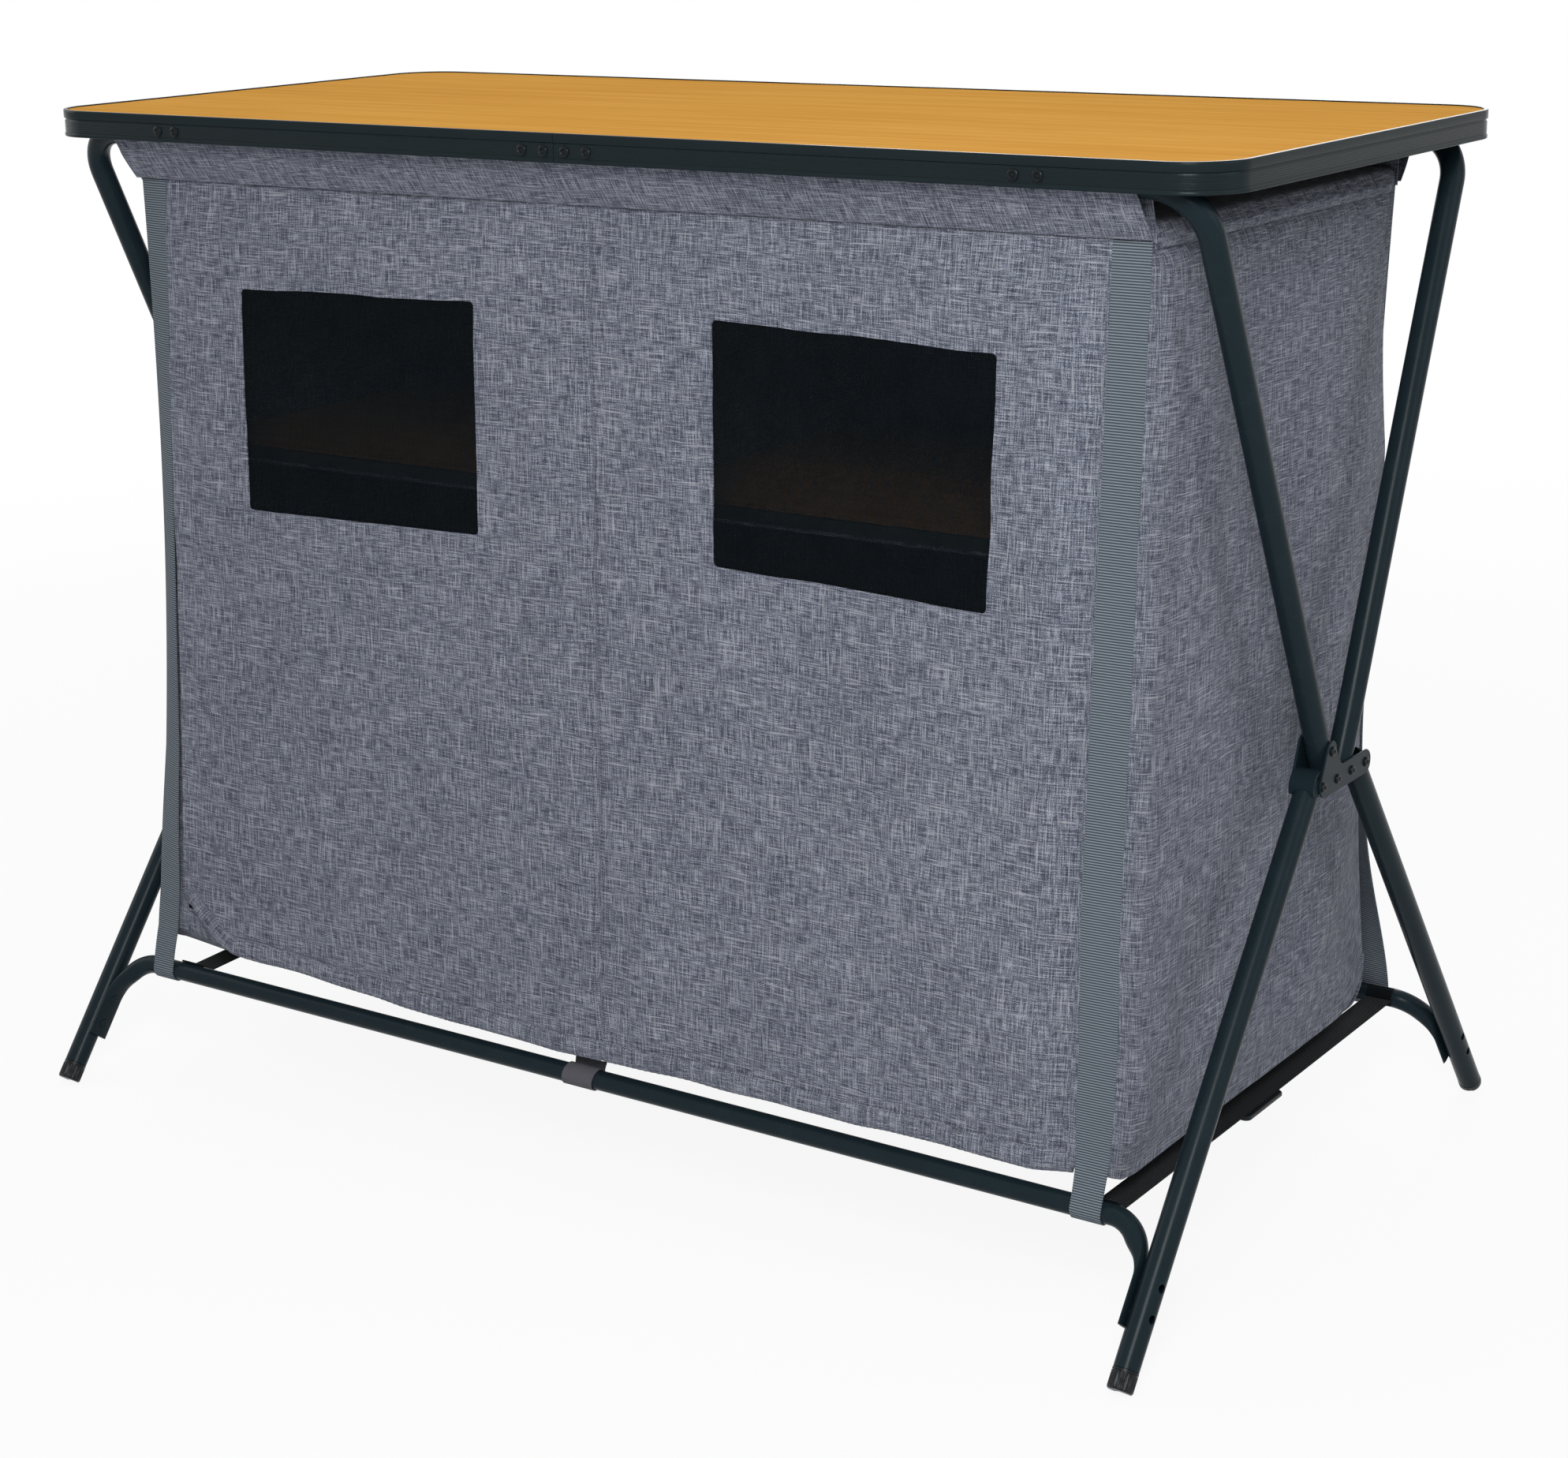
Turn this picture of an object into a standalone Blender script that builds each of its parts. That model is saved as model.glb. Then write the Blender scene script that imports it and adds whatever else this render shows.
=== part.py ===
"""Folding camping cupboard: a worktop on two crossed tube frames, with a cloth cabinet hung inside.

Metres. X is the long side, -Y the front with the door, +Z up. The origin is on the ground
under the middle of the worktop. Every named object is one piece of the real cupboard. The
pieces that move together hang from one empty, which stands on the axis that they move about.
"""

import math

import bmesh
import bpy
import numpy as np
from mathutils import Matrix, Vector

# Worktop
TOP_LENGTH = 1.200
TOP_DEPTH = 0.540
TOP_HEIGHT = 0.931
TOP_CORNER_RADIUS = 0.050
BOARD_THICKNESS = 0.006
EDGE_HEIGHT = 0.024
EDGE_LIP_WIDTH = 0.0037
EDGE_LIP_THICKNESS = 0.0008
EDGE_WALL = 0.0022
EDGE_RIB_DEPTH = 0.0009
EDGE_GROOVE_DEPTH = 0.0012
EDGE_UPPER_BAND = 0.0076
EDGE_LOWER_BAND = 0.0028
EDGE_LEDGE_WIDTH = 0.0068
EDGE_LEDGE_THICKNESS = 0.0012
EDGE_FLANGE_WIDTH = 0.0038
EDGE_JOINT_GAP = 0.0006

# Fasteners in the edge profile
EDGE_RIVET_DEPTH = 0.0147
EDGE_RIVET_RADIUS = 0.0025
EDGE_RIVET_HEAD_RADIUS = 0.0048
EDGE_RIVET_HEAD_HEIGHT = 0.0015
RIVET_CROWN = 0.8
EDGE_RIVET_TAIL_RADIUS = 0.0040
EDGE_RIVET_TAIL_HEIGHT = 0.0010
SPLICE_LENGTH = 0.090
SPLICE_THICKNESS = 0.0018
SPLICE_INNER_RIVET_X = 0.0111
SPLICE_OUTER_RIVET_X = 0.0332
BRACKET_FROM_END = 0.1595
BRACKET_RIVET_SPACING = 0.0206
BRACKET_LENGTH = 0.036
BRACKET_THICKNESS = 0.0015
HOOK_END_ANGLE = 262.0
SADDLE_END_ANGLE = 130.0

# Tubes
TUBE_RADIUS = 0.0105
TUBE_WALL = 0.0012
TUBE_SEGMENTS = 12
BEND_STEP = 18.0
UPPER_RUN_INSET = 0.027
UPPER_RUN_DROP = 0.020
UPPER_TOP_INSET = 0.0285
UPPER_BEND_RADIUS = 0.045
UPPER_LEAN_START = 0.050
UPPER_LEAN_BEND = 0.060

# Hubs: four pivots in a row, numbered from the front
HUB_HEIGHT = 0.4096
HUB_INSET = 0.020
PIVOT_SPACING = 0.02828
UPPER_END_PAST_PIVOT = 0.006
LEG_END_PAST_PIVOT = 0.004
LOCK_PIN_ABOVE_PIVOT = 0.0290
PLATE_THICKNESS = 0.002
PLATE_EDGE_RADIUS = 0.0105
PLATE_CORNER_RADIUS = 0.0103
PLATE_LOBE_RADIUS = 0.0090
PLATE_LOBE_TURN = 160.0
PLATE_NOTCH_OFFSET = 0.0080
PLATE_NOTCH_RADIUS = 0.0060
INNER_PLATE_NOSE = 0.0040
WEB_INNER_RADIUS = 0.0118
WEB_THICKNESS = 0.0018
WEB_START_ANGLE = 75.0
WEB_END_ANGLE = 205.0
WEB_NOTCH_CLEARANCE = 0.0005
PIN_RADIUS = 0.0030
PIN_HEAD_RADIUS = 0.0040
PIN_HEAD_HEIGHT = 0.0015
PIN_SEGMENTS = 12

# Legs, rails and feet
FOOT_BEYOND_TOP = 0.0892
RAIL_HEIGHT = 0.108
RAIL_BEND_RADIUS = 0.035
RAIL_FLAT_START = 0.014
RAIL_FLAT_LENGTH = 0.034
RAIL_FLAT_HALF_THICKNESS = 0.0020
RAIL_FLAT_HALF_WIDTH = 0.0118
RAIL_END = 0.0830
RAIL_RIVETS = (0.0450, 0.0700)
RAIL_RIVET_RADIUS = 0.0025
RAIL_RIVET_HEAD_RADIUS = 0.0045
RAIL_RIVET_HEAD_HEIGHT = 0.0014
ACCESS_HOLE_RADIUS = 0.0036
FOOT_RADIUS = 0.0107
FOOT_CHAMFER = 0.0010
FOOT_GROUND_CUT = 0.0025
STEM_CLEARANCE = 0.0005
LEVELLING_FOOT_HEIGHT = 0.017
LEVELLING_STEM = 0.035
REAR_CAP_HEIGHT = 0.008
REAR_CAP_STEM = 0.018

# Cloth cabinet
CLOTH = 0.002
SEAM_BEHIND_RUN = 0.0188
SEAM_DROP = 0.063
FRONT_LEAN = 0.0514
FRONT_HEM_ABOVE_RAIL = 0.023
BACK_INSET = 0.0017
SIDE_INSET = 0.0765
SIDE_ABOVE_RAIL = 0.0135
SIDE_CORNER_RADIUS = 0.030
ROOF_ABOVE_SEAM = 0.0135
ROOF_SKIRT = 0.0195
ROOF_SETBACK = 0.0048
DOOR_CLEARANCE = 0.0005
DOOR_CORNER_RADIUS = 0.055
WINDOW_INNER_X = 0.125
WINDOW_FROM_EDGE = 0.093
WINDOW_BELOW_SEAM = 0.088
WINDOW_HEIGHT = 0.2055
WINDOW_CORNER_RADIUS = 0.005
MESH_THICKNESS = 0.0008

# Shelves
SHELF_BELOW_SEAM = 0.248
SHELF_THICKNESS = 0.006
SHELF_SETBACK = 0.0242
SHELF_EDGE_HEIGHT = 0.0105
SHELF_EDGE_WALL = 0.0012
SHELF_EDGE_DEPTH = 0.0060

# Straps
STRAP_WIDTH = 0.033
STRAP_THICKNESS = 0.0012
STRAP_SPREAD_Z = 0.150
STRAP_WRAP = (160.0, 268.0)
COLLAR_WRAP = (150.0, 217.4)
COLLAR_OVERHANG = 0.002
LOOP_WIDTH = 0.047
LOOP_WRAP = (20.0, -310.0)
SPREADER_INSET = 0.0160
SPREADER_WIDTH = 0.025
SPREADER_THICKNESS = 0.0016
SPREADER_WRAP = (-30.0, 100.0)
BUCKLE_WIDTH = 0.034
BUCKLE_FRONT_Y = -0.045
BUCKLE_LENGTH = 0.070
BUCKLE_THICKNESS = 0.004
BUCKLE_RIM_HEIGHT = 0.0045

GAP = 0.0003

# Places that follow from the sizes above
BRACKET_X = TOP_LENGTH / 2 - BRACKET_FROM_END
UPPER_RUN_Y = TOP_DEPTH / 2 - UPPER_RUN_INSET
UPPER_RUN_Z = TOP_HEIGHT - UPPER_RUN_DROP
UPPER_TOP_X = TOP_LENGTH / 2 - UPPER_TOP_INSET
HUB_X = TOP_LENGTH / 2 - HUB_INSET
FOOT_Y = TOP_DEPTH / 2 + FOOT_BEYOND_TOP
RUN_RISE = UPPER_RUN_Z - HUB_HEIGHT
FIXED_PIVOT_Y = -0.5 * PIVOT_SPACING
LEG_PIVOT_Y = 1.5 * PIVOT_SPACING
LEG_REACH = FOOT_Y - LEG_PIVOT_Y
LEG_LENGTH = math.hypot(LEG_REACH, HUB_HEIGHT)
LEG_SIN = LEG_REACH / LEG_LENGTH
LEG_COS = HUB_HEIGHT / LEG_LENGTH
RAIL_DISTANCE = (HUB_HEIGHT - RAIL_HEIGHT) / LEG_COS
RAIL_Y = LEG_PIVOT_Y + RAIL_DISTANCE * LEG_SIN
RAIL_X = HUB_X - 2 * TUBE_RADIUS - GAP
FOOT_DISTANCE = (HUB_HEIGHT - FOOT_RADIUS * LEG_SIN + FOOT_GROUND_CUT) / LEG_COS
EDGE_WALL_Y = TOP_DEPTH / 2 - EDGE_WALL - GAP
RIVET_Z = TOP_HEIGHT - EDGE_RIVET_DEPTH
BOARD_TOP_Z = TOP_HEIGHT - EDGE_LIP_THICKNESS - GAP
LEDGE_TOP_Z = BOARD_TOP_Z - BOARD_THICKNESS - GAP
LEDGE_BOTTOM_Z = LEDGE_TOP_Z - EDGE_LEDGE_THICKNESS
FLANGE_TOP_Z = TOP_HEIGHT - EDGE_HEIGHT + EDGE_LEDGE_THICKNESS
SEAM_Y = UPPER_RUN_Y - SEAM_BEHIND_RUN
SEAM_Z = TOP_HEIGHT - SEAM_DROP
FRONT_FOOT_Y = SEAM_Y + FRONT_LEAN
FRONT_HEM_Z = RAIL_HEIGHT + FRONT_HEM_ABOVE_RAIL
BACK_Y = SEAM_Y - BACK_INSET
ROOF_HEIGHT = SEAM_Z + ROOF_ABOVE_SEAM
SIDE_OUTER_X = TOP_LENGTH / 2 - SIDE_INSET
SIDE_BOTTOM_Z = RAIL_HEIGHT + SIDE_ABOVE_RAIL
STRAP_INNER_X = SIDE_OUTER_X - STRAP_WIDTH
DOOR_HALF_WIDTH = STRAP_INNER_X - DOOR_CLEARANCE
WINDOW_OUTER_X = DOOR_HALF_WIDTH - WINDOW_FROM_EDGE
WINDOW_TOP_Z = SEAM_Z - WINDOW_BELOW_SEAM
WINDOW_BOTTOM_Z = WINDOW_TOP_Z - WINDOW_HEIGHT
SHELF_TOP_Z = SEAM_Z - SHELF_BELOW_SEAM
SHELF_FRONT_Y = SEAM_Y - SHELF_SETBACK
COLLAR_END_X = SIDE_OUTER_X + COLLAR_OVERHANG
SPREADER_INNER_X = SIDE_OUTER_X - SPREADER_INSET


# Small geometry helpers


def arc(centre, radius, start, end, step=BEND_STEP):
    """Points on a circle arc from one angle to another, in degrees."""
    steps = max(1, math.ceil(abs(end - start) / step))
    angles = np.radians(np.linspace(start, end, steps + 1))
    return [(centre[0] + radius * math.cos(a), centre[1] + radius * math.sin(a)) for a in angles]


def fillet(before, corner, after, radius, step=BEND_STEP):
    """Points that round one corner of a line with an arc tangent to both sides."""
    corner = Vector(corner)
    to_before = (Vector(before) - corner).normalized()
    to_after = (Vector(after) - corner).normalized()
    half = to_before.angle(to_after) / 2
    centre = corner + (to_before + to_after).normalized() * radius / math.sin(half)
    start = corner + to_before * radius / math.tan(half) - centre
    turn = math.pi - 2 * half
    if to_before.x * to_after.y - to_before.y * to_after.x > 0:
        turn = -turn
    steps = max(1, math.ceil(math.degrees(abs(turn)) / step))
    return [tuple(centre + Matrix.Rotation(turn * k / steps, 2) @ start) for k in range(steps + 1)]


def rounded_line(points, radii):
    """An open line whose inner corners are rounded, one radius for each inner point."""
    line = [points[0]]
    for k, radius in enumerate(radii, start=1):
        line += fillet(points[k - 1], points[k], points[k + 1], radius)
    return line + [points[-1]]


def rounded_outline(points, radii):
    """A closed outline with a rounded corner at each point."""
    count = len(points)
    outline = []
    for k, radius in enumerate(radii):
        outline += fillet(points[k - 1], points[k], points[(k + 1) % count], radius)
    return outline


def directions(line, closed=False):
    """Unit direction of travel at each point, and the cosine of half the turn there."""
    line = np.array(line)
    steps = np.diff(np.vstack([line, line[:1]]) if closed else line, axis=0)
    steps /= np.linalg.norm(steps, axis=1)[:, None]
    ahead = steps if closed else np.vstack([steps, steps[-1]])
    behind = np.roll(steps, 1, axis=0) if closed else np.vstack([steps[0], steps])
    middle = ahead + behind
    middle /= np.linalg.norm(middle, axis=1)[:, None]
    return middle, np.einsum("ij,ij->i", middle, ahead)


def ribbon(line, thickness):
    """Outline of a strip of even thickness whose middle follows the line."""
    line = np.array(line)
    travel, cosine = directions(line)
    side = np.column_stack([-travel[:, 1], travel[:, 0]]) * (thickness / 2 / cosine)[:, None]
    return np.vstack([line + side, (line - side)[::-1]])


def mirrored_y(outline):
    """The same outline seen at the back of the cupboard."""
    return [(-y, z) for y, z in outline]


def along_x(y, z, x):
    """Place an outline drawn in Y and Z at a distance along X."""
    return (x, y, z)


def along_z(x, y, z):
    """Place an outline drawn in X and Y at a height."""
    return (x, y, z)


def prism(outline, low, high, place):
    """Solid between two copies of an outline, one at each distance."""
    bm = bmesh.new()
    bottom = [bm.verts.new(place(a, b, low)) for a, b in outline]
    top = [bm.verts.new(place(a, b, high)) for a, b in outline]
    bm.faces.new(bottom)
    bm.faces.new(top)
    for k in range(len(bottom)):
        n = (k + 1) % len(bottom)
        bm.faces.new((bottom[k], bottom[n], top[n], top[k]))
    return bm


def bridge(bm, first, second):
    """Quads between two rings of equal count, or a fan where one ring is a single point."""
    count = max(len(first), len(second))
    for k in range(count):
        n = (k + 1) % count
        if len(first) == 1:
            bm.faces.new((first[0], second[n], second[k]))
        elif len(second) == 1:
            bm.faces.new((first[k], first[n], second[0]))
        else:
            bm.faces.new((first[k], first[n], second[n], second[k]))


def lathe(profile, origin, axis, segments):
    """Solid turned about an axis from (radius, distance) pairs, from pole to pole."""
    axis = Vector(axis).normalized()
    side = axis.orthogonal().normalized()
    bm = bmesh.new()
    rings = []
    for radius, along in profile:
        centre = Vector(origin) + axis * along
        if radius == 0:
            rings.append([bm.verts.new(centre)])
            continue
        spokes = [Matrix.Rotation(2 * math.pi * k / segments, 3, axis) @ side for k in range(segments)]
        rings.append([bm.verts.new(centre + radius * spoke) for spoke in spokes])
    for first, second in zip(rings, rings[1:]):
        bridge(bm, first, second)
    return bm


def merged(parts):
    """One bmesh that holds several, such as a set of cutters."""
    whole = bmesh.new()
    for part in parts:
        mesh = bpy.data.meshes.new("part")
        bmesh.ops.recalc_face_normals(part, faces=part.faces)
        part.to_mesh(mesh)
        part.free()
        whole.from_mesh(mesh)
        bpy.data.meshes.remove(mesh)
    return whole


def rod(start, end, radius, segments=PIN_SEGMENTS):
    """A plain round bar between two points."""
    length = (Vector(end) - Vector(start)).length
    profile = [(0, 0), (radius, 0), (radius, length), (0, length)]
    return lathe(profile, start, Vector(end) - Vector(start), segments)


def hollow_tube(line, place, across, halves):
    """A bent tube in one plane with open ends.

    The line holds (x, distance) points, place turns one into a point of the cupboard, across
    is the direction square to the plane, and halves gives the half thickness in the plane and
    the half width across it at each point.
    """
    travel, cosine = directions(line)
    turns = np.radians(np.arange(TUBE_SEGMENTS) * 360 / TUBE_SEGMENTS)
    bm = bmesh.new()
    skins = []
    for inset in (0.0, TUBE_WALL):
        rings = []
        for (x, distance), (tx, td), cos_half, (thick, wide) in zip(line, travel, cosine, halves):
            ring = []
            for turn in turns:
                reach = (thick - inset) * math.cos(turn) / cos_half
                centre = Vector(place(x - td * reach, distance + tx * reach))
                ring.append(bm.verts.new(centre + across * (wide - inset) * math.sin(turn)))
            rings.append(ring)
        for first, second in zip(rings, rings[1:]):
            bridge(bm, first, second)
        skins.append(rings)
    outer, inner = skins
    bridge(bm, outer[0], inner[0])
    bridge(bm, outer[-1], inner[-1])
    return bm


# Scene helpers


def clear_scene():
    """Start from nothing."""
    for obj in list(bpy.data.objects):
        bpy.data.objects.remove(obj, do_unlink=True)


def finish(name, colour, roughness, metallic=0.0):
    """A Principled material in the colour of the real piece."""
    material = bpy.data.materials.new(name)
    material.use_nodes = True
    shader = material.node_tree.nodes["Principled BSDF"]
    shader.inputs["Base Color"].default_value = (*colour, 1.0)
    shader.inputs["Roughness"].default_value = roughness
    shader.inputs["Metallic"].default_value = metallic
    return material


def body(name, origin):
    """An empty on the axis that a group of pieces moves about."""
    empty = bpy.data.objects.new(name, None)
    empty.empty_display_size = 0.05
    empty.location = origin
    bpy.context.scene.collection.objects.link(empty)
    return empty


def add_piece(name, bm, material, parent, smooth=True):
    """One named piece, with its mesh measured from its body's axis."""
    bmesh.ops.recalc_face_normals(bm, faces=bm.faces)
    bm.transform(Matrix.Translation(-parent.location))
    mesh = bpy.data.meshes.new(name)
    bm.to_mesh(mesh)
    bm.free()
    mesh.materials.append(material.copy())
    mesh.materials[0].name = name
    if smooth:
        mesh.shade_smooth()
        mesh.set_sharp_from_angle(angle=math.radians(40))
    obj = bpy.data.objects.new(name, mesh)
    obj.parent = parent
    bpy.context.scene.collection.objects.link(obj)
    return obj


def combine(obj, operation, name, bm):
    """Cut a hidden helper from a piece, or join it on."""
    helper = add_piece(name, bm, obj.data.materials[0], obj.parent, smooth=False)
    helper.hide_render = True
    helper.display_type = "WIRE"
    modifier = obj.modifiers.new(name, "BOOLEAN")
    modifier.operation = operation
    modifier.solver = "EXACT"
    modifier.object = helper


# Worktop


def edge_section():
    """Cross-section of the edge profile, as (distance in from the outer face, height)."""
    top = TOP_HEIGHT
    foot = TOP_HEIGHT - EDGE_HEIGHT
    ledge_end = EDGE_WALL + EDGE_LEDGE_WIDTH
    band = top - EDGE_UPPER_BAND
    lip_bottom = top - EDGE_LIP_THICKNESS
    return [
        (0, top),
        (EDGE_LIP_WIDTH, top),
        (EDGE_LIP_WIDTH, lip_bottom),
        (EDGE_WALL, lip_bottom),
        (EDGE_WALL, LEDGE_TOP_Z),
        (ledge_end, LEDGE_TOP_Z),
        (ledge_end, LEDGE_BOTTOM_Z),
        (EDGE_WALL, LEDGE_BOTTOM_Z),
        (EDGE_WALL, FLANGE_TOP_Z),
        (EDGE_WALL + EDGE_FLANGE_WIDTH, FLANGE_TOP_Z),
        (EDGE_WALL + EDGE_FLANGE_WIDTH, foot),
        (0, foot),
        (0, foot + EDGE_LOWER_BAND),
        (EDGE_RIB_DEPTH, foot + EDGE_LOWER_BAND + EDGE_RIB_DEPTH),
        (EDGE_RIB_DEPTH, band - 2 * EDGE_GROOVE_DEPTH),
        (EDGE_GROOVE_DEPTH, band - EDGE_GROOVE_DEPTH),
        (EDGE_GROOVE_DEPTH, band - EDGE_GROOVE_DEPTH / 2),
        (0, band),
    ]


def make_edge_profile(material, parent):
    """One extrusion bent round the board, closed by a joint at the middle of the front."""
    x, y = TOP_LENGTH / 2, TOP_DEPTH / 2
    start = (-EDGE_JOINT_GAP / 2, -y)
    end = (EDGE_JOINT_GAP / 2, -y)
    points = [start, (-x, -y), (-x, y), (x, y), (x, -y), end]
    line = np.array(rounded_line(points, [TOP_CORNER_RADIUS] * 4))
    travel, cosine = directions(line)
    inward = np.column_stack([travel[:, 1], -travel[:, 0]]) / cosine[:, None]
    bm = bmesh.new()
    rings = []
    for point, normal in zip(line, inward):
        rings.append([bm.verts.new((*(point + normal * inset), z)) for inset, z in edge_section()])
    for first, second in zip(rings, rings[1:]):
        bridge(bm, first, second)
    bm.faces.new(rings[0])
    bm.faces.new(rings[-1])
    profile = add_piece("edge_profile", bm, material, parent)
    holes = []
    for side in (-1, 1):
        for spot in rivet_places(side):
            outside = (spot, side * (y + EDGE_WALL), RIVET_Z)
            inside = (spot, side * (y - 2 * EDGE_WALL), RIVET_Z)
            holes.append(rod(outside, inside, EDGE_RIVET_RADIUS + GAP))
    combine(profile, "DIFFERENCE", "cut_edge_rivet_holes", merged(holes))


def rivet_places(side):
    """Where the rivets go through the front (-1) or back (1) of the edge profile, along X."""
    spots = [hand * BRACKET_X + off for hand in (-1, 1) for off in bracket_offsets()]
    if side < 0:
        spots += [hand * spot for hand in (-1, 1) for spot in (SPLICE_INNER_RIVET_X, SPLICE_OUTER_RIVET_X)]
    return spots


def bracket_offsets():
    """The two rivets of a bracket, measured from its middle."""
    return (-BRACKET_RIVET_SPACING / 2, BRACKET_RIVET_SPACING / 2)


def make_board(material, parent):
    """The worktop board, held between the profile's lip and ledge."""
    inset = EDGE_WALL + GAP
    x, y = TOP_LENGTH / 2 - inset, TOP_DEPTH / 2 - inset
    corners = [(-x, -y), (x, -y), (x, y), (-x, y)]
    outline = rounded_outline(corners, [TOP_CORNER_RADIUS - inset] * 4)
    bm = prism(outline, BOARD_TOP_Z - BOARD_THICKNESS, BOARD_TOP_Z, along_z)
    add_piece("table_board", bm, material, parent)


def edge_rivet(x, side, plate):
    """A rivet that holds a plate behind the profile's wall, headed outside."""
    tail = EDGE_RIVET_TAIL_HEIGHT
    inner = EDGE_WALL_Y - plate
    head = tail + TOP_DEPTH / 2 - EDGE_RIB_DEPTH + GAP - inner
    crown = head + EDGE_RIVET_HEAD_HEIGHT
    profile = [
        (0, 0),
        (EDGE_RIVET_TAIL_RADIUS, 0),
        (EDGE_RIVET_TAIL_RADIUS, tail + plate / 2),
        (EDGE_RIVET_RADIUS, tail + plate / 2),
        (EDGE_RIVET_RADIUS, head),
        (EDGE_RIVET_HEAD_RADIUS, head),
        (EDGE_RIVET_HEAD_RADIUS * RIVET_CROWN, crown),
        (0, crown),
    ]
    return lathe(profile, (x, side * (inner - tail), RIVET_Z), (0, side, 0), PIN_SEGMENTS)


def make_splice(material, parent):
    """The strip behind the front joint of the edge profile, with its four rivets."""
    low, high = FLANGE_TOP_Z + GAP, LEDGE_BOTTOM_Z - GAP
    outline = [(-EDGE_WALL_Y, low), (-EDGE_WALL_Y, high), (SPLICE_THICKNESS - EDGE_WALL_Y, high),
               (SPLICE_THICKNESS - EDGE_WALL_Y, low)]
    bm = prism(outline, -SPLICE_LENGTH / 2, SPLICE_LENGTH / 2, along_x)
    splice = add_piece("edge_profile_splice", bm, material, parent)
    spots = [hand * spot for hand in (-1, 1) for spot in (SPLICE_INNER_RIVET_X, SPLICE_OUTER_RIVET_X)]
    rivets = [edge_rivet(spot, -1, SPLICE_THICKNESS) for spot in spots]
    combine(splice, "UNION", "join_splice_rivets", merged(rivets))


def bracket_outline(end_angle):
    """A strap that lies against the profile's wall, crosses to the tube and wraps it.

    Drawn at the back of the cupboard, where outwards is +Y. The wrap starts where the web
    meets the tube's top and ends at the angle given, counted from +Y over the top.
    """
    centre = (UPPER_RUN_Y, UPPER_RUN_Z)
    inner = TUBE_RADIUS + GAP
    outer = inner + BRACKET_THICKNESS
    web_top = LEDGE_BOTTOM_Z - GAP
    web_bottom = web_top - BRACKET_THICKNESS
    start_outer = math.degrees(math.asin((web_top - UPPER_RUN_Z) / outer))
    start_inner = math.degrees(math.asin((web_bottom - UPPER_RUN_Z) / inner))
    plate_bottom = FLANGE_TOP_Z + GAP
    plate_y = EDGE_WALL_Y - BRACKET_THICKNESS
    outline = [(plate_y, plate_bottom), (EDGE_WALL_Y, plate_bottom), (EDGE_WALL_Y, web_top)]
    outline += arc(centre, outer, start_outer, end_angle)
    outline += arc(centre, inner, end_angle, start_inner)
    outline.append((plate_y, web_bottom))
    return outline


def make_brackets(material, parent):
    """Hooks that hinge the worktop on the front tube, and saddles that rest on the rear one."""
    for label, side, end_angle in (("front", -1, HOOK_END_ANGLE), ("rear", 1, SADDLE_END_ANGLE)):
        outline = bracket_outline(end_angle)
        if side < 0:
            outline = mirrored_y(outline)
        for hand, hand_name in ((-1, "left"), (1, "right")):
            middle = hand * BRACKET_X
            bm = prism(outline, middle - BRACKET_LENGTH / 2, middle + BRACKET_LENGTH / 2, along_x)
            bracket = add_piece(f"bracket_{label}_{hand_name}", bm, material, parent)
            rivets = [edge_rivet(middle + off, side, BRACKET_THICKNESS) for off in bracket_offsets()]
            combine(bracket, "UNION", f"join_bracket_rivets_{label}_{hand_name}", merged(rivets))


# Crossed frames


def upper_place(side):
    """Turn (x, distance up the tube from its pivot) into a point, for one upper frame."""
    reach = UPPER_RUN_Y + FIXED_PIVOT_Y
    length = math.hypot(reach, RUN_RISE)

    def place(x, distance):
        share = distance / length
        return (x, side * (reach * share - FIXED_PIVOT_Y), HUB_HEIGHT + RUN_RISE * share)

    return place, length


def leg_place(side):
    """Turn (x, distance down the leg from its pivot) into a point, for one lower frame."""

    def place(x, distance):
        return (x, side * (LEG_PIVOT_Y + LEG_SIN * distance), HUB_HEIGHT - LEG_COS * distance)

    return place


def plane_normal(place):
    """Direction square to the plane that a place function draws in."""
    origin = Vector(place(0, 0))
    return (Vector(place(1, 0)) - origin).cross(Vector(place(0, 1)) - origin).normalized()


def pin_hole(x, y, z, radius):
    """A cutter along X through one tube at the given point."""
    reach = TUBE_RADIUS + PLATE_THICKNESS
    return rod((x - reach, y, z), (x + reach, y, z), radius)


def make_upper_frame(name, side, material, parent):
    """A U of tube: a run under the worktop and two side tubes down to the hubs."""
    place, length = upper_place(side)
    points = [(-HUB_X, -UPPER_END_PAST_PIVOT), (-HUB_X, UPPER_LEAN_START), (-UPPER_TOP_X, length)]
    points += [(-x, distance) for x, distance in reversed(points)]
    radii = [UPPER_LEAN_BEND, UPPER_BEND_RADIUS, UPPER_BEND_RADIUS, UPPER_LEAN_BEND]
    line = rounded_line(points, radii)
    bm = hollow_tube(line, place, plane_normal(place), [(TUBE_RADIUS, TUBE_RADIUS)] * len(line))
    frame = add_piece(name, bm, material, parent)
    distances = [0.0, LOCK_PIN_ABOVE_PIVOT] if side < 0 else [0.0]
    holes = [pin_hole(*place(hand * HUB_X, d), PIN_RADIUS + GAP) for hand in (-1, 1) for d in distances]
    combine(frame, "DIFFERENCE", f"cut_{name}_pin_holes", merged(holes))


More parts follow.
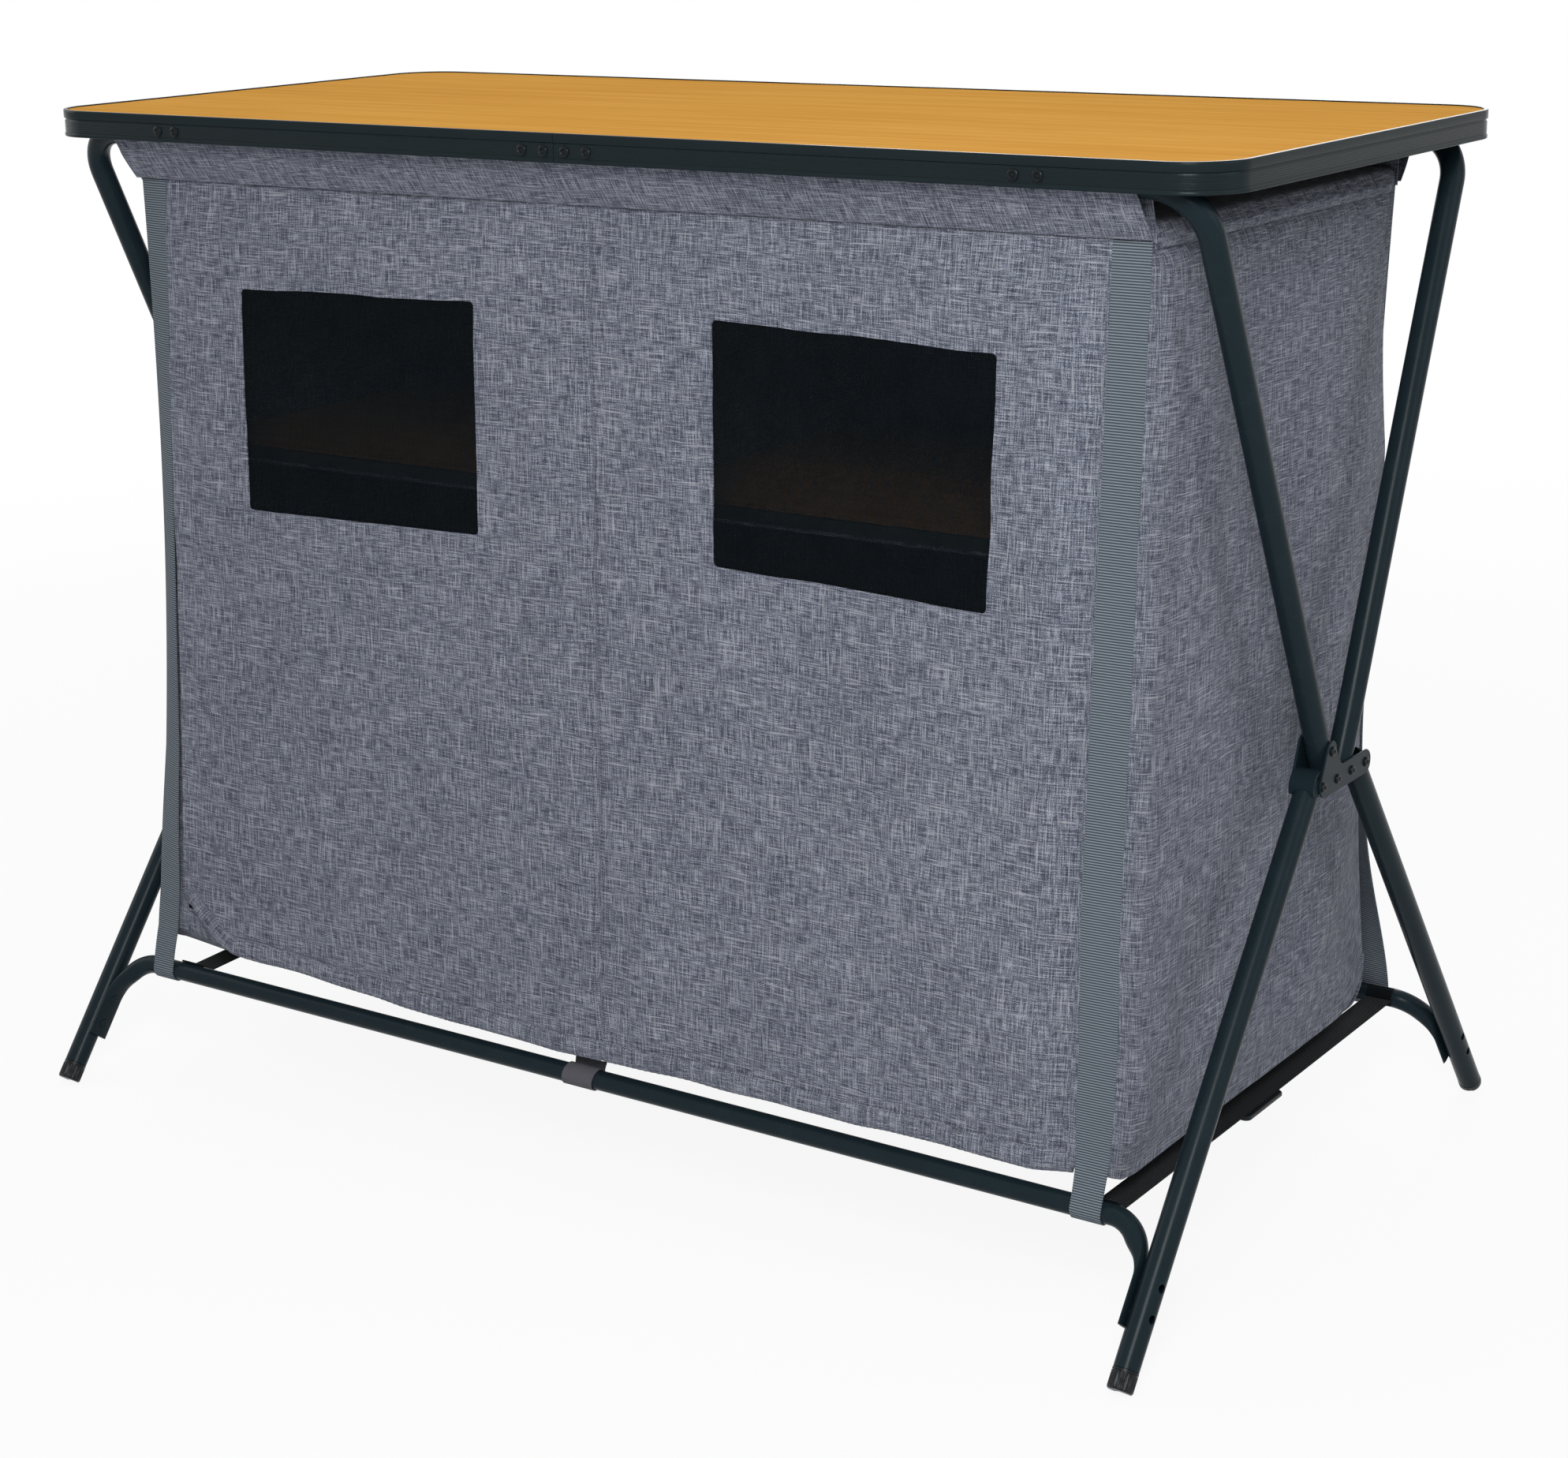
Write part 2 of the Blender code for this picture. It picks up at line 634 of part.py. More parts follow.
def make_leg(name, side, hand, end, material, parent):
    """One straight leg tube from its hub pivot to its foot, with holes for the rail's rivets."""
    place = leg_place(side)
    line = [(hand * HUB_X, -LEG_END_PAST_PIVOT), (hand * HUB_X, end)]
    bm = hollow_tube(line, place, plane_normal(place), [(TUBE_RADIUS, TUBE_RADIUS)] * 2)
    leg = add_piece(name, bm, material, parent)
    holes = [pin_hole(*place(hand * HUB_X, 0.0), PIN_RADIUS + GAP)]
    for offset in RAIL_RIVETS:
        distance = RAIL_DISTANCE + offset
        inside = hand * (HUB_X - TUBE_RADIUS - PLATE_THICKNESS)
        outside = hand * (HUB_X + TUBE_RADIUS + PLATE_THICKNESS)
        middle = place(hand * HUB_X, distance)
        holes.append(rod(place(inside, distance), middle, RAIL_RIVET_RADIUS + GAP))
        holes.append(rod(middle, place(outside, distance), ACCESS_HOLE_RADIUS))
    combine(leg, "DIFFERENCE", f"cut_{name}_holes", merged(holes[:1] + holes[1::2]))
    combine(leg, "DIFFERENCE", f"cut_{name}_access_holes", merged(holes[2::2]))


def make_rail(name, side, material, parent):
    """The cross rail: its ends bend down along the legs, flattened and riveted inside them."""
    place = leg_place(side)
    points = [(-RAIL_X, RAIL_DISTANCE + RAIL_END), (-RAIL_X, RAIL_DISTANCE)]
    points += [(-x, distance) for x, distance in reversed(points)]
    rounded = rounded_line(points, [RAIL_BEND_RADIUS] * 2)
    flat = (RAIL_BEND_RADIUS + RAIL_FLAT_START + RAIL_FLAT_LENGTH) / 2
    extra = [(-RAIL_X, RAIL_DISTANCE + below) for below in (RAIL_FLAT_START + RAIL_FLAT_LENGTH, flat)]
    rounded[1:1] = extra
    rounded[-1:-1] = [(-x, distance) for x, distance in reversed(extra)]
    line = []
    halves = []
    for (x, distance), (tx, td) in zip(rounded, directions(rounded)[0]):
        share = min(1.0, max(0.0, (distance - RAIL_DISTANCE - RAIL_FLAT_START) / RAIL_FLAT_LENGTH))
        share = share * share * (3 - 2 * share)
        thick = TUBE_RADIUS + (RAIL_FLAT_HALF_THICKNESS - TUBE_RADIUS) * share
        wide = TUBE_RADIUS + (RAIL_FLAT_HALF_WIDTH - TUBE_RADIUS) * share
        outwards = TUBE_RADIUS - thick
        line.append((x + td * outwards, distance - tx * outwards))
        halves.append((thick, wide))
    rail = add_piece(name, hollow_tube(line, place, plane_normal(place), halves), material, parent)
    rivets = [rail_rivet(place, hand, RAIL_DISTANCE + offset) for hand in (-1, 1) for offset in RAIL_RIVETS]
    combine(rail, "UNION", f"join_{name}_rivets", merged(rivets))


def rail_rivet(place, hand, distance):
    """A rivet from the flattened rail end through the inner wall of the leg."""
    face = HUB_X - TUBE_RADIUS - GAP - 2 * RAIL_FLAT_HALF_THICKNESS
    length = HUB_X - TUBE_RADIUS + 3 * TUBE_WALL - face
    profile = [
        (0, 0),
        (RAIL_RIVET_HEAD_RADIUS * RIVET_CROWN, 0),
        (RAIL_RIVET_HEAD_RADIUS, RAIL_RIVET_HEAD_HEIGHT / 2),
        (RAIL_RIVET_HEAD_RADIUS, RAIL_RIVET_HEAD_HEIGHT + TUBE_WALL / 2),
        (RAIL_RIVET_RADIUS, RAIL_RIVET_HEAD_HEIGHT + TUBE_WALL / 2),
        (RAIL_RIVET_RADIUS, RAIL_RIVET_HEAD_HEIGHT + length),
        (0, RAIL_RIVET_HEAD_HEIGHT + length),
    ]
    start = place(hand * (face - RAIL_RIVET_HEAD_HEIGHT), distance)
    return lathe(profile, start, (hand, 0, 0), PIN_SEGMENTS)


def make_foot(name, side, hand, height, stem, material, parent):
    """A plastic foot with a stem in the leg, its lowest rim worn flat where it stands."""
    place = leg_place(side)
    profile = [
        (0, -stem),
        (TUBE_RADIUS - TUBE_WALL - STEM_CLEARANCE, -stem),
        (TUBE_RADIUS - TUBE_WALL - STEM_CLEARANCE, 0),
        (FOOT_RADIUS, 0),
        (FOOT_RADIUS, height - FOOT_CHAMFER),
        (FOOT_RADIUS - FOOT_CHAMFER, height),
        (0, height),
    ]
    axis = Vector((0, side * LEG_SIN, -LEG_COS))
    bm = lathe(profile, place(hand * HUB_X, FOOT_DISTANCE - height), axis, TUBE_SEGMENTS)
    bmesh.ops.recalc_face_normals(bm, faces=bm.faces)
    every = bm.verts[:] + bm.edges[:] + bm.faces[:]
    bmesh.ops.bisect_plane(bm, geom=every, plane_co=(0, 0, 0), plane_no=(0, 0, -1), clear_outer=True)
    rim = [edge for edge in bm.edges if edge.is_boundary]
    bmesh.ops.contextual_create(bm, geom=rim)
    add_piece(name, bm, material, parent)


def make_lower_frame(label, side, height, stem, tube, plastic, frame_body, foot_bodies):
    """Two legs, their rail and their feet, at the front or the back."""
    end = FOOT_DISTANCE - height - GAP
    for hand, hand_name in ((-1, "left"), (1, "right")):
        make_leg(f"{label}_leg_{hand_name}", side, hand, end, tube, frame_body)
        foot = "levelling_foot" if side < 0 else "foot_cap"
        make_foot(f"{foot}_{hand_name}", side, hand, height, stem, plastic, foot_bodies[hand_name])
    make_rail(f"{label}_rail", side, tube, frame_body)


# Hubs


def pivot_y(number):
    """Place along Y of the hub's pivots, numbered 1 to 4 from the front."""
    return (number - 2.5) * PIVOT_SPACING


def lock_pin_place():
    """Where the second pin of the fixed front tube sits, up the tube from its first."""
    place, _ = upper_place(-1)
    return place(0, LOCK_PIN_ABOVE_PIVOT)[1:]


def plate_outline(nose):
    """Outline of a hub plate; nose is how much further forward and up the inner plate reaches."""
    low, high = HUB_HEIGHT - PLATE_EDGE_RADIUS, HUB_HEIGHT + PLATE_EDGE_RADIUS
    front, back = pivot_y(1) - PLATE_EDGE_RADIUS - nose, pivot_y(4) + PLATE_EDGE_RADIUS
    lobe_y, lobe_z = lock_pin_place()
    lobe = arc((lobe_y - nose, lobe_z + nose), PLATE_LOBE_RADIUS, 0, PLATE_LOBE_TURN)
    notch = (pivot_y(2) + PLATE_NOTCH_OFFSET, high)
    points = [lobe[-1], (front, low), (back, low), (back, high), notch, lobe[0]]
    return lobe[1:-1] + rounded_line(points, [PLATE_CORNER_RADIUS] * 3 + [PLATE_NOTCH_RADIUS])


def make_hub(hand, hand_name, steel, rivet_steel, parent):
    """Two plates with the tube ends between them, the web that closes their front, and pins."""
    inner_face = HUB_X - TUBE_RADIUS - GAP
    outer_face = HUB_X + TUBE_RADIUS + GAP
    outer = prism(plate_outline(0.0), hand * outer_face, hand * (outer_face + PLATE_THICKNESS), along_x)
    far_face = inner_face - PLATE_THICKNESS
    inner = prism(plate_outline(INNER_PLATE_NOSE), hand * far_face, hand * inner_face, along_x)
    outer_plate = add_piece(f"hub_{hand_name}_outer_plate", outer, steel, parent)
    inner_plate = add_piece(f"hub_{hand_name}_inner_plate", inner, steel, parent)
    centre = (pivot_y(1), HUB_HEIGHT)
    web = arc(centre, WEB_INNER_RADIUS, WEB_START_ANGLE, WEB_END_ANGLE)
    web += arc(centre, WEB_INNER_RADIUS + WEB_THICKNESS, WEB_END_ANGLE, WEB_START_ANGLE)
    web_start = inner_face - PLATE_THICKNESS / 2
    bm = prism(web, hand * web_start, hand * (outer_face - GAP), along_x)
    combine(inner_plate, "UNION", f"join_hub_{hand_name}_web", bm)
    leg = leg_place(-1)
    notch_start, notch_end = leg(hand * HUB_X, 0), leg(hand * HUB_X, 4 * TUBE_RADIUS)
    notch = rod(notch_start, notch_end, TUBE_RADIUS + WEB_NOTCH_CLEARANCE, 2 * PIN_SEGMENTS)
    combine(inner_plate, "DIFFERENCE", f"cut_hub_{hand_name}_leg_notch", notch)
    places = {
        "front_leg_pin": (pivot_y(1), HUB_HEIGHT),
        "front_upper_pin": (pivot_y(2), HUB_HEIGHT),
        "rear_upper_pin": (pivot_y(3), HUB_HEIGHT),
        "rear_leg_pin": (pivot_y(4), HUB_HEIGHT),
        "lock_pin": lock_pin_place(),
    }
    spans = (
        (outer_plate, outer_face - GAP, outer_face + PLATE_THICKNESS + GAP),
        (inner_plate, inner_face - PLATE_THICKNESS - GAP, inner_face + GAP),
    )
    for plate, start, stop in spans:
        holes = [rod((hand * start, y, z), (hand * stop, y, z), PIN_RADIUS + GAP) for y, z in places.values()]
        combine(plate, "DIFFERENCE", f"cut_{plate.name}_holes", merged(holes))
    for pin, (y, z) in places.items():
        add_piece(f"hub_{hand_name}_{pin}", hub_pin(hand, y, z), rivet_steel, parent)


def hub_pin(hand, y, z):
    """A riveted pin through both plates, headed at each end."""
    half = TUBE_RADIUS + 2 * GAP + PLATE_THICKNESS
    profile = [
        (0, -half - PIN_HEAD_HEIGHT),
        (PIN_HEAD_RADIUS * RIVET_CROWN, -half - PIN_HEAD_HEIGHT),
        (PIN_HEAD_RADIUS, -half - PIN_HEAD_HEIGHT / 2),
        (PIN_HEAD_RADIUS, -half),
        (PIN_RADIUS, -half),
        (PIN_RADIUS, half),
        (PIN_HEAD_RADIUS, half),
        (PIN_HEAD_RADIUS, half + PIN_HEAD_HEIGHT / 2),
        (PIN_HEAD_RADIUS * RIVET_CROWN, half + PIN_HEAD_HEIGHT),
        (0, half + PIN_HEAD_HEIGHT),
    ]
    return lathe(profile, (hand * HUB_X, y, z), (1, 0, 0), PIN_SEGMENTS)


# Cloth cabinet


def front_frame():
    """The sloping front: the seam's middle, the direction down it and the direction inwards."""
    seam = Vector((0, -SEAM_Y, SEAM_Z))
    down = (Vector((0, -FRONT_FOOT_Y, FRONT_HEM_Z)) - seam).normalized()
    inward = Vector((0, -down.z, down.y))
    return seam, down, inward


def on_front(x, below, inside):
    """A point given by x, the distance down the slope from the seam, and the depth inwards."""
    seam, down, inward = front_frame()
    return tuple(seam + Vector((x, 0, 0)) + down * below + inward * inside)


def front_y(z, inside):
    """Where the sloping front stands at a height, at a depth inwards."""
    seam, down, inward = front_frame()
    start = seam + inward * inside
    return start.y + (z - start.z) * down.y / down.z


def slope(z):
    """Distance down the sloping front from the seam to a height."""
    return (SEAM_Z - z) / -front_frame()[1].z


def side_outline(back_y, inset, low, high, radius):
    """Outline of a panel that follows the sloping front, in Y and Z."""
    points = [(front_y(low, inset), low), (back_y, low), (back_y, high), (front_y(high, inset), high)]
    if radius == 0:
        return points
    front_corner = fillet(points[3], points[0], points[1], radius)
    back_corner = fillet(points[0], points[1], points[2], radius)
    return front_corner + back_corner + points[2:]


def make_cabinet(cloth, parent):
    """Side, back, roof, floor, partition and shelf cloths."""
    side_top = ROOF_HEIGHT - ROOF_SKIRT - GAP
    behind_door = CLOTH + GAP
    side_inner = SIDE_OUTER_X - CLOTH
    within = side_inner - GAP
    back_inner = BACK_Y - CLOTH
    floor_top = SIDE_BOTTOM_Z + CLOTH
    side = side_outline(BACK_Y, behind_door, SIDE_BOTTOM_Z, side_top, SIDE_CORNER_RADIUS)
    for hand, hand_name in ((-1, "left"), (1, "right")):
        add_piece(f"cloth_side_{hand_name}", prism(side, hand * side_inner, hand * SIDE_OUTER_X, along_x),
                  cloth, parent, smooth=False)
    back = [(back_inner, SIDE_BOTTOM_Z), (BACK_Y, SIDE_BOTTOM_Z), (BACK_Y, side_top), (back_inner, side_top)]
    add_piece("cloth_back", prism(back, -within, within, along_x), cloth, parent, smooth=False)
    front_low = front_y(floor_top, behind_door)
    floor = [(front_low, SIDE_BOTTOM_Z), (back_inner - GAP, SIDE_BOTTOM_Z), (back_inner - GAP, floor_top),
             (front_low, floor_top)]
    add_piece("cloth_floor", prism(floor, -within, within, along_x), cloth, parent, smooth=False)
    outline = side_outline(back_inner - GAP, behind_door, floor_top + GAP, side_top, 0)
    partition = prism(outline, -CLOTH / 2, CLOTH / 2, along_x)
    add_piece("cloth_partition", partition, cloth, parent, smooth=False)
    make_roof(cloth, parent)
    shelf_under = SHELF_TOP_Z - SHELF_THICKNESS - GAP
    shelf = [(-SHELF_FRONT_Y, shelf_under - CLOTH), (back_inner - GAP, shelf_under - CLOTH),
             (back_inner - GAP, shelf_under), (-SHELF_FRONT_Y, shelf_under)]
    for hand, hand_name in ((-1, "left"), (1, "right")):
        bm = prism(shelf, hand * (CLOTH / 2 + GAP), hand * within, along_x)
        add_piece(f"cloth_shelf_{hand_name}", bm, cloth, parent, smooth=False)


def make_roof(cloth, parent):
    """The roof cloth: a shallow tray turned down over the tops of the side and back cloths."""
    x, y = SIDE_OUTER_X, SEAM_Y - ROOF_SETBACK
    skirt = ROOF_HEIGHT - ROOF_SKIRT
    corners = [(-x, -y), (x, -y), (x, y), (-x, y)]
    roof = add_piece("cloth_roof", prism(corners, skirt, ROOF_HEIGHT, along_z), cloth, parent, smooth=False)
    inner = [(math.copysign(abs(a) - CLOTH, a), math.copysign(abs(b) - CLOTH, b)) for a, b in corners]
    combine(roof, "DIFFERENCE", "cut_roof_hollow", prism(inner, skirt - CLOTH, ROOF_HEIGHT - CLOTH, along_z))


def make_shelves(wood, alloy, parent):
    """Two shelf boards, each with an edge trim along its front."""
    near, far = CLOTH / 2 + 2 * GAP, SIDE_OUTER_X - CLOTH - 2 * GAP
    back = BACK_Y - CLOTH - 2 * GAP
    low = SHELF_TOP_Z - SHELF_THICKNESS
    board = [(-SHELF_FRONT_Y, low), (back, low), (back, SHELF_TOP_Z), (-SHELF_FRONT_Y, SHELF_TOP_Z)]
    wall = SHELF_EDGE_WALL
    face = -SHELF_FRONT_Y - GAP
    reach = face + SHELF_EDGE_DEPTH - wall
    top = SHELF_TOP_Z + GAP + wall
    bottom = top - SHELF_EDGE_HEIGHT
    trim = [(face - wall, bottom), (face, bottom), (face, SHELF_TOP_Z + GAP), (reach, SHELF_TOP_Z + GAP),
            (reach, top), (face - wall, top)]
    for hand, hand_name in ((-1, "left"), (1, "right")):
        add_piece(f"shelf_board_{hand_name}", prism(board, hand * near, hand * far, along_x), wood, parent,
                  smooth=False)
        add_piece(f"shelf_edge_{hand_name}", prism(trim, hand * near, hand * far, along_x), alloy, parent,
                  smooth=False)


def window_outline(hand, margin):
    """Outline of one window on the sloping front, as (x, distance below the seam)."""
    top, bottom = slope(WINDOW_TOP_Z), slope(WINDOW_BOTTOM_Z)
    xs = (hand * WINDOW_INNER_X, hand * WINDOW_OUTER_X)
    left, right = min(xs) + margin, max(xs) - margin
    corners = [(left, top + margin), (right, top + margin), (right, bottom - margin), (left, bottom - margin)]
    return rounded_outline(corners, [WINDOW_CORNER_RADIUS] * 4)


def make_door(cloth, netting, parent):
    """The front cloth, free at its sides and hem, with a net in each of its two windows."""
    hem = slope(FRONT_HEM_Z)
    x = DOOR_HALF_WIDTH
    corners = [(-x, 0.0), (x, 0.0), (x, hem), (-x, hem)]
    outline = corners[:2]
    for k in (2, 3):
        outline += fillet(corners[k - 1], corners[k], corners[(k + 1) % 4], DOOR_CORNER_RADIUS)
    door = add_piece("door_flap", prism(outline, 0.0, CLOTH, on_front), cloth, parent, smooth=False)
    cutters = [prism(window_outline(hand, 0.0), -CLOTH, 2 * CLOTH, on_front) for hand in (-1, 1)]
    combine(door, "DIFFERENCE", "cut_door_windows", merged(cutters))
    middle = (CLOTH - MESH_THICKNESS) / 2
    for hand, hand_name in ((-1, "left"), (1, "right")):
        bm = prism(window_outline(hand, GAP), middle, middle + MESH_THICKNESS, on_front)
        add_piece(f"mesh_window_{hand_name}", bm, netting, parent, smooth=False)


def collar_outline():
    """The cloth that hangs the cabinet: over the front tube and down to the seam."""
    centre = (-UPPER_RUN_Y, UPPER_RUN_Z)
    line = arc(centre, TUBE_RADIUS + GAP + STRAP_THICKNESS / 2, *COLLAR_WRAP)
    line.append((-SEAM_Y - STRAP_THICKNESS / 2, SEAM_Z + 3 * GAP))
    return ribbon(line, STRAP_THICKNESS)


def corner_strap_outline():
    """A webbing strap from the seam down the front and under the rail."""
    place = on_front(0, slope(STRAP_SPREAD_Z), -STRAP_THICKNESS / 2)
    line = [on_front(0, GAP, -STRAP_THICKNESS / 2)[1:], place[1:]]
    line += arc((-RAIL_Y, RAIL_HEIGHT), TUBE_RADIUS + GAP + STRAP_THICKNESS / 2, *STRAP_WRAP)
    return ribbon(line, STRAP_THICKNESS)


def loop_outline():
    """A tape loop round the rail with its tail under the cabinet floor."""
    radius = TUBE_RADIUS + GAP + STRAP_THICKNESS / 2
    line = [(-RAIL_Y + radius, SIDE_BOTTOM_Z - GAP)]
    line += arc((-RAIL_Y, RAIL_HEIGHT), radius, *LOOP_WRAP)
    return ribbon(line, STRAP_THICKNESS)


def spreader_outline():
    """A flat strap between the rails, each end turned half round its rail."""
    centre = (-RAIL_Y, RAIL_HEIGHT)
    inner = TUBE_RADIUS + GAP
    outer = inner + SPREADER_THICKNESS
    start, end = SPREADER_WRAP
    join = math.degrees(math.asin(SPREADER_THICKNESS / 2 / outer))
    front = arc(centre, inner, start, end) + arc(centre, outer, end, join)
    back = [(-y, z) for y, z in reversed(front)]
    lower = arc(centre, outer, -join, start)
    return front + back + [(-y, z) for y, z in reversed(lower)] + lower


def buckle_outline():
    """A shallow tray under the strap with a rim each side, in X and Z."""
    middle = SPREADER_INNER_X + SPREADER_WIDTH / 2
    half = BUCKLE_WIDTH / 2
    rim = half - SPREADER_WIDTH / 2 - GAP
    under = RAIL_HEIGHT - SPREADER_THICKNESS / 2 - GAP
    top = under + BUCKLE_RIM_HEIGHT
    bottom = under - BUCKLE_THICKNESS
    right_half = [(half, bottom), (half, top), (half - rim, top), (half - rim, under)]
    left_half = [(-x, z) for x, z in reversed(right_half)]
    return [(middle + x, z) for x, z in right_half + left_half]


def make_straps(cloth, webbing, black, plastic, root, rear_lower):
    """Collars, corner straps, rail loops and the spreader straps that stop the legs."""
    for label, turn in (("front", list), ("rear", mirrored_y)):
        collar = prism(turn(collar_outline()), -COLLAR_END_X, COLLAR_END_X, along_x)
        add_piece(f"collar_{label}", collar, cloth, root)
        loop = prism(turn(loop_outline()), -LOOP_WIDTH / 2, LOOP_WIDTH / 2, along_x)
        add_piece(f"rail_loop_{label}", loop, webbing, root)
        for hand, hand_name in ((-1, "left"), (1, "right")):
            strap = prism(turn(corner_strap_outline()), hand * STRAP_INNER_X, hand * SIDE_OUTER_X, along_x)
            add_piece(f"corner_strap_{label}_{hand_name}", strap, webbing, root)
    for hand, hand_name in ((-1, "left"), (1, "right")):
        outer = hand * (SPREADER_INNER_X + SPREADER_WIDTH)
        strap = prism(spreader_outline(), hand * SPREADER_INNER_X, outer, along_x)
        add_piece(f"spreader_strap_{hand_name}", strap, black, rear_lower)
        outline = [(hand * x, z) for x, z in buckle_outline()]
        buckle = prism(outline, BUCKLE_FRONT_Y, BUCKLE_FRONT_Y + BUCKLE_LENGTH, lambda x, z, y: (x, y, z))
        add_piece(f"strap_buckle_{hand_name}", buckle, plastic, rear_lower, smooth=False)


def main():
    """Build the whole cupboard."""
    clear_scene()
    steel = finish("painted_tube", (0.021, 0.038, 0.042), 0.38, 0.3)
    alloy = finish("edge_alloy", (0.028, 0.040, 0.040), 0.42, 0.4)
    rivet_steel = finish("rivet_steel", (0.030, 0.036, 0.036), 0.35, 0.8)
    plastic = finish("black_plastic", (0.012, 0.015, 0.018), 0.5)
    wood = finish("worktop_wood", (0.672, 0.328, 0.070), 0.4)
    shelf_wood = finish("shelf_wood", (0.380, 0.180, 0.055), 0.5)
    cloth = finish("melange_cloth", (0.205, 0.195, 0.223), 0.9)
    netting = finish("dark_netting", (0.007, 0.010, 0.013), 0.8)
    webbing = finish("grey_webbing", (0.127, 0.156, 0.162), 0.85)
    black = finish("black_webbing", (0.012, 0.014, 0.016), 0.85)

    root = body("root", (0, 0, 0))
    table = body("table", (0, -UPPER_RUN_Y, UPPER_RUN_Z))
    rear_upper = body("rear_upper", (0, pivot_y(3), HUB_HEIGHT))
    front_lower = body("front_lower", (0, pivot_y(1), HUB_HEIGHT))
    rear_lower = body("rear_lower", (0, pivot_y(4), HUB_HEIGHT))
    door = body("door", (0, -SEAM_Y, SEAM_Z))
    feet = {}
    for hand, hand_name in ((-1, "left"), (1, "right")):
        feet[hand_name] = body(f"foot_{hand_name}", leg_place(-1)(hand * HUB_X, FOOT_DISTANCE))

    make_board(wood, table)
    make_edge_profile(alloy, table)
    make_splice(rivet_steel, table)
    make_brackets(rivet_steel, table)
    make_upper_frame("front_upper_frame", -1, steel, root)
    make_upper_frame("rear_upper_frame", 1, steel, rear_upper)
    make_lower_frame("front", -1, LEVELLING_FOOT_HEIGHT, LEVELLING_STEM, steel, plastic, front_lower, feet)
    caps = {"left": rear_lower, "right": rear_lower}
    make_lower_frame("rear", 1, REAR_CAP_HEIGHT, REAR_CAP_STEM, steel, plastic, rear_lower, caps)
    for hand, hand_name in ((-1, "left"), (1, "right")):
        make_hub(hand, hand_name, steel, rivet_steel, root)
    make_cabinet(cloth, root)
    make_shelves(shelf_wood, alloy, root)
    make_door(cloth, netting, door)
    make_straps(cloth, webbing, black, plastic, root, rear_lower)


main()
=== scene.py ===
"""Looks of a folding camping cupboard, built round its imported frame.

Metres. X is the long side, -Y the front with the door, +Z up, and the origin is on the ground
under the middle of the worktop. Each class is one sub-assembly: its fields are its sizes, and
its methods make its surfaces and give them their finish.
"""

import logging
import math
from collections.abc import Callable, Mapping, Sequence
from dataclasses import dataclass, field
from enum import Enum
from typing import Protocol

import bmesh
import bpy
import numpy as np
from mathutils import Matrix


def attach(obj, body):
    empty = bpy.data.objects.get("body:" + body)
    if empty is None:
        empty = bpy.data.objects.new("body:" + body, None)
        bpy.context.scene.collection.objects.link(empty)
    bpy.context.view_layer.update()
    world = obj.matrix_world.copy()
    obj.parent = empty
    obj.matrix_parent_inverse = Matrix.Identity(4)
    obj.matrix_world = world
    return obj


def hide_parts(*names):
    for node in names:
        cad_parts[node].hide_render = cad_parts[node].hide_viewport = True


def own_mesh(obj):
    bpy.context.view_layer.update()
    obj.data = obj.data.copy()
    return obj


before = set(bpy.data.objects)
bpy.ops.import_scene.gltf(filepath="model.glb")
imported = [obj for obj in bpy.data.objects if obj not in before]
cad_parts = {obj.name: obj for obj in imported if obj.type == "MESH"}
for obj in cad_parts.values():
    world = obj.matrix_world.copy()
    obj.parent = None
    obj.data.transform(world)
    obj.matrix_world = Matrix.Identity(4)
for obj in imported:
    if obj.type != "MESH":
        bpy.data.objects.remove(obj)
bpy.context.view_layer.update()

LOG = logging.getLogger("cupboard")

Array = np.ndarray
Values = Array | float
Colour = tuple[float, float, float]
Tint = Colour | bpy.types.NodeSocket
Place = Callable[[Array, Array], Array]

# Surfaces: angles in degrees, the gap between touching pieces, the distance of welded points
ARC_STEP = 4.0
WRAP_STEP = 8.0
SHARP_ANGLE = 38.0
ROUND_SEGMENTS = 24
TUBE_SEGMENTS = 40
LATTICE = 128
GAP = 0.0003
WELD = 2e-6

# Worktop
TOP_LENGTH = 1.200
TOP_DEPTH = 0.540
TOP_HEIGHT = 0.931
EDGE_HEIGHT = 0.024
EDGE_WALL = 0.0022
BOARD_THICKNESS = 0.006
LIP_THICKNESS = 0.0008
LEDGE_THICKNESS = 0.0012
BOARD_TOP_Z = TOP_HEIGHT - LIP_THICKNESS - GAP
LEDGE_BOTTOM_Z = BOARD_TOP_Z - BOARD_THICKNESS - GAP - LEDGE_THICKNESS
FLANGE_TOP_Z = TOP_HEIGHT - EDGE_HEIGHT + LEDGE_THICKNESS
EDGE_WALL_Y = TOP_DEPTH / 2 - EDGE_WALL - GAP
BRACKET_X = 0.4405

# Frames
TUBE_RADIUS = 0.0105
TUBE_WALL = 0.0012
RUN_Y = 0.243
RUN_Z = 0.911
HUB_X = 0.580
HUB_Z = 0.4096
PIVOT_SPACING = 0.02828
FOOT_Y = 0.3592
RAIL_Z = 0.108
RAIL_RADIUS = 0.0089
LEG_PIVOT_Y = 1.5 * PIVOT_SPACING
LEG_LENGTH = math.hypot(FOOT_Y - LEG_PIVOT_Y, HUB_Z)
LEG_SIN = (FOOT_Y - LEG_PIVOT_Y) / LEG_LENGTH
LEG_COS = HUB_Z / LEG_LENGTH
RAIL_DISTANCE = (HUB_Z - RAIL_Z) / LEG_COS
RAIL_Y = LEG_PIVOT_Y + RAIL_DISTANCE * LEG_SIN

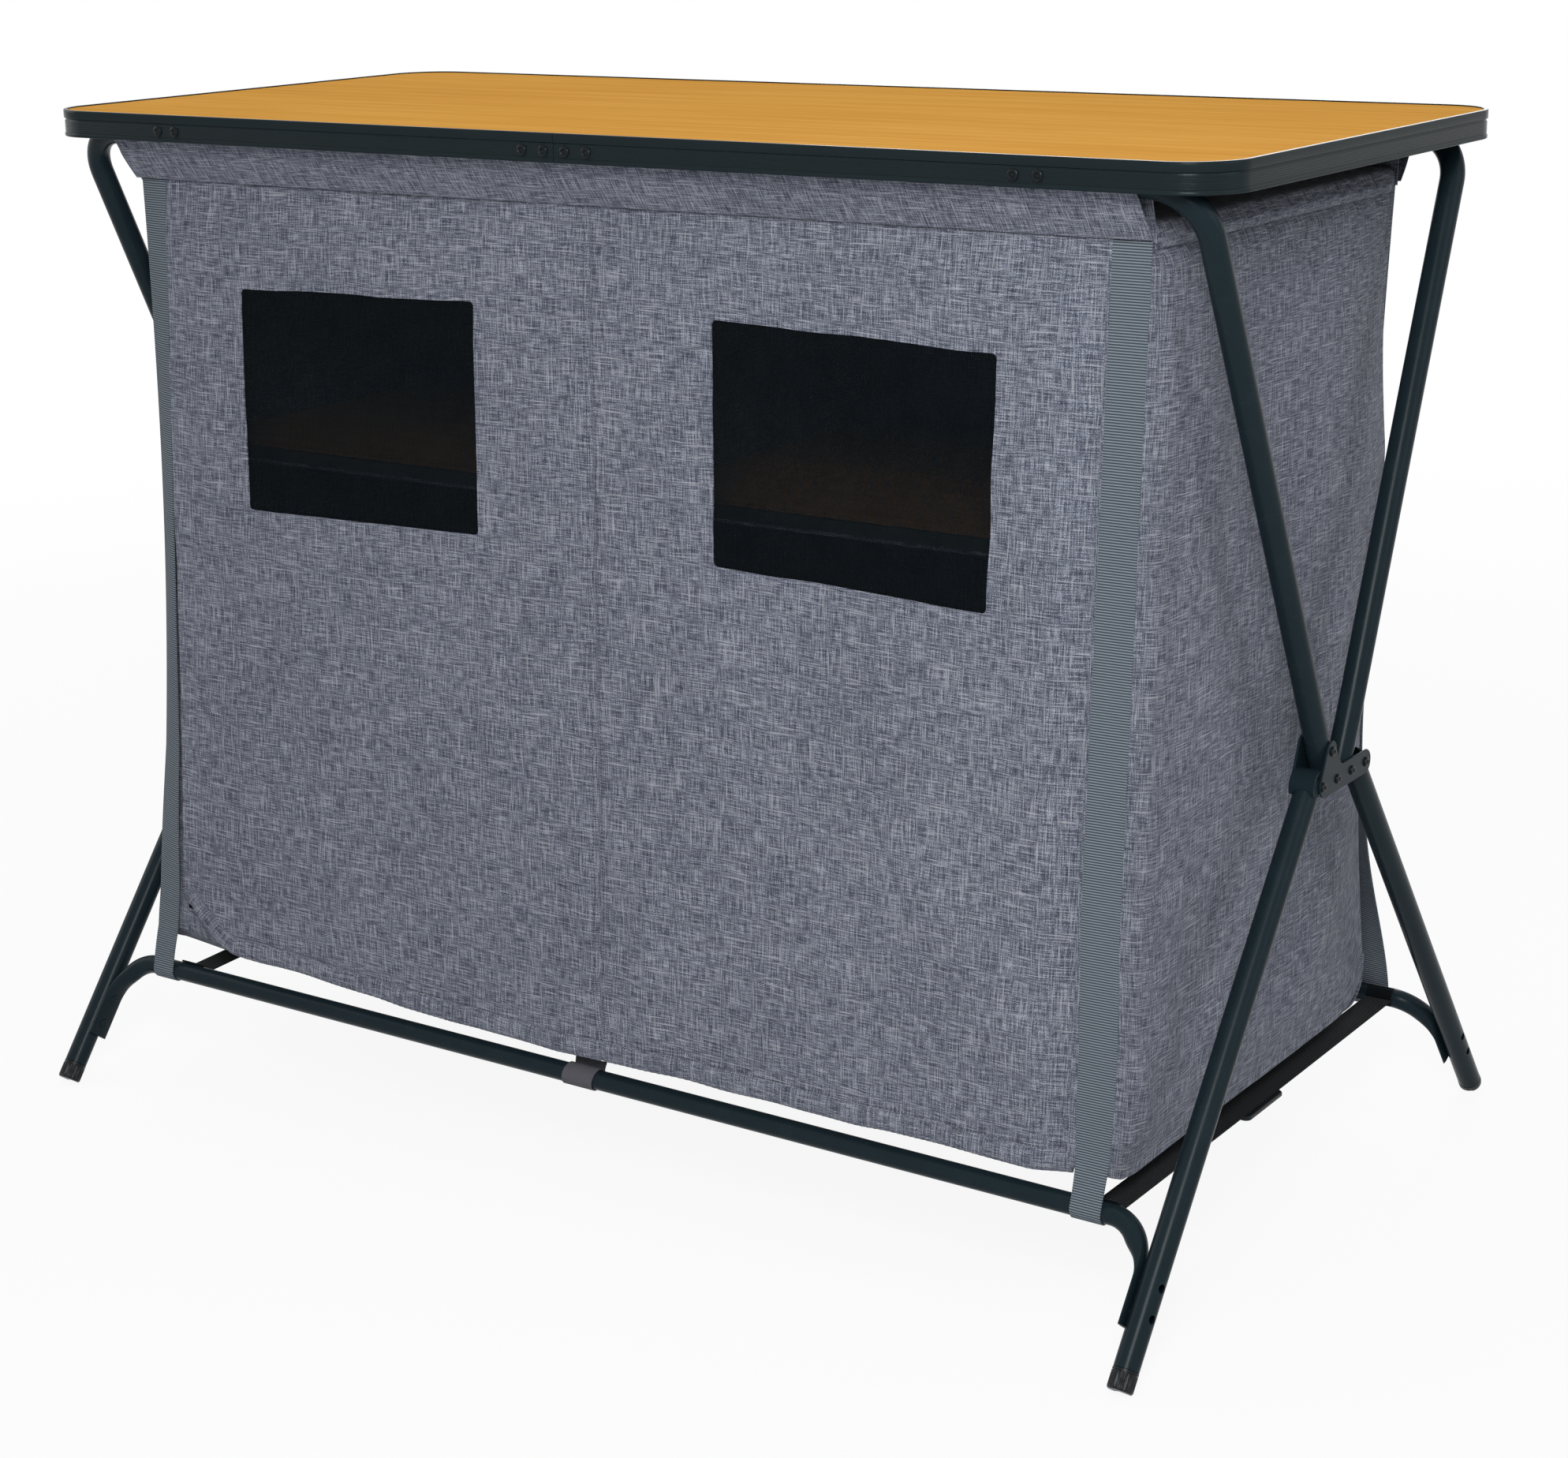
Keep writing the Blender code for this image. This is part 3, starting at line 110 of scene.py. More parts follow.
# Cabinet
SEAM_Y = 0.2242
SEAM_Z = 0.868
HEM_Y = 0.2756
HEM_Z = 0.131
BACK_Y = 0.2225
SIDE_X = 0.5235
SIDE_LOW_Z = 0.1215
CLOTH_LOW_Z = 0.1243
ROOF_Z = 0.8815
ROOF_SKIRT = 0.0195
STRAP_INNER_X = 0.4905
STRAP_WIDTH = 0.033
STRAP_THICKNESS = 0.0012
CLOTH_THICKNESS = 0.0014
SHELF_Z = 0.620

# Both sides along X and both ends along Y, with their names in the nodes
HANDS = ((-1, "left"), (1, "right"))
ENDS = ((-1, "front"), (1, "rear"))

# Studio
SEEN_RAYS = ("Is Camera Ray", "Is Glossy Ray", "Is Transmission Ray")
WHITE = (1.0, 1.0, 1.0, 1.0)


# Numbers on arrays


def lerp(first: Values, second: Values, share: Values) -> Values:
    """The point at a share of the way from the first to the second."""
    return first + (second - first) * share


def rise(low: Values, high: Values, values: Values) -> Values:
    """Smooth step: with t the share from low to high, kept within 0 and 1, 3t² - 2t³."""
    share = np.clip((values - low) / (high - low), 0.0, 1.0)
    return share * share * (3 - 2 * share)


def hump(low: float, high: float, values: Values) -> Values:
    """A hill from low to high: the sine of half a turn, and 0 outside."""
    return np.sin(math.pi * np.clip((values - low) / (high - low), 0.0, 1.0))


def spaced(stops: Sequence[float], step: float) -> Array:
    """Rising numbers that hold every stop, none further apart than the step."""
    parts = [
        np.linspace(a, b, max(1, math.ceil((b - a) / step - 1e-6)) + 1)[:-1]
        for a, b in zip(stops, stops[1:])
    ]
    return np.append(np.concatenate(parts), stops[-1])


def arc(
    centre: Sequence[float], radius: float, start: float, end: float, step: float = ARC_STEP
) -> Array:
    """Points on a circle from one angle to another: centre + radius (cos a, sin a)."""
    angles = np.radians(np.linspace(start, end, max(1, math.ceil(abs(end - start) / step)) + 1))
    return np.asarray(centre) + radius * np.column_stack([np.cos(angles), np.sin(angles)])


def unit(vectors: Array) -> Array:
    """Vectors of length one, along the last axis."""
    return vectors / np.linalg.norm(vectors, axis=-1, keepdims=True)


def walked(line: Array) -> Array:
    """How far along a line each of its points lies."""
    return np.append(0.0, np.cumsum(np.linalg.norm(np.diff(line, axis=0), axis=1)))


def turns(segments: int) -> Array:
    """Equal steps round a full turn, in radians."""
    return np.arange(segments) * 2 * math.pi / segments


def bend(before: Array, corner: Array, after: Array, radius: float) -> Array:
    """Points of the arc that touches both sides of a corner.

    The centre lies on the corner's bisector at radius / sin(half the corner), and the arc
    turns about it from one side's foot to the other's.
    """
    to_before, to_after = unit(before - corner), unit(after - corner)
    half = math.acos(float(np.clip(to_before @ to_after, -1, 1))) / 2
    centre = corner + unit(to_before + to_after) * radius / math.sin(half)
    first = corner + to_before * radius / math.tan(half) - centre
    last = corner + to_after * radius / math.tan(half) - centre
    start, end = (math.degrees(math.atan2(p[1], p[0])) for p in (first, last))
    turn = (end - start + 180) % 360 - 180
    return arc(centre, radius, start, start + turn)


def rounded(
    points: Sequence[Sequence[float]], radii: Sequence[float], closed: bool = False
) -> Array:
    """A line with rounded corners: a radius for each inner point, or for every one if closed."""
    corners = np.asarray(points, float)
    count = len(corners)
    numbers = range(count) if closed else range(1, count - 1)
    parts = [] if closed else [corners[:1]]
    for number, radius in zip(numbers, radii):
        before, after = corners[number - 1], corners[(number + 1) % count]
        parts.append(bend(before, corners[number], after, radius))
    if not closed:
        parts.append(corners[-1:])
    return np.concatenate(parts)


def refined(line: Array, step: float) -> Array:
    """The same line with its own points and more between them, none further apart than the step."""
    lengths = walked(line)
    wanted = np.unique(np.round(spaced(tuple(lengths), step), 7))
    return np.column_stack([np.interp(wanted, lengths, column) for column in line.T])


def tangents(line: Array) -> Array:
    """Unit directions along an open line, from the points before and after each one."""
    steps = unit(np.diff(line, axis=0))
    return unit(np.concatenate([steps[:1], steps[:-1] + steps[1:], steps[-1:]]))


def shrunk(outline: Array, amount: float) -> Array:
    """A closed outline moved inwards, each point along the normal between its two sides."""
    sides = unit(np.roll(outline, -1, axis=0) - outline)
    mean = unit(sides + np.roll(sides, 1, axis=0))
    x, y = outline.T
    turn = np.sign(np.sum(x * np.roll(y, -1) - y * np.roll(x, -1)))
    return outline + amount * turn * np.column_stack([-mean[:, 1], mean[:, 0]])


@dataclass(frozen=True)
class Relief:
    """Smooth random hills: random heights on a lattice, joined by smooth steps.

    The height at a point is the blend of the four lattice heights around it, by the smooth
    step of its place between them.
    """

    size: float
    height: float
    seed: int
    stretch: float = 1.0

    def at(self, a: Array, b: Array) -> Array:
        """Heights for arrays of places along the two directions of the surface."""
        lattice = np.random.default_rng(self.seed).uniform(-1, 1, (LATTICE, LATTICE))
        across = a / self.size + LATTICE // 2
        down = b / (self.size * self.stretch) + LATTICE // 2
        i, j = np.floor(across).astype(int), np.floor(down).astype(int)
        s, t = rise(0, 1, across - i), rise(0, 1, down - j)
        first, second = (
            lerp(lattice[i % LATTICE, row % LATTICE], lattice[(i + 1) % LATTICE, row % LATTICE], s)
            for row in (j, j + 1))
        return self.height * lerp(first, second, t)


@dataclass(frozen=True)
class Fold:
    """One soft fold in cloth: a ridge from start to end that dies out at both ends.

    Its height is height · exp(-(distance / width)²), with the distance to the line through
    both ends, times a hump along the line.
    """

    start: tuple[float, float]
    end: tuple[float, float]
    width: float
    height: float

    def at(self, a: Array, b: Array) -> Array:
        """Heights for arrays of places along the two directions of the surface."""
        run = (self.end[0] - self.start[0], self.end[1] - self.start[1])
        length = math.hypot(*run)
        along = ((a - self.start[0]) * run[0] + (b - self.start[1]) * run[1]) / length
        aside = ((a - self.start[0]) * run[1] - (b - self.start[1]) * run[0]) / length
        return self.height * np.exp(-((aside / self.width) ** 2)) * hump(0, length, along)


# Surfaces


@dataclass
class Patch:
    """A grid of points in rows and columns, with texture coordinates in metres."""

    points: Array
    wrap_rows: bool = False
    wrap_columns: bool = False
    keep: Array | None = None
    uv: Array | None = None

    def measured(self) -> Array:
        """Texture coordinates as the mean lengths walked along the columns and the rows."""
        grid = self.points
        if self.wrap_rows:
            grid = np.concatenate([grid, grid[:1]], axis=0)
        if self.wrap_columns:
            grid = np.concatenate([grid, grid[:, :1]], axis=1)
        across = np.linalg.norm(np.diff(grid, axis=1), axis=2).mean(axis=0)
        down = np.linalg.norm(np.diff(grid, axis=0), axis=2).mean(axis=1)
        u, v = np.append(0.0, np.cumsum(across)), np.append(0.0, np.cumsum(down))
        return np.stack(np.meshgrid(u, v), axis=-1)

    def faces(self) -> tuple[Array, Array, Array]:
        """Corner numbers of every cell in the points, the same in the texture, and the texture."""
        rows, columns = self.points.shape[:2]
        uv = self.measured() if self.uv is None else self.uv
        r, c = np.meshgrid(
            np.arange(rows if self.wrap_rows else rows - 1),
            np.arange(columns if self.wrap_columns else columns - 1),
            indexing="ij",
        )
        steps = ((0, 0), (0, 1), (1, 1), (1, 0))
        corners = np.stack(
            [((r + a) % rows) * columns + (c + b) % columns for a, b in steps], axis=-1)
        texture = np.stack([(r + a) * uv.shape[1] + (c + b) for a, b in steps], axis=-1)
        if self.keep is not None:
            corners, texture = corners[self.keep], texture[self.keep]
        return corners.reshape(-1, 4), texture.reshape(-1, 4), uv.reshape(-1, 2)

    def flat(self) -> tuple[float, float]:
        """Width and length of the cloth: the mean lengths of its rows and of its columns."""
        across = np.linalg.norm(np.diff(self.points, axis=1), axis=2).sum(axis=1).mean()
        down = np.linalg.norm(np.diff(self.points, axis=0), axis=2).sum(axis=0).mean()
        return round(float(across), 3), round(float(down), 3)

    def area(self) -> float:
        """Area of the cells that are kept, from the cross product of their diagonals."""
        corners = self.points.reshape(-1, 3)[self.faces()[0]]
        cross = np.cross(corners[:, 2] - corners[:, 0], corners[:, 3] - corners[:, 1])
        return float(np.linalg.norm(cross, axis=1).sum() / 2)


def assemble(name: str, patches: Sequence[Patch], closed: bool = True) -> bpy.types.Object:
    """One object from several patches, welded, closed if asked, with its faces outwards.

    Args:
        name: name of the piece.
        patches: its surfaces.
        closed: whether open rims are filled and the faces turned outwards.

    Returns:
        The new object, linked to the scene, with no material.
    """
    points, corners, texture = [], [], []
    first = 0
    for patch in patches:
        cells, cells_uv, uv = patch.faces()
        points.append(patch.points.reshape(-1, 3))
        corners.append(cells + first)
        texture.append(uv[cells_uv.ravel()])
        first += len(points[-1])
    quads = np.concatenate(corners)
    mesh = bpy.data.meshes.new(name)
    mesh.vertices.add(first)
    mesh.vertices.foreach_set("co", np.concatenate(points).astype(np.float32).ravel())
    mesh.loops.add(quads.size)
    mesh.loops.foreach_set("vertex_index", quads.astype(np.int32).ravel())
    mesh.polygons.add(len(quads))
    mesh.polygons.foreach_set("loop_start", np.arange(0, quads.size, 4, dtype=np.int32))
    mesh.update(calc_edges=True)
    layer = mesh.uv_layers.new(name="UVMap")
    layer.data.foreach_set("uv", np.concatenate(texture).astype(np.float32).ravel())
    bm = bmesh.new()
    bm.from_mesh(mesh)
    bmesh.ops.remove_doubles(bm, verts=bm.verts, dist=WELD)
    if closed:
        rims = [edge for edge in bm.edges if edge.is_boundary]
        bmesh.ops.holes_fill(bm, edges=rims, sides=0)
        bmesh.ops.triangulate(bm, faces=[face for face in bm.faces if len(face.verts) > 4])
        bmesh.ops.recalc_face_normals(bm, faces=bm.faces)
    bm.to_mesh(mesh)
    bm.free()
    obj = bpy.data.objects.new(name, mesh)
    bpy.context.scene.collection.objects.link(obj)
    return obj


def applied(obj: bpy.types.Object) -> None:
    """Replace an object's mesh by the one that its modifiers give, and drop the modifiers."""
    shape = obj.evaluated_get(bpy.context.evaluated_depsgraph_get())
    mesh = bpy.data.meshes.new_from_object(shape)
    obj.modifiers.clear()
    obj.data = mesh


def thicken(obj: bpy.types.Object, thickness: float) -> None:
    """Give a sheet its thickness, half on each side, with closed edges."""
    wall = obj.modifiers.new("wall", "SOLIDIFY")
    wall.thickness = thickness
    wall.offset = 0
    applied(obj)


def carve(obj: bpy.types.Object, cutters: Sequence[Patch]) -> None:
    """Cut closed surfaces out of a piece."""
    helper = assemble("cutter", cutters)
    cut = obj.modifiers.new("cut", "BOOLEAN")
    cut.operation = "DIFFERENCE"
    cut.solver = "EXACT"
    cut.object = helper
    applied(obj)
    bpy.data.objects.remove(helper)


def soften(obj: bpy.types.Object) -> None:
    """Shade smooth between faces that meet at a shallow angle."""
    obj.data.shade_smooth()
    obj.data.set_sharp_from_angle(angle=math.radians(SHARP_ANGLE))


def lathed(
    profile: Array, start: Sequence[float], axis: Sequence[float], segments: int = ROUND_SEGMENTS
) -> Patch:
    """A profile of (radius, distance) turned about an axis: start + d·axis + r (cos a, sin a)."""
    forward = unit(np.asarray(axis, float))
    along_x = abs(forward[0]) > 0.9
    side = unit(np.cross(forward, (0.0, 0.0, 1.0) if along_x else (1.0, 0.0, 0.0)))
    angles = turns(segments)[:, None]
    ring = np.cos(angles) * side + np.sin(angles) * np.cross(forward, side)
    radius, distance = np.asarray(profile, float).T
    points = np.asarray(start) + distance[:, None, None] * forward + radius[:, None, None] * ring
    return Patch(points, wrap_columns=True)


def rod(
    start: Sequence[float], end: Sequence[float], radius: float, segments: int = ROUND_SEGMENTS
) -> Patch:
    """A closed round bar between two points."""
    axis = np.asarray(end, float) - np.asarray(start, float)
    length = float(np.linalg.norm(axis))
    profile = np.array([(0, 0), (radius, 0), (radius, length), (0, length)])
    return lathed(profile, start, axis, segments)


def tube(line: Array, place: Place, halves: Array) -> Patch:
    """A bent tube in one plane, its outer wall, its inner wall and the rims between them.

    At each point of the line, with t its direction, s the direction square to it in the plane
    and n the plane's normal, a ring is point + thick · cos a · s + wide · sin a · n. The rings
    run out along the outer wall and back along the inner one, which is thinner by the wall.

    Args:
        line: points (x, distance) in the frame's own plane.
        place: turns x and distance into points of the cupboard.
        halves: half thickness in the plane and half width across it, at each point.
    """
    centre = place(line[:, 0], line[:, 1])
    origin, step_x, step_down = place(np.array((0.0, 1.0, 0.0)), np.array((0.0, 0.0, 1.0)))
    across = unit(np.cross(step_x - origin, step_down - origin))
    side = np.cross(across, tangents(centre))
    angles = turns(TUBE_SEGMENTS)[None, :, None]
    walls = []
    for inset in (0.0, TUBE_WALL):
        thick, wide = (halves - inset).T[:, :, None, None]
        walls.append(centre[:, None, :] + thick * np.cos(angles) * side[:, None, :]
                     + wide * np.sin(angles) * across)
    return Patch(np.concatenate([walls[0], walls[1][::-1]]), wrap_rows=True, wrap_columns=True)


def slab(outline: Array, axes: str, start: float, end: float, chamfer: float = 0.0003) -> Patch:
    """A flat outline given a thickness, with its rims broken by a small chamfer.

    The rings are the outline shrunk by the chamfer, twice the outline, and shrunk again.

    Args:
        outline: points in the plane of the first two axes, in order.
        axes: names of the outline's two axes and of the thickness, such as "yzx".
        start: place of one face on the third axis.
        end: place of the other face.
        chamfer: size of the broken rim.
    """
    small = shrunk(outline, chamfer)
    step = math.copysign(chamfer, end - start)
    rings = []
    levels = (start, start + step, end - step, end)
    for shape, level in zip((small, outline, outline, small), levels):
        columns = {axes[0]: shape[:, 0], axes[1]: shape[:, 1], axes[2]: np.full(len(shape), level)}
        rings.append(np.column_stack([columns[name] for name in "xyz"]))
    return Patch(np.array(rings), wrap_columns=True)


def strip(line: Array, edges: tuple[Values, Values], columns: int) -> Patch:
    """A band that follows a line in Y and Z between two edges along X, one pair for each point."""
    near, far = (np.broadcast_to(edge, len(line))[:, None] for edge in edges)
    x = lerp(near, far, np.linspace(0, 1, columns)[None, :])
    y, z = (np.repeat(values[:, None], columns, axis=1) for values in line.T)
    return Patch(np.stack([x, y, z], axis=-1))


# Shader maths


class Number:
    """A value in a shader; sums and products with it add Math nodes."""

    def __init__(self, shader: "Shader", socket: bpy.types.NodeSocket) -> None:
        """Wrap one output socket of a shader."""
        self.shader = shader
        self.socket = socket

    def _with(self, operation: str, *values: "Number | float") -> "Number":
        """The result of a Math node on the values."""
        node = self.shader.node("ShaderNodeMath", {"operation": operation}, dict(enumerate(values)))
        return Number(self.shader, node.outputs[0])

    def __add__(self, other: "Number | float") -> "Number":
        """Sum."""
        return self._with("ADD", self, other)

    def __sub__(self, other: "Number | float") -> "Number":
        """Difference."""
        return self._with("SUBTRACT", self, other)

    def __rsub__(self, other: float) -> "Number":
        """Difference from a plain number."""
        return self._with("SUBTRACT", other, self)

    def __mul__(self, other: "Number | float") -> "Number":
        """Product."""
        return self._with("MULTIPLY", self, other)

    def __truediv__(self, other: "Number | float") -> "Number":
        """Quotient."""
        return self._with("DIVIDE", self, other)

    def wave(self) -> "Number":
        """A sine of an angle in radians, raised to run from 0 to 1."""
        return self._with("SINE", self) * 0.5 + 0.5

    def largest(self, other: "Number | float") -> "Number":
        """The larger of two values."""
        return self._with("MAXIMUM", self, other)

    def stepped(self, low: float, high: float) -> "Number":
        """0 below low, 1 above high and smooth between them."""
        inputs = {"Value": self, "From Min": low, "From Max": high}
        node = self.shader.node("ShaderNodeMapRange", {"interpolation_type": "SMOOTHSTEP"}, inputs)
        return Number(self.shader, node.outputs["Result"])


class Shader:
    """The nodes of one material or world."""

    def __init__(self, owner: bpy.types.Material | bpy.types.World) -> None:
        """Start with no nodes."""
        self.owner = owner
        owner.use_nodes = True
        self.tree = owner.node_tree
        self.tree.nodes.clear()

    @classmethod
    def named(cls, name: str) -> "Shader":
        """The shader of a new material."""
        return cls(bpy.data.materials.new(name))

    def node(self, kind: str, settings: Mapping = {}, inputs: Mapping = {}) -> bpy.types.Node:
        """Add any node.

        Args:
            kind: the node's type.
            settings: its properties, or "stops" for the places and colours of a ramp.
            inputs: a value, socket or Number for each input, by name or number.

        Returns:
            The new node.
        """
        node = self.tree.nodes.new(kind)
        for name, value in settings.items():
            if name == "stops":
                self._stops(node.color_ramp, value)
            else:
                setattr(node, name, value)
        for name, value in inputs.items():
            socket = value.socket if isinstance(value, Number) else value
            if isinstance(socket, bpy.types.NodeSocket):
                self.tree.links.new(socket, node.inputs[name])
            else:
                node.inputs[name].default_value = socket
        return node

    @staticmethod
    def _stops(ramp: bpy.types.ColorRamp, stops: Sequence[tuple[float, Colour]]) -> None:
        """Set the stops of a colour ramp, in order."""
        for number, (position, colour) in enumerate(stops):
            element = ramp.elements[number] if number < 2 else ramp.elements.new(position)
            element.position = position
            element.color = (*colour, 1.0)

    def coordinate(self, kind: str, scale: Sequence[float] = (1, 1, 1)) -> bpy.types.NodeSocket:
        """Texture coordinates of a kind, each axis multiplied by its scale."""
        source = self.node("ShaderNodeTexCoord").outputs[kind]
        inputs = {0: source, 1: tuple(scale)}
        return self.node("ShaderNodeVectorMath", {"operation": "MULTIPLY"}, inputs).outputs[0]

    def axis(self, kind: str, number: int) -> Number:
        """One axis of the texture coordinates of a kind."""
        source = self.node("ShaderNodeTexCoord").outputs[kind]
        node = self.node("ShaderNodeSeparateXYZ", {}, {0: source})
        return Number(self, node.outputs[number])

    def noise(
        self,
        kind: str,
        scale: float | Sequence[float],
        detail: float = 2.0,
        rough: float = 0.5,
        warp: float = 0.0,
    ) -> Number:
        """Soft noise over the texture coordinates of a kind.

        Args:
            kind: kind of the coordinates.
            scale: cells in a metre, along every axis or along each of the three.
            detail: how many finer layers lie on top.
            rough: how strong each finer layer is.
            warp: how far the noise is bent.

        Returns:
            The noise, from 0 to 1.
        """
        scale = (scale,) * 3 if isinstance(scale, (int, float)) else scale
        inputs = {"Vector": self.coordinate(kind, scale), "Scale": 1.0, "Detail": detail,
                  "Roughness": rough, "Distortion": warp}
        return Number(self, self.node("ShaderNodeTexNoise", {}, inputs).outputs[0])

    def mixed(self, first: Tint, second: Tint, share: Number) -> bpy.types.NodeSocket:
        """A blend of two colours."""
        first, second = ((*c, 1.0) if isinstance(c, tuple) else c for c in (first, second))
        node = self.node("ShaderNodeMix", {"data_type": "RGBA"}, {0: share, 6: first, 7: second})
        return node.outputs[2]

    def ramp(self, share: Number, stops: Sequence[tuple[float, Colour]]) -> bpy.types.NodeSocket:
        """Colours along a value."""
        return self.node("ShaderNodeValToRGB", {"stops": stops}, {0: share}).outputs[0]

    def bump(self, height: Number, distance: float, strength: float) -> bpy.types.NodeSocket:
        """A normal raised by a height from 0 to 1, which is the distance in metres."""
        inputs = {"Strength": strength, "Distance": distance, "Height": height}
        return self.node("ShaderNodeBump", {}, inputs).outputs[0]

    def surface(self, inputs: Mapping) -> bpy.types.Material:
        """End the material in one principled shader and return it."""
        shader = self.node("ShaderNodeBsdfPrincipled", {}, inputs)
        self.node("ShaderNodeOutputMaterial", {}, {0: shader.outputs[0]})
        return self.owner

    def seen(self) -> Number:
        """1 for rays of the camera, of reflections and through glass, and 0 for all others."""
        path = self.node("ShaderNodeLightPath")
        camera, glossy, through = (Number(self, path.outputs[name]) for name in SEEN_RAYS)
        return camera.largest(glossy).largest(through)

    def output(
        self, kind: str, share: Number, first: bpy.types.Node, second: bpy.types.Node
    ) -> None:
        """End in a mix of two shaders.

        Args:
            kind: type of the output node.
            share: share of the second shader.
            first: one shader.
            second: the other shader.
        """
        inputs = {0: share, 1: first.outputs[0], 2: second.outputs[0]}
        mix = self.node("ShaderNodeMixShader", {}, inputs)
        self.node(kind, {}, {0: mix.outputs[0]})


# Finishes


class Finish(Protocol):
    """What every finish has: the slot that it stands for, and how its material is made."""

    slot: str

    def material(self) -> bpy.types.Material:
        """Build the finish."""


@dataclass(frozen=True)
class PaintedTube:
    """Satin powder coat in dark green-grey: a fine orange peel and faint rubbed patches."""

    slot: str = "painted_tube"
    colour: Colour = (0.0100, 0.0190, 0.0245)
    rubbed: Colour = (0.0135, 0.0240, 0.0300)

    def material(self) -> bpy.types.Material:
        """Build the finish."""
        shader = Shader.named("painted_tube")
        patches = shader.noise("Object", 38, 4, 0.6).stepped(0.42, 0.78)
        peel = shader.noise("Object", 1100, 1)
        return shader.surface({
            "Base Color": shader.mixed(self.colour, self.rubbed, patches * 0.55),
            "Metallic": 0.0,
            "Specular IOR Level": 0.065,
            "Roughness": patches * 0.06 + 0.25,
            "Normal": shader.bump(peel, 0.00006, 0.6),
        })


@dataclass(frozen=True)
class EdgeAlloy:
    """Dark anodised alloy, drawn in fine streaks along the length of the profile."""

    slot: str = "edge_alloy"
    name: str = "edge_alloy"
    colour: Colour = (0.0080, 0.0140, 0.0165)
    worn: Colour = (0.0175, 0.0255, 0.0285)
    coordinates: str = "UV"
    streaks: tuple[float, float, float] = (2600, 9, 1)

    def material(self) -> bpy.types.Material:
        """Build the finish."""
        shader = Shader.named(self.name)
        streak = shader.noise(self.coordinates, self.streaks, 2, 0.6)
        cloud = shader.noise("Object", 24, 3)
        return shader.surface({
            "Base Color": shader.mixed(self.colour, self.worn, streak * 0.5 + cloud * 0.3),
            "Metallic": 0.1,
            "Specular IOR Level": 0.05,
            "Roughness": streak * 0.10 + 0.19,
            "Normal": shader.bump(streak, 0.00004, 0.5),
        })


@dataclass(frozen=True)
class RivetSteel:
    """Blackened steel with small bright rubs."""

    slot: str = "rivet_steel"
    colour: Colour = (0.0038, 0.0062, 0.0074)
    rubbed: Colour = (0.0110, 0.0145, 0.0155)

    def material(self) -> bpy.types.Material:
        """Build the finish."""
        shader = Shader.named("rivet_steel")
        rub = shader.noise("Object", 420, 3, 0.6).stepped(0.45, 0.75)
        return shader.surface({
            "Base Color": shader.mixed(self.colour, self.rubbed, rub),
            "Metallic": 0.0,
            "Specular IOR Level": 0.14,
            "Roughness": 0.26 - rub * 0.06,
            "Normal": shader.bump(rub, 0.00005, 0.5),
        })


@dataclass(frozen=True)
class MouldedPlastic:
    """Black moulded plastic with a fine eggshell grain."""

    slot: str = "black_plastic"
    colour: Colour = (0.0045, 0.0065, 0.0080)
    scuffed: Colour = (0.0080, 0.0105, 0.0120)

    def material(self) -> bpy.types.Material:
        """Build the finish."""
        shader = Shader.named("black_plastic")
        grain = shader.noise("Object", 1500, 1)
        scuff = shader.noise("Object", 90, 4, 0.6).stepped(0.5, 0.8)
        return shader.surface({
            "Base Color": shader.mixed(self.colour, self.scuffed, scuff * 0.7),
            "Specular IOR Level": 0.20,
            "Roughness": scuff * 0.12 + 0.38,
            "Normal": shader.bump(grain, 0.00003, 0.5),
        })


@dataclass(frozen=True)
class StraightGrain:
    """Satin wood foil with fine straight grain along X, in bands a few millimetres wide."""

    name: str = "worktop_wood"
    slot: str = "worktop_wood"
    dark: Colour = (0.570, 0.264, 0.050)
    middle: Colour = (0.658, 0.328, 0.067)
    light: Colour = (0.738, 0.396, 0.096)
    rough: float = 0.40
    # Painted shade: below a set height the wood turns near-black, standing in for the shade on the
    # board's edges and underside.
    underside_shade: Colour = (0.016, 0.015, 0.014)
    underside_shade_z: float = -1.0

    def material(self) -> bpy.types.Material:
        """Build the finish."""
        shader = Shader.named(self.name)
        fine = shader.noise("Object", (14, 820, 300), 3, 0.6)
        band = shader.noise("Object", (2.6, 105, 40), 3, 0.55, 0.4)
        cloud = shader.noise("Object", (3.0, 6.0, 6.0), 2)
        tone = fine * 0.34 + band * 0.46 + cloud * 0.20
        colour = shader.ramp(tone, ((0.34, self.dark), (0.50, self.middle), (0.66, self.light)))
        pore = shader.noise("Object", (30, 1500, 600), 1).stepped(0.60, 0.72)
        face = shader.mixed(colour, self.dark, pore * 0.35)
        # Painted shade: near-black below the set height, for the shade under the worktop's top
        # face.
        above = shader.axis("Object", 2).stepped(self.underside_shade_z, self.underside_shade_z + 0.0002)
        return shader.surface({
            "Base Color": shader.mixed(self.underside_shade, face, above),
            "Specular IOR Level": 0.0,
            "Roughness": fine * 0.10 + self.rough,
            "Normal": shader.bump(fine - pore * 0.5, 0.00005, 0.5),
        })


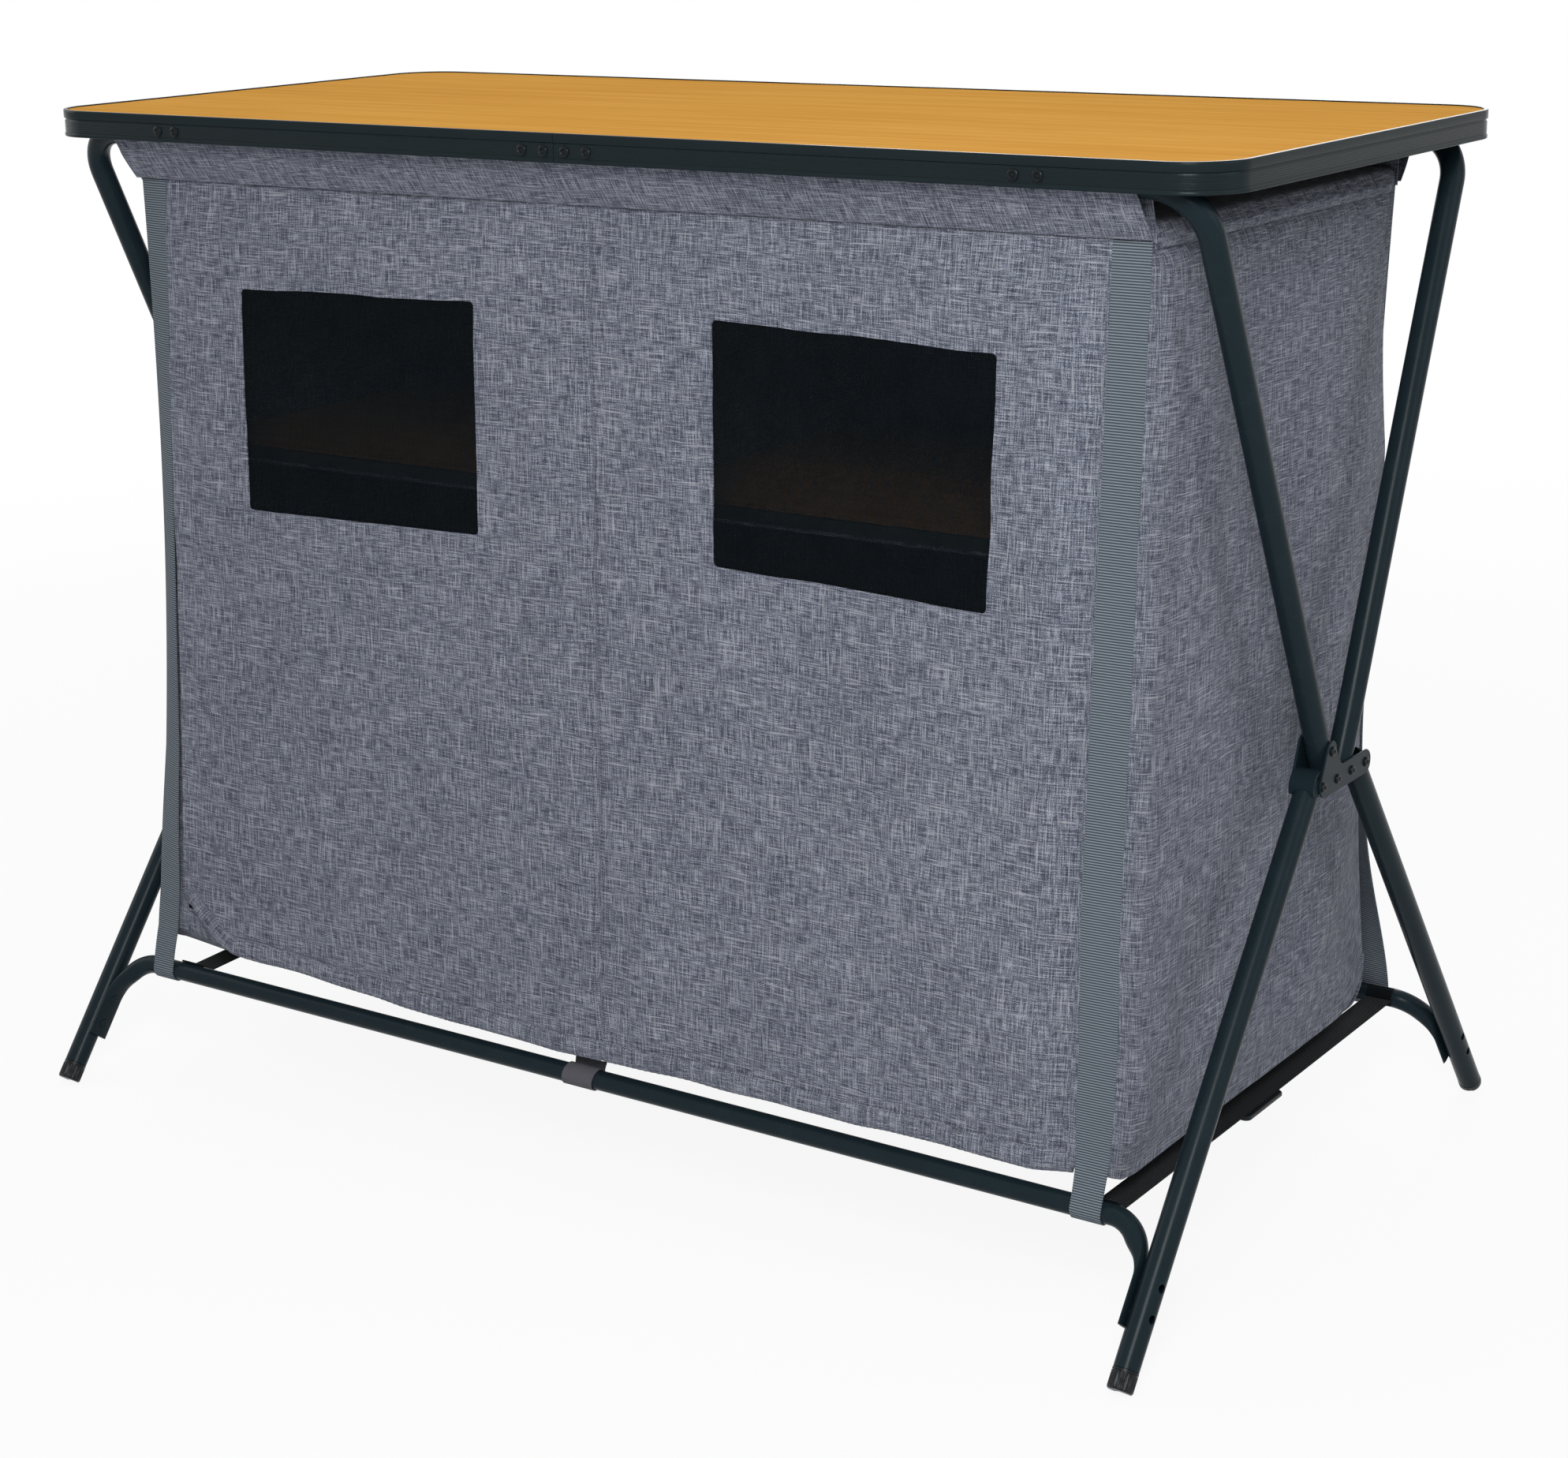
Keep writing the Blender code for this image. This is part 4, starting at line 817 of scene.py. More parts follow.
@dataclass(frozen=True)
class Melange:
    """Plain weave of mixed threads: pale and dark slubs that run along and across the cloth."""

    name: str = "melange_cloth"
    slot: str = "melange_cloth"
    dark: Colour = (0.033, 0.040, 0.060)
    middle: Colour = (0.119, 0.130, 0.169)
    light: Colour = (0.352, 0.378, 0.442)
    warm: Colour = (0.390, 0.382, 0.382)

    def material(self) -> bpy.types.Material:
        """Build the finish."""
        shader = Shader.named(self.name)
        weft = shader.noise("UV", (62, 980, 1), 1, 0.5)
        warp = shader.noise("UV", (980, 62, 1), 1, 0.5)
        long_weft = shader.noise("UV", (24, 760, 1), 1).stepped(0.61, 0.71)
        long_warp = shader.noise("UV", (760, 24, 1), 1).stepped(0.61, 0.71)
        dark_weft = shader.noise("UV", (30, 640, 7), 1).stepped(0.60, 0.74)
        speck = shader.noise("UV", (1250, 1250, 1), 1)
        cloud = shader.noise("UV", (9, 9, 1), 2)
        threads = (weft + warp + speck * 1.25 + cloud * 0.14) / 3.39
        slub = long_weft.largest(long_warp * 0.85)
        colour = shader.ramp(threads, ((0.40, self.dark), (0.50, self.middle), (0.61, self.light)))
        colour = shader.mixed(colour, self.dark, dark_weft * 0.55)
        tint = shader.noise("UV", (420, 260, 3), 1).stepped(0.45, 0.65)
        pale = shader.mixed(self.light, self.warm, tint)
        return shader.surface({
            "Base Color": shader.mixed(colour, pale, slub * 0.72),
            "Roughness": 0.94 - slub * 0.08,
            "Sheen Weight": 0.06,
            "Sheen Roughness": 0.5,
            "Specular IOR Level": 0.12,
            "Normal": shader.bump(threads + slub * 0.2, 0.0005, 0.7),
        })


@dataclass(frozen=True)
class Netting:
    """Fine dark net: round holes in a square grid, half a millimetre across."""

    slot: str = "dark_netting"
    colour: Colour = (0.0035, 0.0055, 0.0075)
    worn: Colour = (0.0070, 0.0100, 0.0125)
    pitch: float = 0.0011
    open_share: float = 0.90

    def material(self) -> bpy.types.Material:
        """Build the finish."""
        shader = Shader.named("dark_netting")
        turn = 2 * math.pi / self.pitch
        across, down = ((shader.axis("UV", number) * turn).wave() for number in (0, 1))
        hole = (across * down).stepped(0.10, 0.26)
        cloud = shader.noise("UV", (40, 40, 1), 2)
        return shader.surface({
            "Base Color": shader.mixed(self.colour, self.worn, cloud),
            "Roughness": 0.85,
            "Specular IOR Level": 0.05,
            "Alpha": 1.0 - hole * self.open_share,
            "Normal": shader.bump(1.0 - hole, 0.0003, 0.6),
        })


@dataclass(frozen=True)
class Webbing:
    """Woven tape: ribs across its length, cut into short floats that step sideways."""

    name: str = "grey_webbing"
    slot: str = "grey_webbing"
    dark: Colour = (0.025, 0.034, 0.044)
    light: Colour = (0.262, 0.306, 0.350)
    rib: float = 0.00216
    float_width: float = 0.0014

    def material(self) -> bpy.types.Material:
        """Build the finish."""
        shader = Shader.named(self.name)
        u, v = shader.axis("UV", 0), shader.axis("UV", 1)
        rib = (v * (2 * math.pi / self.rib)).wave()
        floats = (u * (2 * math.pi / self.float_width) + v * (math.pi / self.rib)).wave()
        fuzz = shader.noise("UV", (1400, 700, 1), 2)
        height = rib * (floats * 0.24 + 0.76)
        share = height * 0.94 + fuzz * 0.20 - 0.06
        return shader.surface({
            "Base Color": shader.mixed(self.dark, self.light, share),
            "Roughness": 0.95 - height * 0.15,
            "Specular IOR Level": 0.06,
            "Sheen Weight": 0.04,
            "Normal": shader.bump(height, 0.0005, 0.9),
        })


@dataclass
class Finishes:
    """Every finish of the cupboard, each made once, with the slot that it stands for."""

    slots: dict[str, str] = field(default_factory=dict)

    def __post_init__(self) -> None:
        """Build the materials."""
        self.tube = self._made(PaintedTube())
        self.alloy = self._made(EdgeAlloy())
        self.trim = self._made(EdgeAlloy(
            name="shelf_trim", coordinates="Object", streaks=(9, 2600, 2600),
            colour=(0.022, 0.034, 0.032), worn=(0.040, 0.056, 0.052)))
        self.rivet = self._made(RivetSteel())
        self.plastic = self._made(MouldedPlastic())
        # The worktop board gets painted shade: near-black from 1.2 mm below its top face downwards.
        self.wood = self._made(StraightGrain(underside_shade_z=BOARD_TOP_Z - 0.0012))
        self.shelf = self._made(StraightGrain(
            name="shelf_wood", slot="shelf_wood", dark=(0.33, 0.165, 0.055),
            middle=(0.42, 0.215, 0.075), light=(0.50, 0.275, 0.105)))
        self.cloth = self._made(Melange())
        # Painted light: a copy of the cloth with lighter dark and middle tones and less contrast,
        # for the partition, standing in for light that hardly reaches the closed inside.
        self.inner_cloth_painted_light = self._made(Melange(
            name="inner_cloth_painted_light", dark=(0.060, 0.066, 0.080),
            middle=(0.140, 0.150, 0.170), light=(0.260, 0.270, 0.290)))
        self.thread = self._made(Webbing(
            name="seam_thread", slot="melange_cloth", dark=(0.050, 0.048, 0.058),
            light=(0.120, 0.115, 0.135), rib=0.0011, float_width=0.0011))
        self.net = self._made(Netting())
        self.webbing = self._made(Webbing())
        self.tape = self._made(Webbing(
            name="loop_tape", dark=(0.066, 0.066, 0.080), light=(0.170, 0.168, 0.190),
            rib=0.0012, float_width=0.0016))
        self.black = self._made(Webbing(
            name="black_webbing", slot="black_webbing", dark=(0.0015, 0.0026, 0.0034),
            light=(0.0055, 0.0078, 0.0094)))

    def _made(self, finish: Finish) -> bpy.types.Material:
        """Build one finish and remember its slot."""
        material = finish.material()
        self.slots[material.name] = finish.slot
        return material


class Held(Enum):
    """How a sheet is held."""

    HUNG = "hung"
    STRETCHED = "stretched"
    FOLDED = "folded"


@dataclass
class Piece:
    """A finished object and what it rides on and stands for."""

    finishes: Finishes
    material: bpy.types.Material
    body: str
    replaces: Sequence[str] = ()

    def dress(self, obj: bpy.types.Object) -> bpy.types.Object:
        """Give an object its finish and body, and hide the nodes that it stands for."""
        soften(obj)
        obj.data.materials.clear()
        obj.data.materials.append(self.material)
        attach(obj, self.body)
        if self.replaces:
            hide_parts(*self.replaces)
        LOG.info("%s: %d faces on %s", obj.name, len(obj.data.polygons), self.body)
        return obj

    def solid(self, name: str, patches: Sequence[Patch]) -> bpy.types.Object:
        """A closed piece from its surfaces."""
        return self.dress(assemble(name, patches))

    def cloth(
        self,
        name: str,
        patches: Sequence[Patch],
        held: Held,
        rests_on: Sequence[str],
        thickness: float = CLOTH_THICKNESS,
        with_pieces: Sequence[bpy.types.Object] = (),
    ) -> bpy.types.Object:
        """A sheet from its middle surfaces, with the size it was cut to written to the log.

        Args:
            name: name of the piece.
            patches: middle surfaces, the first the largest.
            held: how it is held; not used.
            rests_on: names of what carries it; not used.
            thickness: thickness of the cloth.
            with_pieces: separate pieces on it; not used.

        Returns:
            The finished sheet.
        """
        obj = assemble(name, patches, closed=False)
        thicken(obj, thickness)
        self.dress(obj)
        width, length = patches[0].flat()
        area = sum(patch.area() for patch in patches)
        LOG.info("%s is cut %.3f by %.3f, %.4f square metres", name, width, length, area)
        return obj


@dataclass
class Assembly:
    """What every sub-assembly of the cupboard shares: the finishes, and how a piece is made."""

    finishes: Finishes

    def piece(self, material: bpy.types.Material, body: str, *replaces: str) -> Piece:
        """A piece with a finish, that rides on a body in place of its plain solids."""
        return Piece(self.finishes, material, body, replaces)


# Worktop


@dataclass
class Worktop(Assembly):
    """The board in its edge profile, with the brackets that hinge and rest it."""

    corner: float = 0.050
    lip_width: float = 0.0037
    upper_band: float = 0.0076
    lower_band: float = 0.0028
    rib_depth: float = 0.0009
    rib_height: float = 0.00042
    rib_count: int = 6
    groove: float = 0.0012
    ledge_width: float = 0.0068
    flange_width: float = 0.0038
    rivet_z: float = TOP_HEIGHT - 0.0147
    rivet_shank: float = 0.0025
    rivet_head: float = 0.0049
    bracket_length: float = 0.036
    bracket_thickness: float = 0.0015
    bracket_rivets: tuple[float, ...] = (-0.0103, 0.0103)
    bracket_angles: tuple[float, float] = (262.0, 130.0)
    bracket_chamfer: float = 0.0002
    splice_rivets: tuple[float, ...] = (-0.0332, -0.0111, 0.0111, 0.0332)
    splice_thickness: float = 0.0018
    splice_half: float = 0.045
    step: float = 0.06

    def build(self) -> None:
        """Build every piece that moves with the worktop."""
        self._profile()
        self._board()
        self._splice()
        for (side, end), angle in zip(ENDS, self.bracket_angles):
            for hand, hand_name in HANDS:
                self._bracket(side, end, angle, hand, hand_name)

    def _section(self) -> Array:
        """Outline of the edge profile as (distance in, height).

        The outer face is two smooth bands with a ribbed one between them: the ribs are
        rib_height · (1 - cos) over rib_count whole turns, standing on the sunk face.
        """
        top, foot = TOP_HEIGHT, TOP_HEIGHT - EDGE_HEIGHT
        band = top - self.upper_band
        ledge_top = BOARD_TOP_Z - BOARD_THICKNESS - GAP
        wall, ledge, flange = EDGE_WALL, EDGE_WALL + self.ledge_width, EDGE_WALL + self.flange_width
        inner = [
            (0.0007, top - 0.00005), (0.0011, top), (self.lip_width - 0.0003, top),
            (self.lip_width, top - 0.0003), (self.lip_width, top - LIP_THICKNESS),
            (wall, top - LIP_THICKNESS), (wall, ledge_top), (ledge, ledge_top),
            (ledge, LEDGE_BOTTOM_Z), (wall, LEDGE_BOTTOM_Z), (wall, FLANGE_TOP_Z),
            (flange, FLANGE_TOP_Z), (flange, foot), (0.0004, foot), (0.0, foot + 0.0004),
            (0.0, foot + self.lower_band - 0.0003), (0.0002, foot + self.lower_band),
        ]
        low, high = foot + self.lower_band + self.rib_depth, band - 2 * self.groove
        share = np.linspace(0, 1, 6 * self.rib_count + 1)
        wave = 1 - np.cos(2 * math.pi * self.rib_count * share)
        depth = self.rib_depth - self.rib_height * wave / 2
        ribs = np.column_stack([depth, lerp(low, high, share)])
        outer = [
            (self.groove + 0.0004, band - self.groove),
            (self.groove + 0.0004, band - self.groove / 2), (0.0002, band), (0.0, band + 0.0003),
            (0.0, top - 0.0009), (0.0002, top - 0.0004),
        ]
        return np.concatenate([np.array(inner), ribs, np.array(outer)])

    def _profile(self) -> None:
        """The extrusion bent round the board: the section carried along a rounded rectangle."""
        x, y = TOP_LENGTH / 2, TOP_DEPTH / 2
        corners = [(-GAP, -y), (-x, -y), (-x, y), (x, y), (x, -y), (GAP, -y)]
        line = refined(rounded(corners, [self.corner] * 4), self.step)
        way = tangents(line)
        inward = np.column_stack([way[:, 1], -way[:, 0]])
        inset, z = self._section().T
        flat = line[:, None, :] + inset[None, :, None] * inward[:, None, :]
        points = np.dstack([flat, np.broadcast_to(z, flat.shape[:2])])
        self.piece(self.finishes.alloy, "table", "edge_profile").solid(
            "worktop_edge", [Patch(points, wrap_columns=True)])

    def _board(self) -> None:
        """The thin wood board under the lip."""
        inset = EDGE_WALL + GAP
        x, y = TOP_LENGTH / 2 - inset, TOP_DEPTH / 2 - inset
        corners = [(-x, -y), (x, -y), (x, y), (-x, y)]
        outline = rounded(corners, [self.corner - inset] * 4, closed=True)
        board = slab(outline, "xyz", BOARD_TOP_Z - BOARD_THICKNESS, BOARD_TOP_Z)
        self.piece(self.finishes.wood, "table", "table_board").solid("worktop_board", [board])

    def _rivet(self, x: float, side: int, plate: float) -> Patch:
        """A hollow-ended rivet: a shank through the profile with a ringed head outside."""
        inner = EDGE_WALL_Y - plate
        seat = TOP_DEPTH / 2 - self.rib_depth + self.rib_height - inner
        head, shank = self.rivet_head, self.rivet_shank
        profile = [
            (0, -0.0010), (0.0040, -0.0010), (0.0040, plate / 2), (shank, plate / 2), (shank, seat),
            (head, seat), (head, seat + 0.0005), (head * 0.93, seat + 0.0010),
            (head * 0.74, seat + 0.0014), (head * 0.52, seat + 0.0014),
            (head * 0.40, seat + 0.0009), (head * 0.34, seat + 0.0003),
            (0, seat + 0.0003),
        ]
        return lathed(np.array(profile), (x, side * inner, self.rivet_z), (0, side, 0))

    def _splice(self) -> None:
        """The strip behind the joint of the profile, with its four rivets."""
        thickness, half = self.splice_thickness, self.splice_half
        low, high = FLANGE_TOP_Z + GAP, LEDGE_BOTTOM_Z - GAP
        outline = np.array([(-half, low), (half, low), (half, high), (-half, high)])
        plate = slab(outline, "xzy", -EDGE_WALL_Y, thickness - EDGE_WALL_Y)
        rivets = [self._rivet(x, -1, thickness) for x in self.splice_rivets]
        self.piece(self.finishes.rivet, "table", "edge_profile_splice").solid(
            "edge_joint_strip", [plate, *rivets])

    def _bracket(self, side: int, end: str, angle: float, hand: int, hand_name: str) -> None:
        """A strap that lies against the profile, crosses to the tube and wraps part of it."""
        centre, inner = (RUN_Y, RUN_Z), TUBE_RADIUS + GAP
        outer = inner + self.bracket_thickness
        web_top = LEDGE_BOTTOM_Z - GAP
        web_low = web_top - self.bracket_thickness
        starts = [math.degrees(math.asin((z - RUN_Z) / radius))
                  for z, radius in ((web_top, outer), (web_low, inner))]
        plate_y = EDGE_WALL_Y - self.bracket_thickness
        foot = FLANGE_TOP_Z + GAP
        outline = np.concatenate([
            np.array([(plate_y, foot), (EDGE_WALL_Y, foot), (EDGE_WALL_Y, web_top)]),
            arc(centre, outer, starts[0], angle),
            arc(centre, inner, angle, starts[1]),
            np.array([(plate_y, web_low)]),
        ]) * (side, 1)
        middle, half = hand * BRACKET_X, self.bracket_length / 2
        strap = slab(outline, "yzx", middle - half, middle + half, self.bracket_chamfer)
        rivets = [self._rivet(middle + offset, side, self.bracket_thickness)
                  for offset in self.bracket_rivets]
        node = f"bracket_{end}_{hand_name}"
        self.piece(self.finishes.rivet, "table", node).solid(f"worktop_{node}", [strap, *rivets])


# Frames


def upper_place(side: int) -> tuple[Place, float]:
    """The plane of an upper frame, by x and the distance up from the pivot, and its length."""
    pivot = PIVOT_SPACING / 2
    reach, height = RUN_Y - pivot, RUN_Z - HUB_Z
    length = math.hypot(reach, height)

    def place(x: Array, distance: Array) -> Array:
        """Points of the cupboard."""
        y = side * (pivot + reach * distance / length)
        return np.column_stack([x, y, HUB_Z + height * distance / length])

    return place, length


def leg_place(side: int) -> Place:
    """The plane of a lower frame, by x and the distance down from the pivot."""

    def place(x: Array, distance: Array) -> Array:
        """Points of the cupboard."""
        y = side * (LEG_PIVOT_Y + LEG_SIN * distance)
        return np.column_stack([x, y, HUB_Z - LEG_COS * distance])

    return place


def at_leg(side: int, x: float, distance: float) -> Array:
    """One point on a leg's plane."""
    return leg_place(side)(np.array([x]), np.array([distance]))[0]


@dataclass
class UpperFrames(Assembly):
    """The two U-shaped upper tubes, one fixed at the front and one that folds at the back."""

    top_x: float = 0.5715
    bend_radius: float = 0.045
    lean_start: float = 0.050
    lean_bend: float = 0.060
    past_pivot: float = 0.006
    step: float = 0.05

    def build(self) -> None:
        """Build both frames."""
        frames = ((-1, "front_upper_frame", "root"), (1, "rear_upper_frame", "rear_upper"))
        for side, node, body in frames:
            place, length = upper_place(side)
            half = [(-HUB_X, -self.past_pivot), (-HUB_X, self.lean_start), (-self.top_x, length)]
            points = half + [(-x, distance) for x, distance in half[::-1]]
            radii = [self.lean_bend, self.bend_radius, self.bend_radius, self.lean_bend]
            line = refined(rounded(points, radii), self.step)
            halves = np.full((len(line), 2), TUBE_RADIUS)
            self.piece(self.finishes.tube, body, node).solid(
                f"{node}_tube", [tube(line, place, halves)])


@dataclass
class LowerFrames(Assembly):
    """Legs, cross rails, levelling feet and end caps."""

    past_pivot: float = 0.004
    foot_radius: float = 0.0107
    ground_cut: float = 0.0025
    levelling_height: float = 0.017
    cap_height: float = 0.008
    rail_bend: float = 0.032
    flat_start: float = 0.012
    flat_length: float = 0.032
    flat_thick: float = 0.0020
    flat_wide: float = 0.0118
    rail_end: float = 0.083
    rivets: tuple[float, float] = (0.045, 0.070)
    access_radius: float = 0.0036
    access_turn: float = 20.0
    flutes: int = 20
    flute_depth: float = 0.0008
    stem_clearance: float = 0.0005
    levelling_stem: float = 0.035
    cap_stem: float = 0.018
    cap_segments: int = 48
    leg_step: float = 0.04
    rail_step: float = 0.05
    pressed_step: float = 0.002

    def build(self) -> None:
        """Build both lower frames."""
        self.foot_distance = (HUB_Z - self.foot_radius * LEG_SIN + self.ground_cut) / LEG_COS
        for side, end in ENDS:
            body = f"{end}_lower"
            self._rail(side, end, body)
            for hand, hand_name in HANDS:
                self._leg(side, end, hand, hand_name, body)
                if side < 0:
                    self._levelling_foot(side, hand, hand_name)
                else:
                    self._cap(side, hand, hand_name)

    def _leg(self, side: int, end: str, hand: int, hand_name: str, body: str) -> None:
        """One straight leg with the access holes opposite the rail's rivets."""
        height = self.levelling_height if side < 0 else self.cap_height
        ends = (-self.past_pivot, self.foot_distance - height - GAP)
        line = refined(np.array([(hand * HUB_X, distance) for distance in ends]), self.leg_step)
        wall = tube(line, leg_place(side), np.full((len(line), 2), TUBE_RADIUS))
        node = f"{end}_leg_{hand_name}"
        obj = assemble(f"{node}_tube", [wall])
        turned = 2 * TUBE_RADIUS * math.tan(math.radians(self.access_turn)) * (side < 0)
        holes = []
        for offset in self.rivets:
            distance = RAIL_DISTANCE + offset
            middle = at_leg(side, hand * HUB_X, distance)
            outside = at_leg(side, hand * (HUB_X + 2 * TUBE_RADIUS), distance) - (0.0, turned, 0.0)
            holes.append(rod(middle, outside, self.access_radius))
        carve(obj, holes)
        self.piece(self.finishes.tube, body, node).dress(obj)

    def _rail(self, side: int, end: str, body: str) -> None:
        """The cross rail: its ends turn down along the legs and are pressed flat.

        The half thickness goes from the tube's radius to the flat's, and the half width from
        the radius to the flat's, by a smooth step down the leg, and the line moves out so
        that the outer face stays beside the leg.
        """
        rail_x = HUB_X - TUBE_RADIUS - RAIL_RADIUS - GAP
        half = [(-rail_x, RAIL_DISTANCE + self.rail_end), (-rail_x, RAIL_DISTANCE)]
        corners = half + [(-x, distance) for x, distance in half[::-1]]
        line = refined(rounded(corners, [self.rail_bend] * 2), self.rail_step)
        fine, level = refined(line, self.pressed_step), RAIL_DISTANCE + 0.001
        left, right = (fine[(fine[:, 1] > level) & (fine[:, 0] * hand > 0)] for hand, _ in HANDS)
        line = np.concatenate([left, line[line[:, 1] <= level], right])
        share = rise(0, self.flat_length, line[:, 1] - RAIL_DISTANCE - self.flat_start)
        thick = lerp(RAIL_RADIUS, self.flat_thick, share)
        wide = lerp(RAIL_RADIUS, self.flat_wide, share)
        way = tangents(line)
        line = line + (RAIL_RADIUS - thick)[:, None] * np.column_stack([way[:, 1], -way[:, 0]])
        rail = tube(line, leg_place(side), np.column_stack([thick, wide]))
        rivets = [self._rail_rivet(side, hand, RAIL_DISTANCE + offset)
                  for hand, _ in HANDS for offset in self.rivets]
        self.piece(self.finishes.tube, body, f"{end}_rail").solid(
            f"{end}_rail_tube", [rail, *rivets])

    def _rail_rivet(self, side: int, hand: int, distance: float) -> Patch:
        """A rivet from the flat end of the rail into the inner wall of the leg."""
        face = HUB_X - TUBE_RADIUS - GAP - 2 * self.flat_thick
        depth = HUB_X - TUBE_RADIUS + 2 * TUBE_WALL - face
        profile = [
            (0, -0.0006), (0.0016, -0.0006), (0.0021, -0.0012), (0.0032, -0.0014),
            (0.0042, -0.0010), (0.0046, -0.0003), (0.0046, 0.0006), (0.0025, 0.0006),
            (0.0025, depth), (0, depth),
        ]
        return lathed(np.array(profile), at_leg(side, hand * face, distance), (hand, 0, 0))

    def _levelling_foot(self, side: int, hand: int, hand_name: str) -> None:
        """A screw foot with a fluted rim.

        Its radius is the foot's, less the depth of the flutes times (1 + cos of the flutes'
        whole number of turns) / 2, which fades out at both rims and at the collar above them.
        """
        height, full = self.levelling_height, self.foot_radius
        rings = np.array([
            *self._stem(self.levelling_stem), (0.0, full - 0.0004), (0.0003, full), (0.0016, full),
            (0.0016, full - 0.0011), (0.0024, full - 0.0011), (0.0024, full), (0.0032, full),
            (0.0060, full), (0.0095, full), (0.0130, full), (0.0150, full), (0.0160, full - 0.0002),
            (height, full - 0.0010), (height, 0.0),
        ])
        levels, radii = rings.T
        depth = self.flute_depth * rise(0.0024, 0.0040, levels) * (1 - rise(0.0140, 0.0165, levels))
        wave = 1 + np.cos(self.flutes * turns(6 * self.flutes))
        radius = radii[:, None] - depth[:, None] * wave[None, :] / 2
        self._foot(
            side, hand, levels, radius, height, f"levelling_foot_{hand_name}", f"foot_{hand_name}")

    def _cap(self, side: int, hand: int, hand_name: str) -> None:
        """A plain end cap with a rounded rim."""
        height, full = self.cap_height, self.foot_radius
        rings = np.array([
            *self._stem(self.cap_stem), (0.0, full - 0.0003), (0.0003, full), (0.0050, full),
            (0.0066, full - 0.0003), (0.0076, full - 0.0011), (height, full - 0.0022),
            (height, 0.0),
        ])
        radius = np.repeat(rings[:, 1:], self.cap_segments, axis=1)
        self._foot(side, hand, rings[:, 0], radius, height, f"foot_cap_{hand_name}", "rear_lower")

    def _stem(self, length: float) -> list[tuple[float, float]]:
        """Levels and radii of the stem that a foot or cap has inside the tube."""
        bore = TUBE_RADIUS - TUBE_WALL - self.stem_clearance
        return [(-length, 0.0), (-length, bore), (0.0, bore)]

    def _foot(
        self,
        side: int,
        hand: int,
        levels: Array,
        radius: Array,
        height: float,
        node: str,
        body: str,
    ) -> None:
        """Carry rings of given radii down the leg's line, cut flat where they reach the ground."""
        axis = np.array((0.0, side * LEG_SIN, -LEG_COS))
        across = np.array((1.0, 0.0, 0.0))
        angles = turns(radius.shape[1])[:, None]
        ring = np.cos(angles) * across + np.sin(angles) * np.cross(axis, across)
        start = at_leg(side, hand * HUB_X, self.foot_distance - height)
        points = start + levels[:, None, None] * axis + radius[:, :, None] * ring[None, :, :]
        points[..., 2] = np.maximum(points[..., 2], 0.0)
        self.piece(self.finishes.plastic, body, node).solid(
            f"{node}_moulding", [Patch(points, wrap_columns=True)])


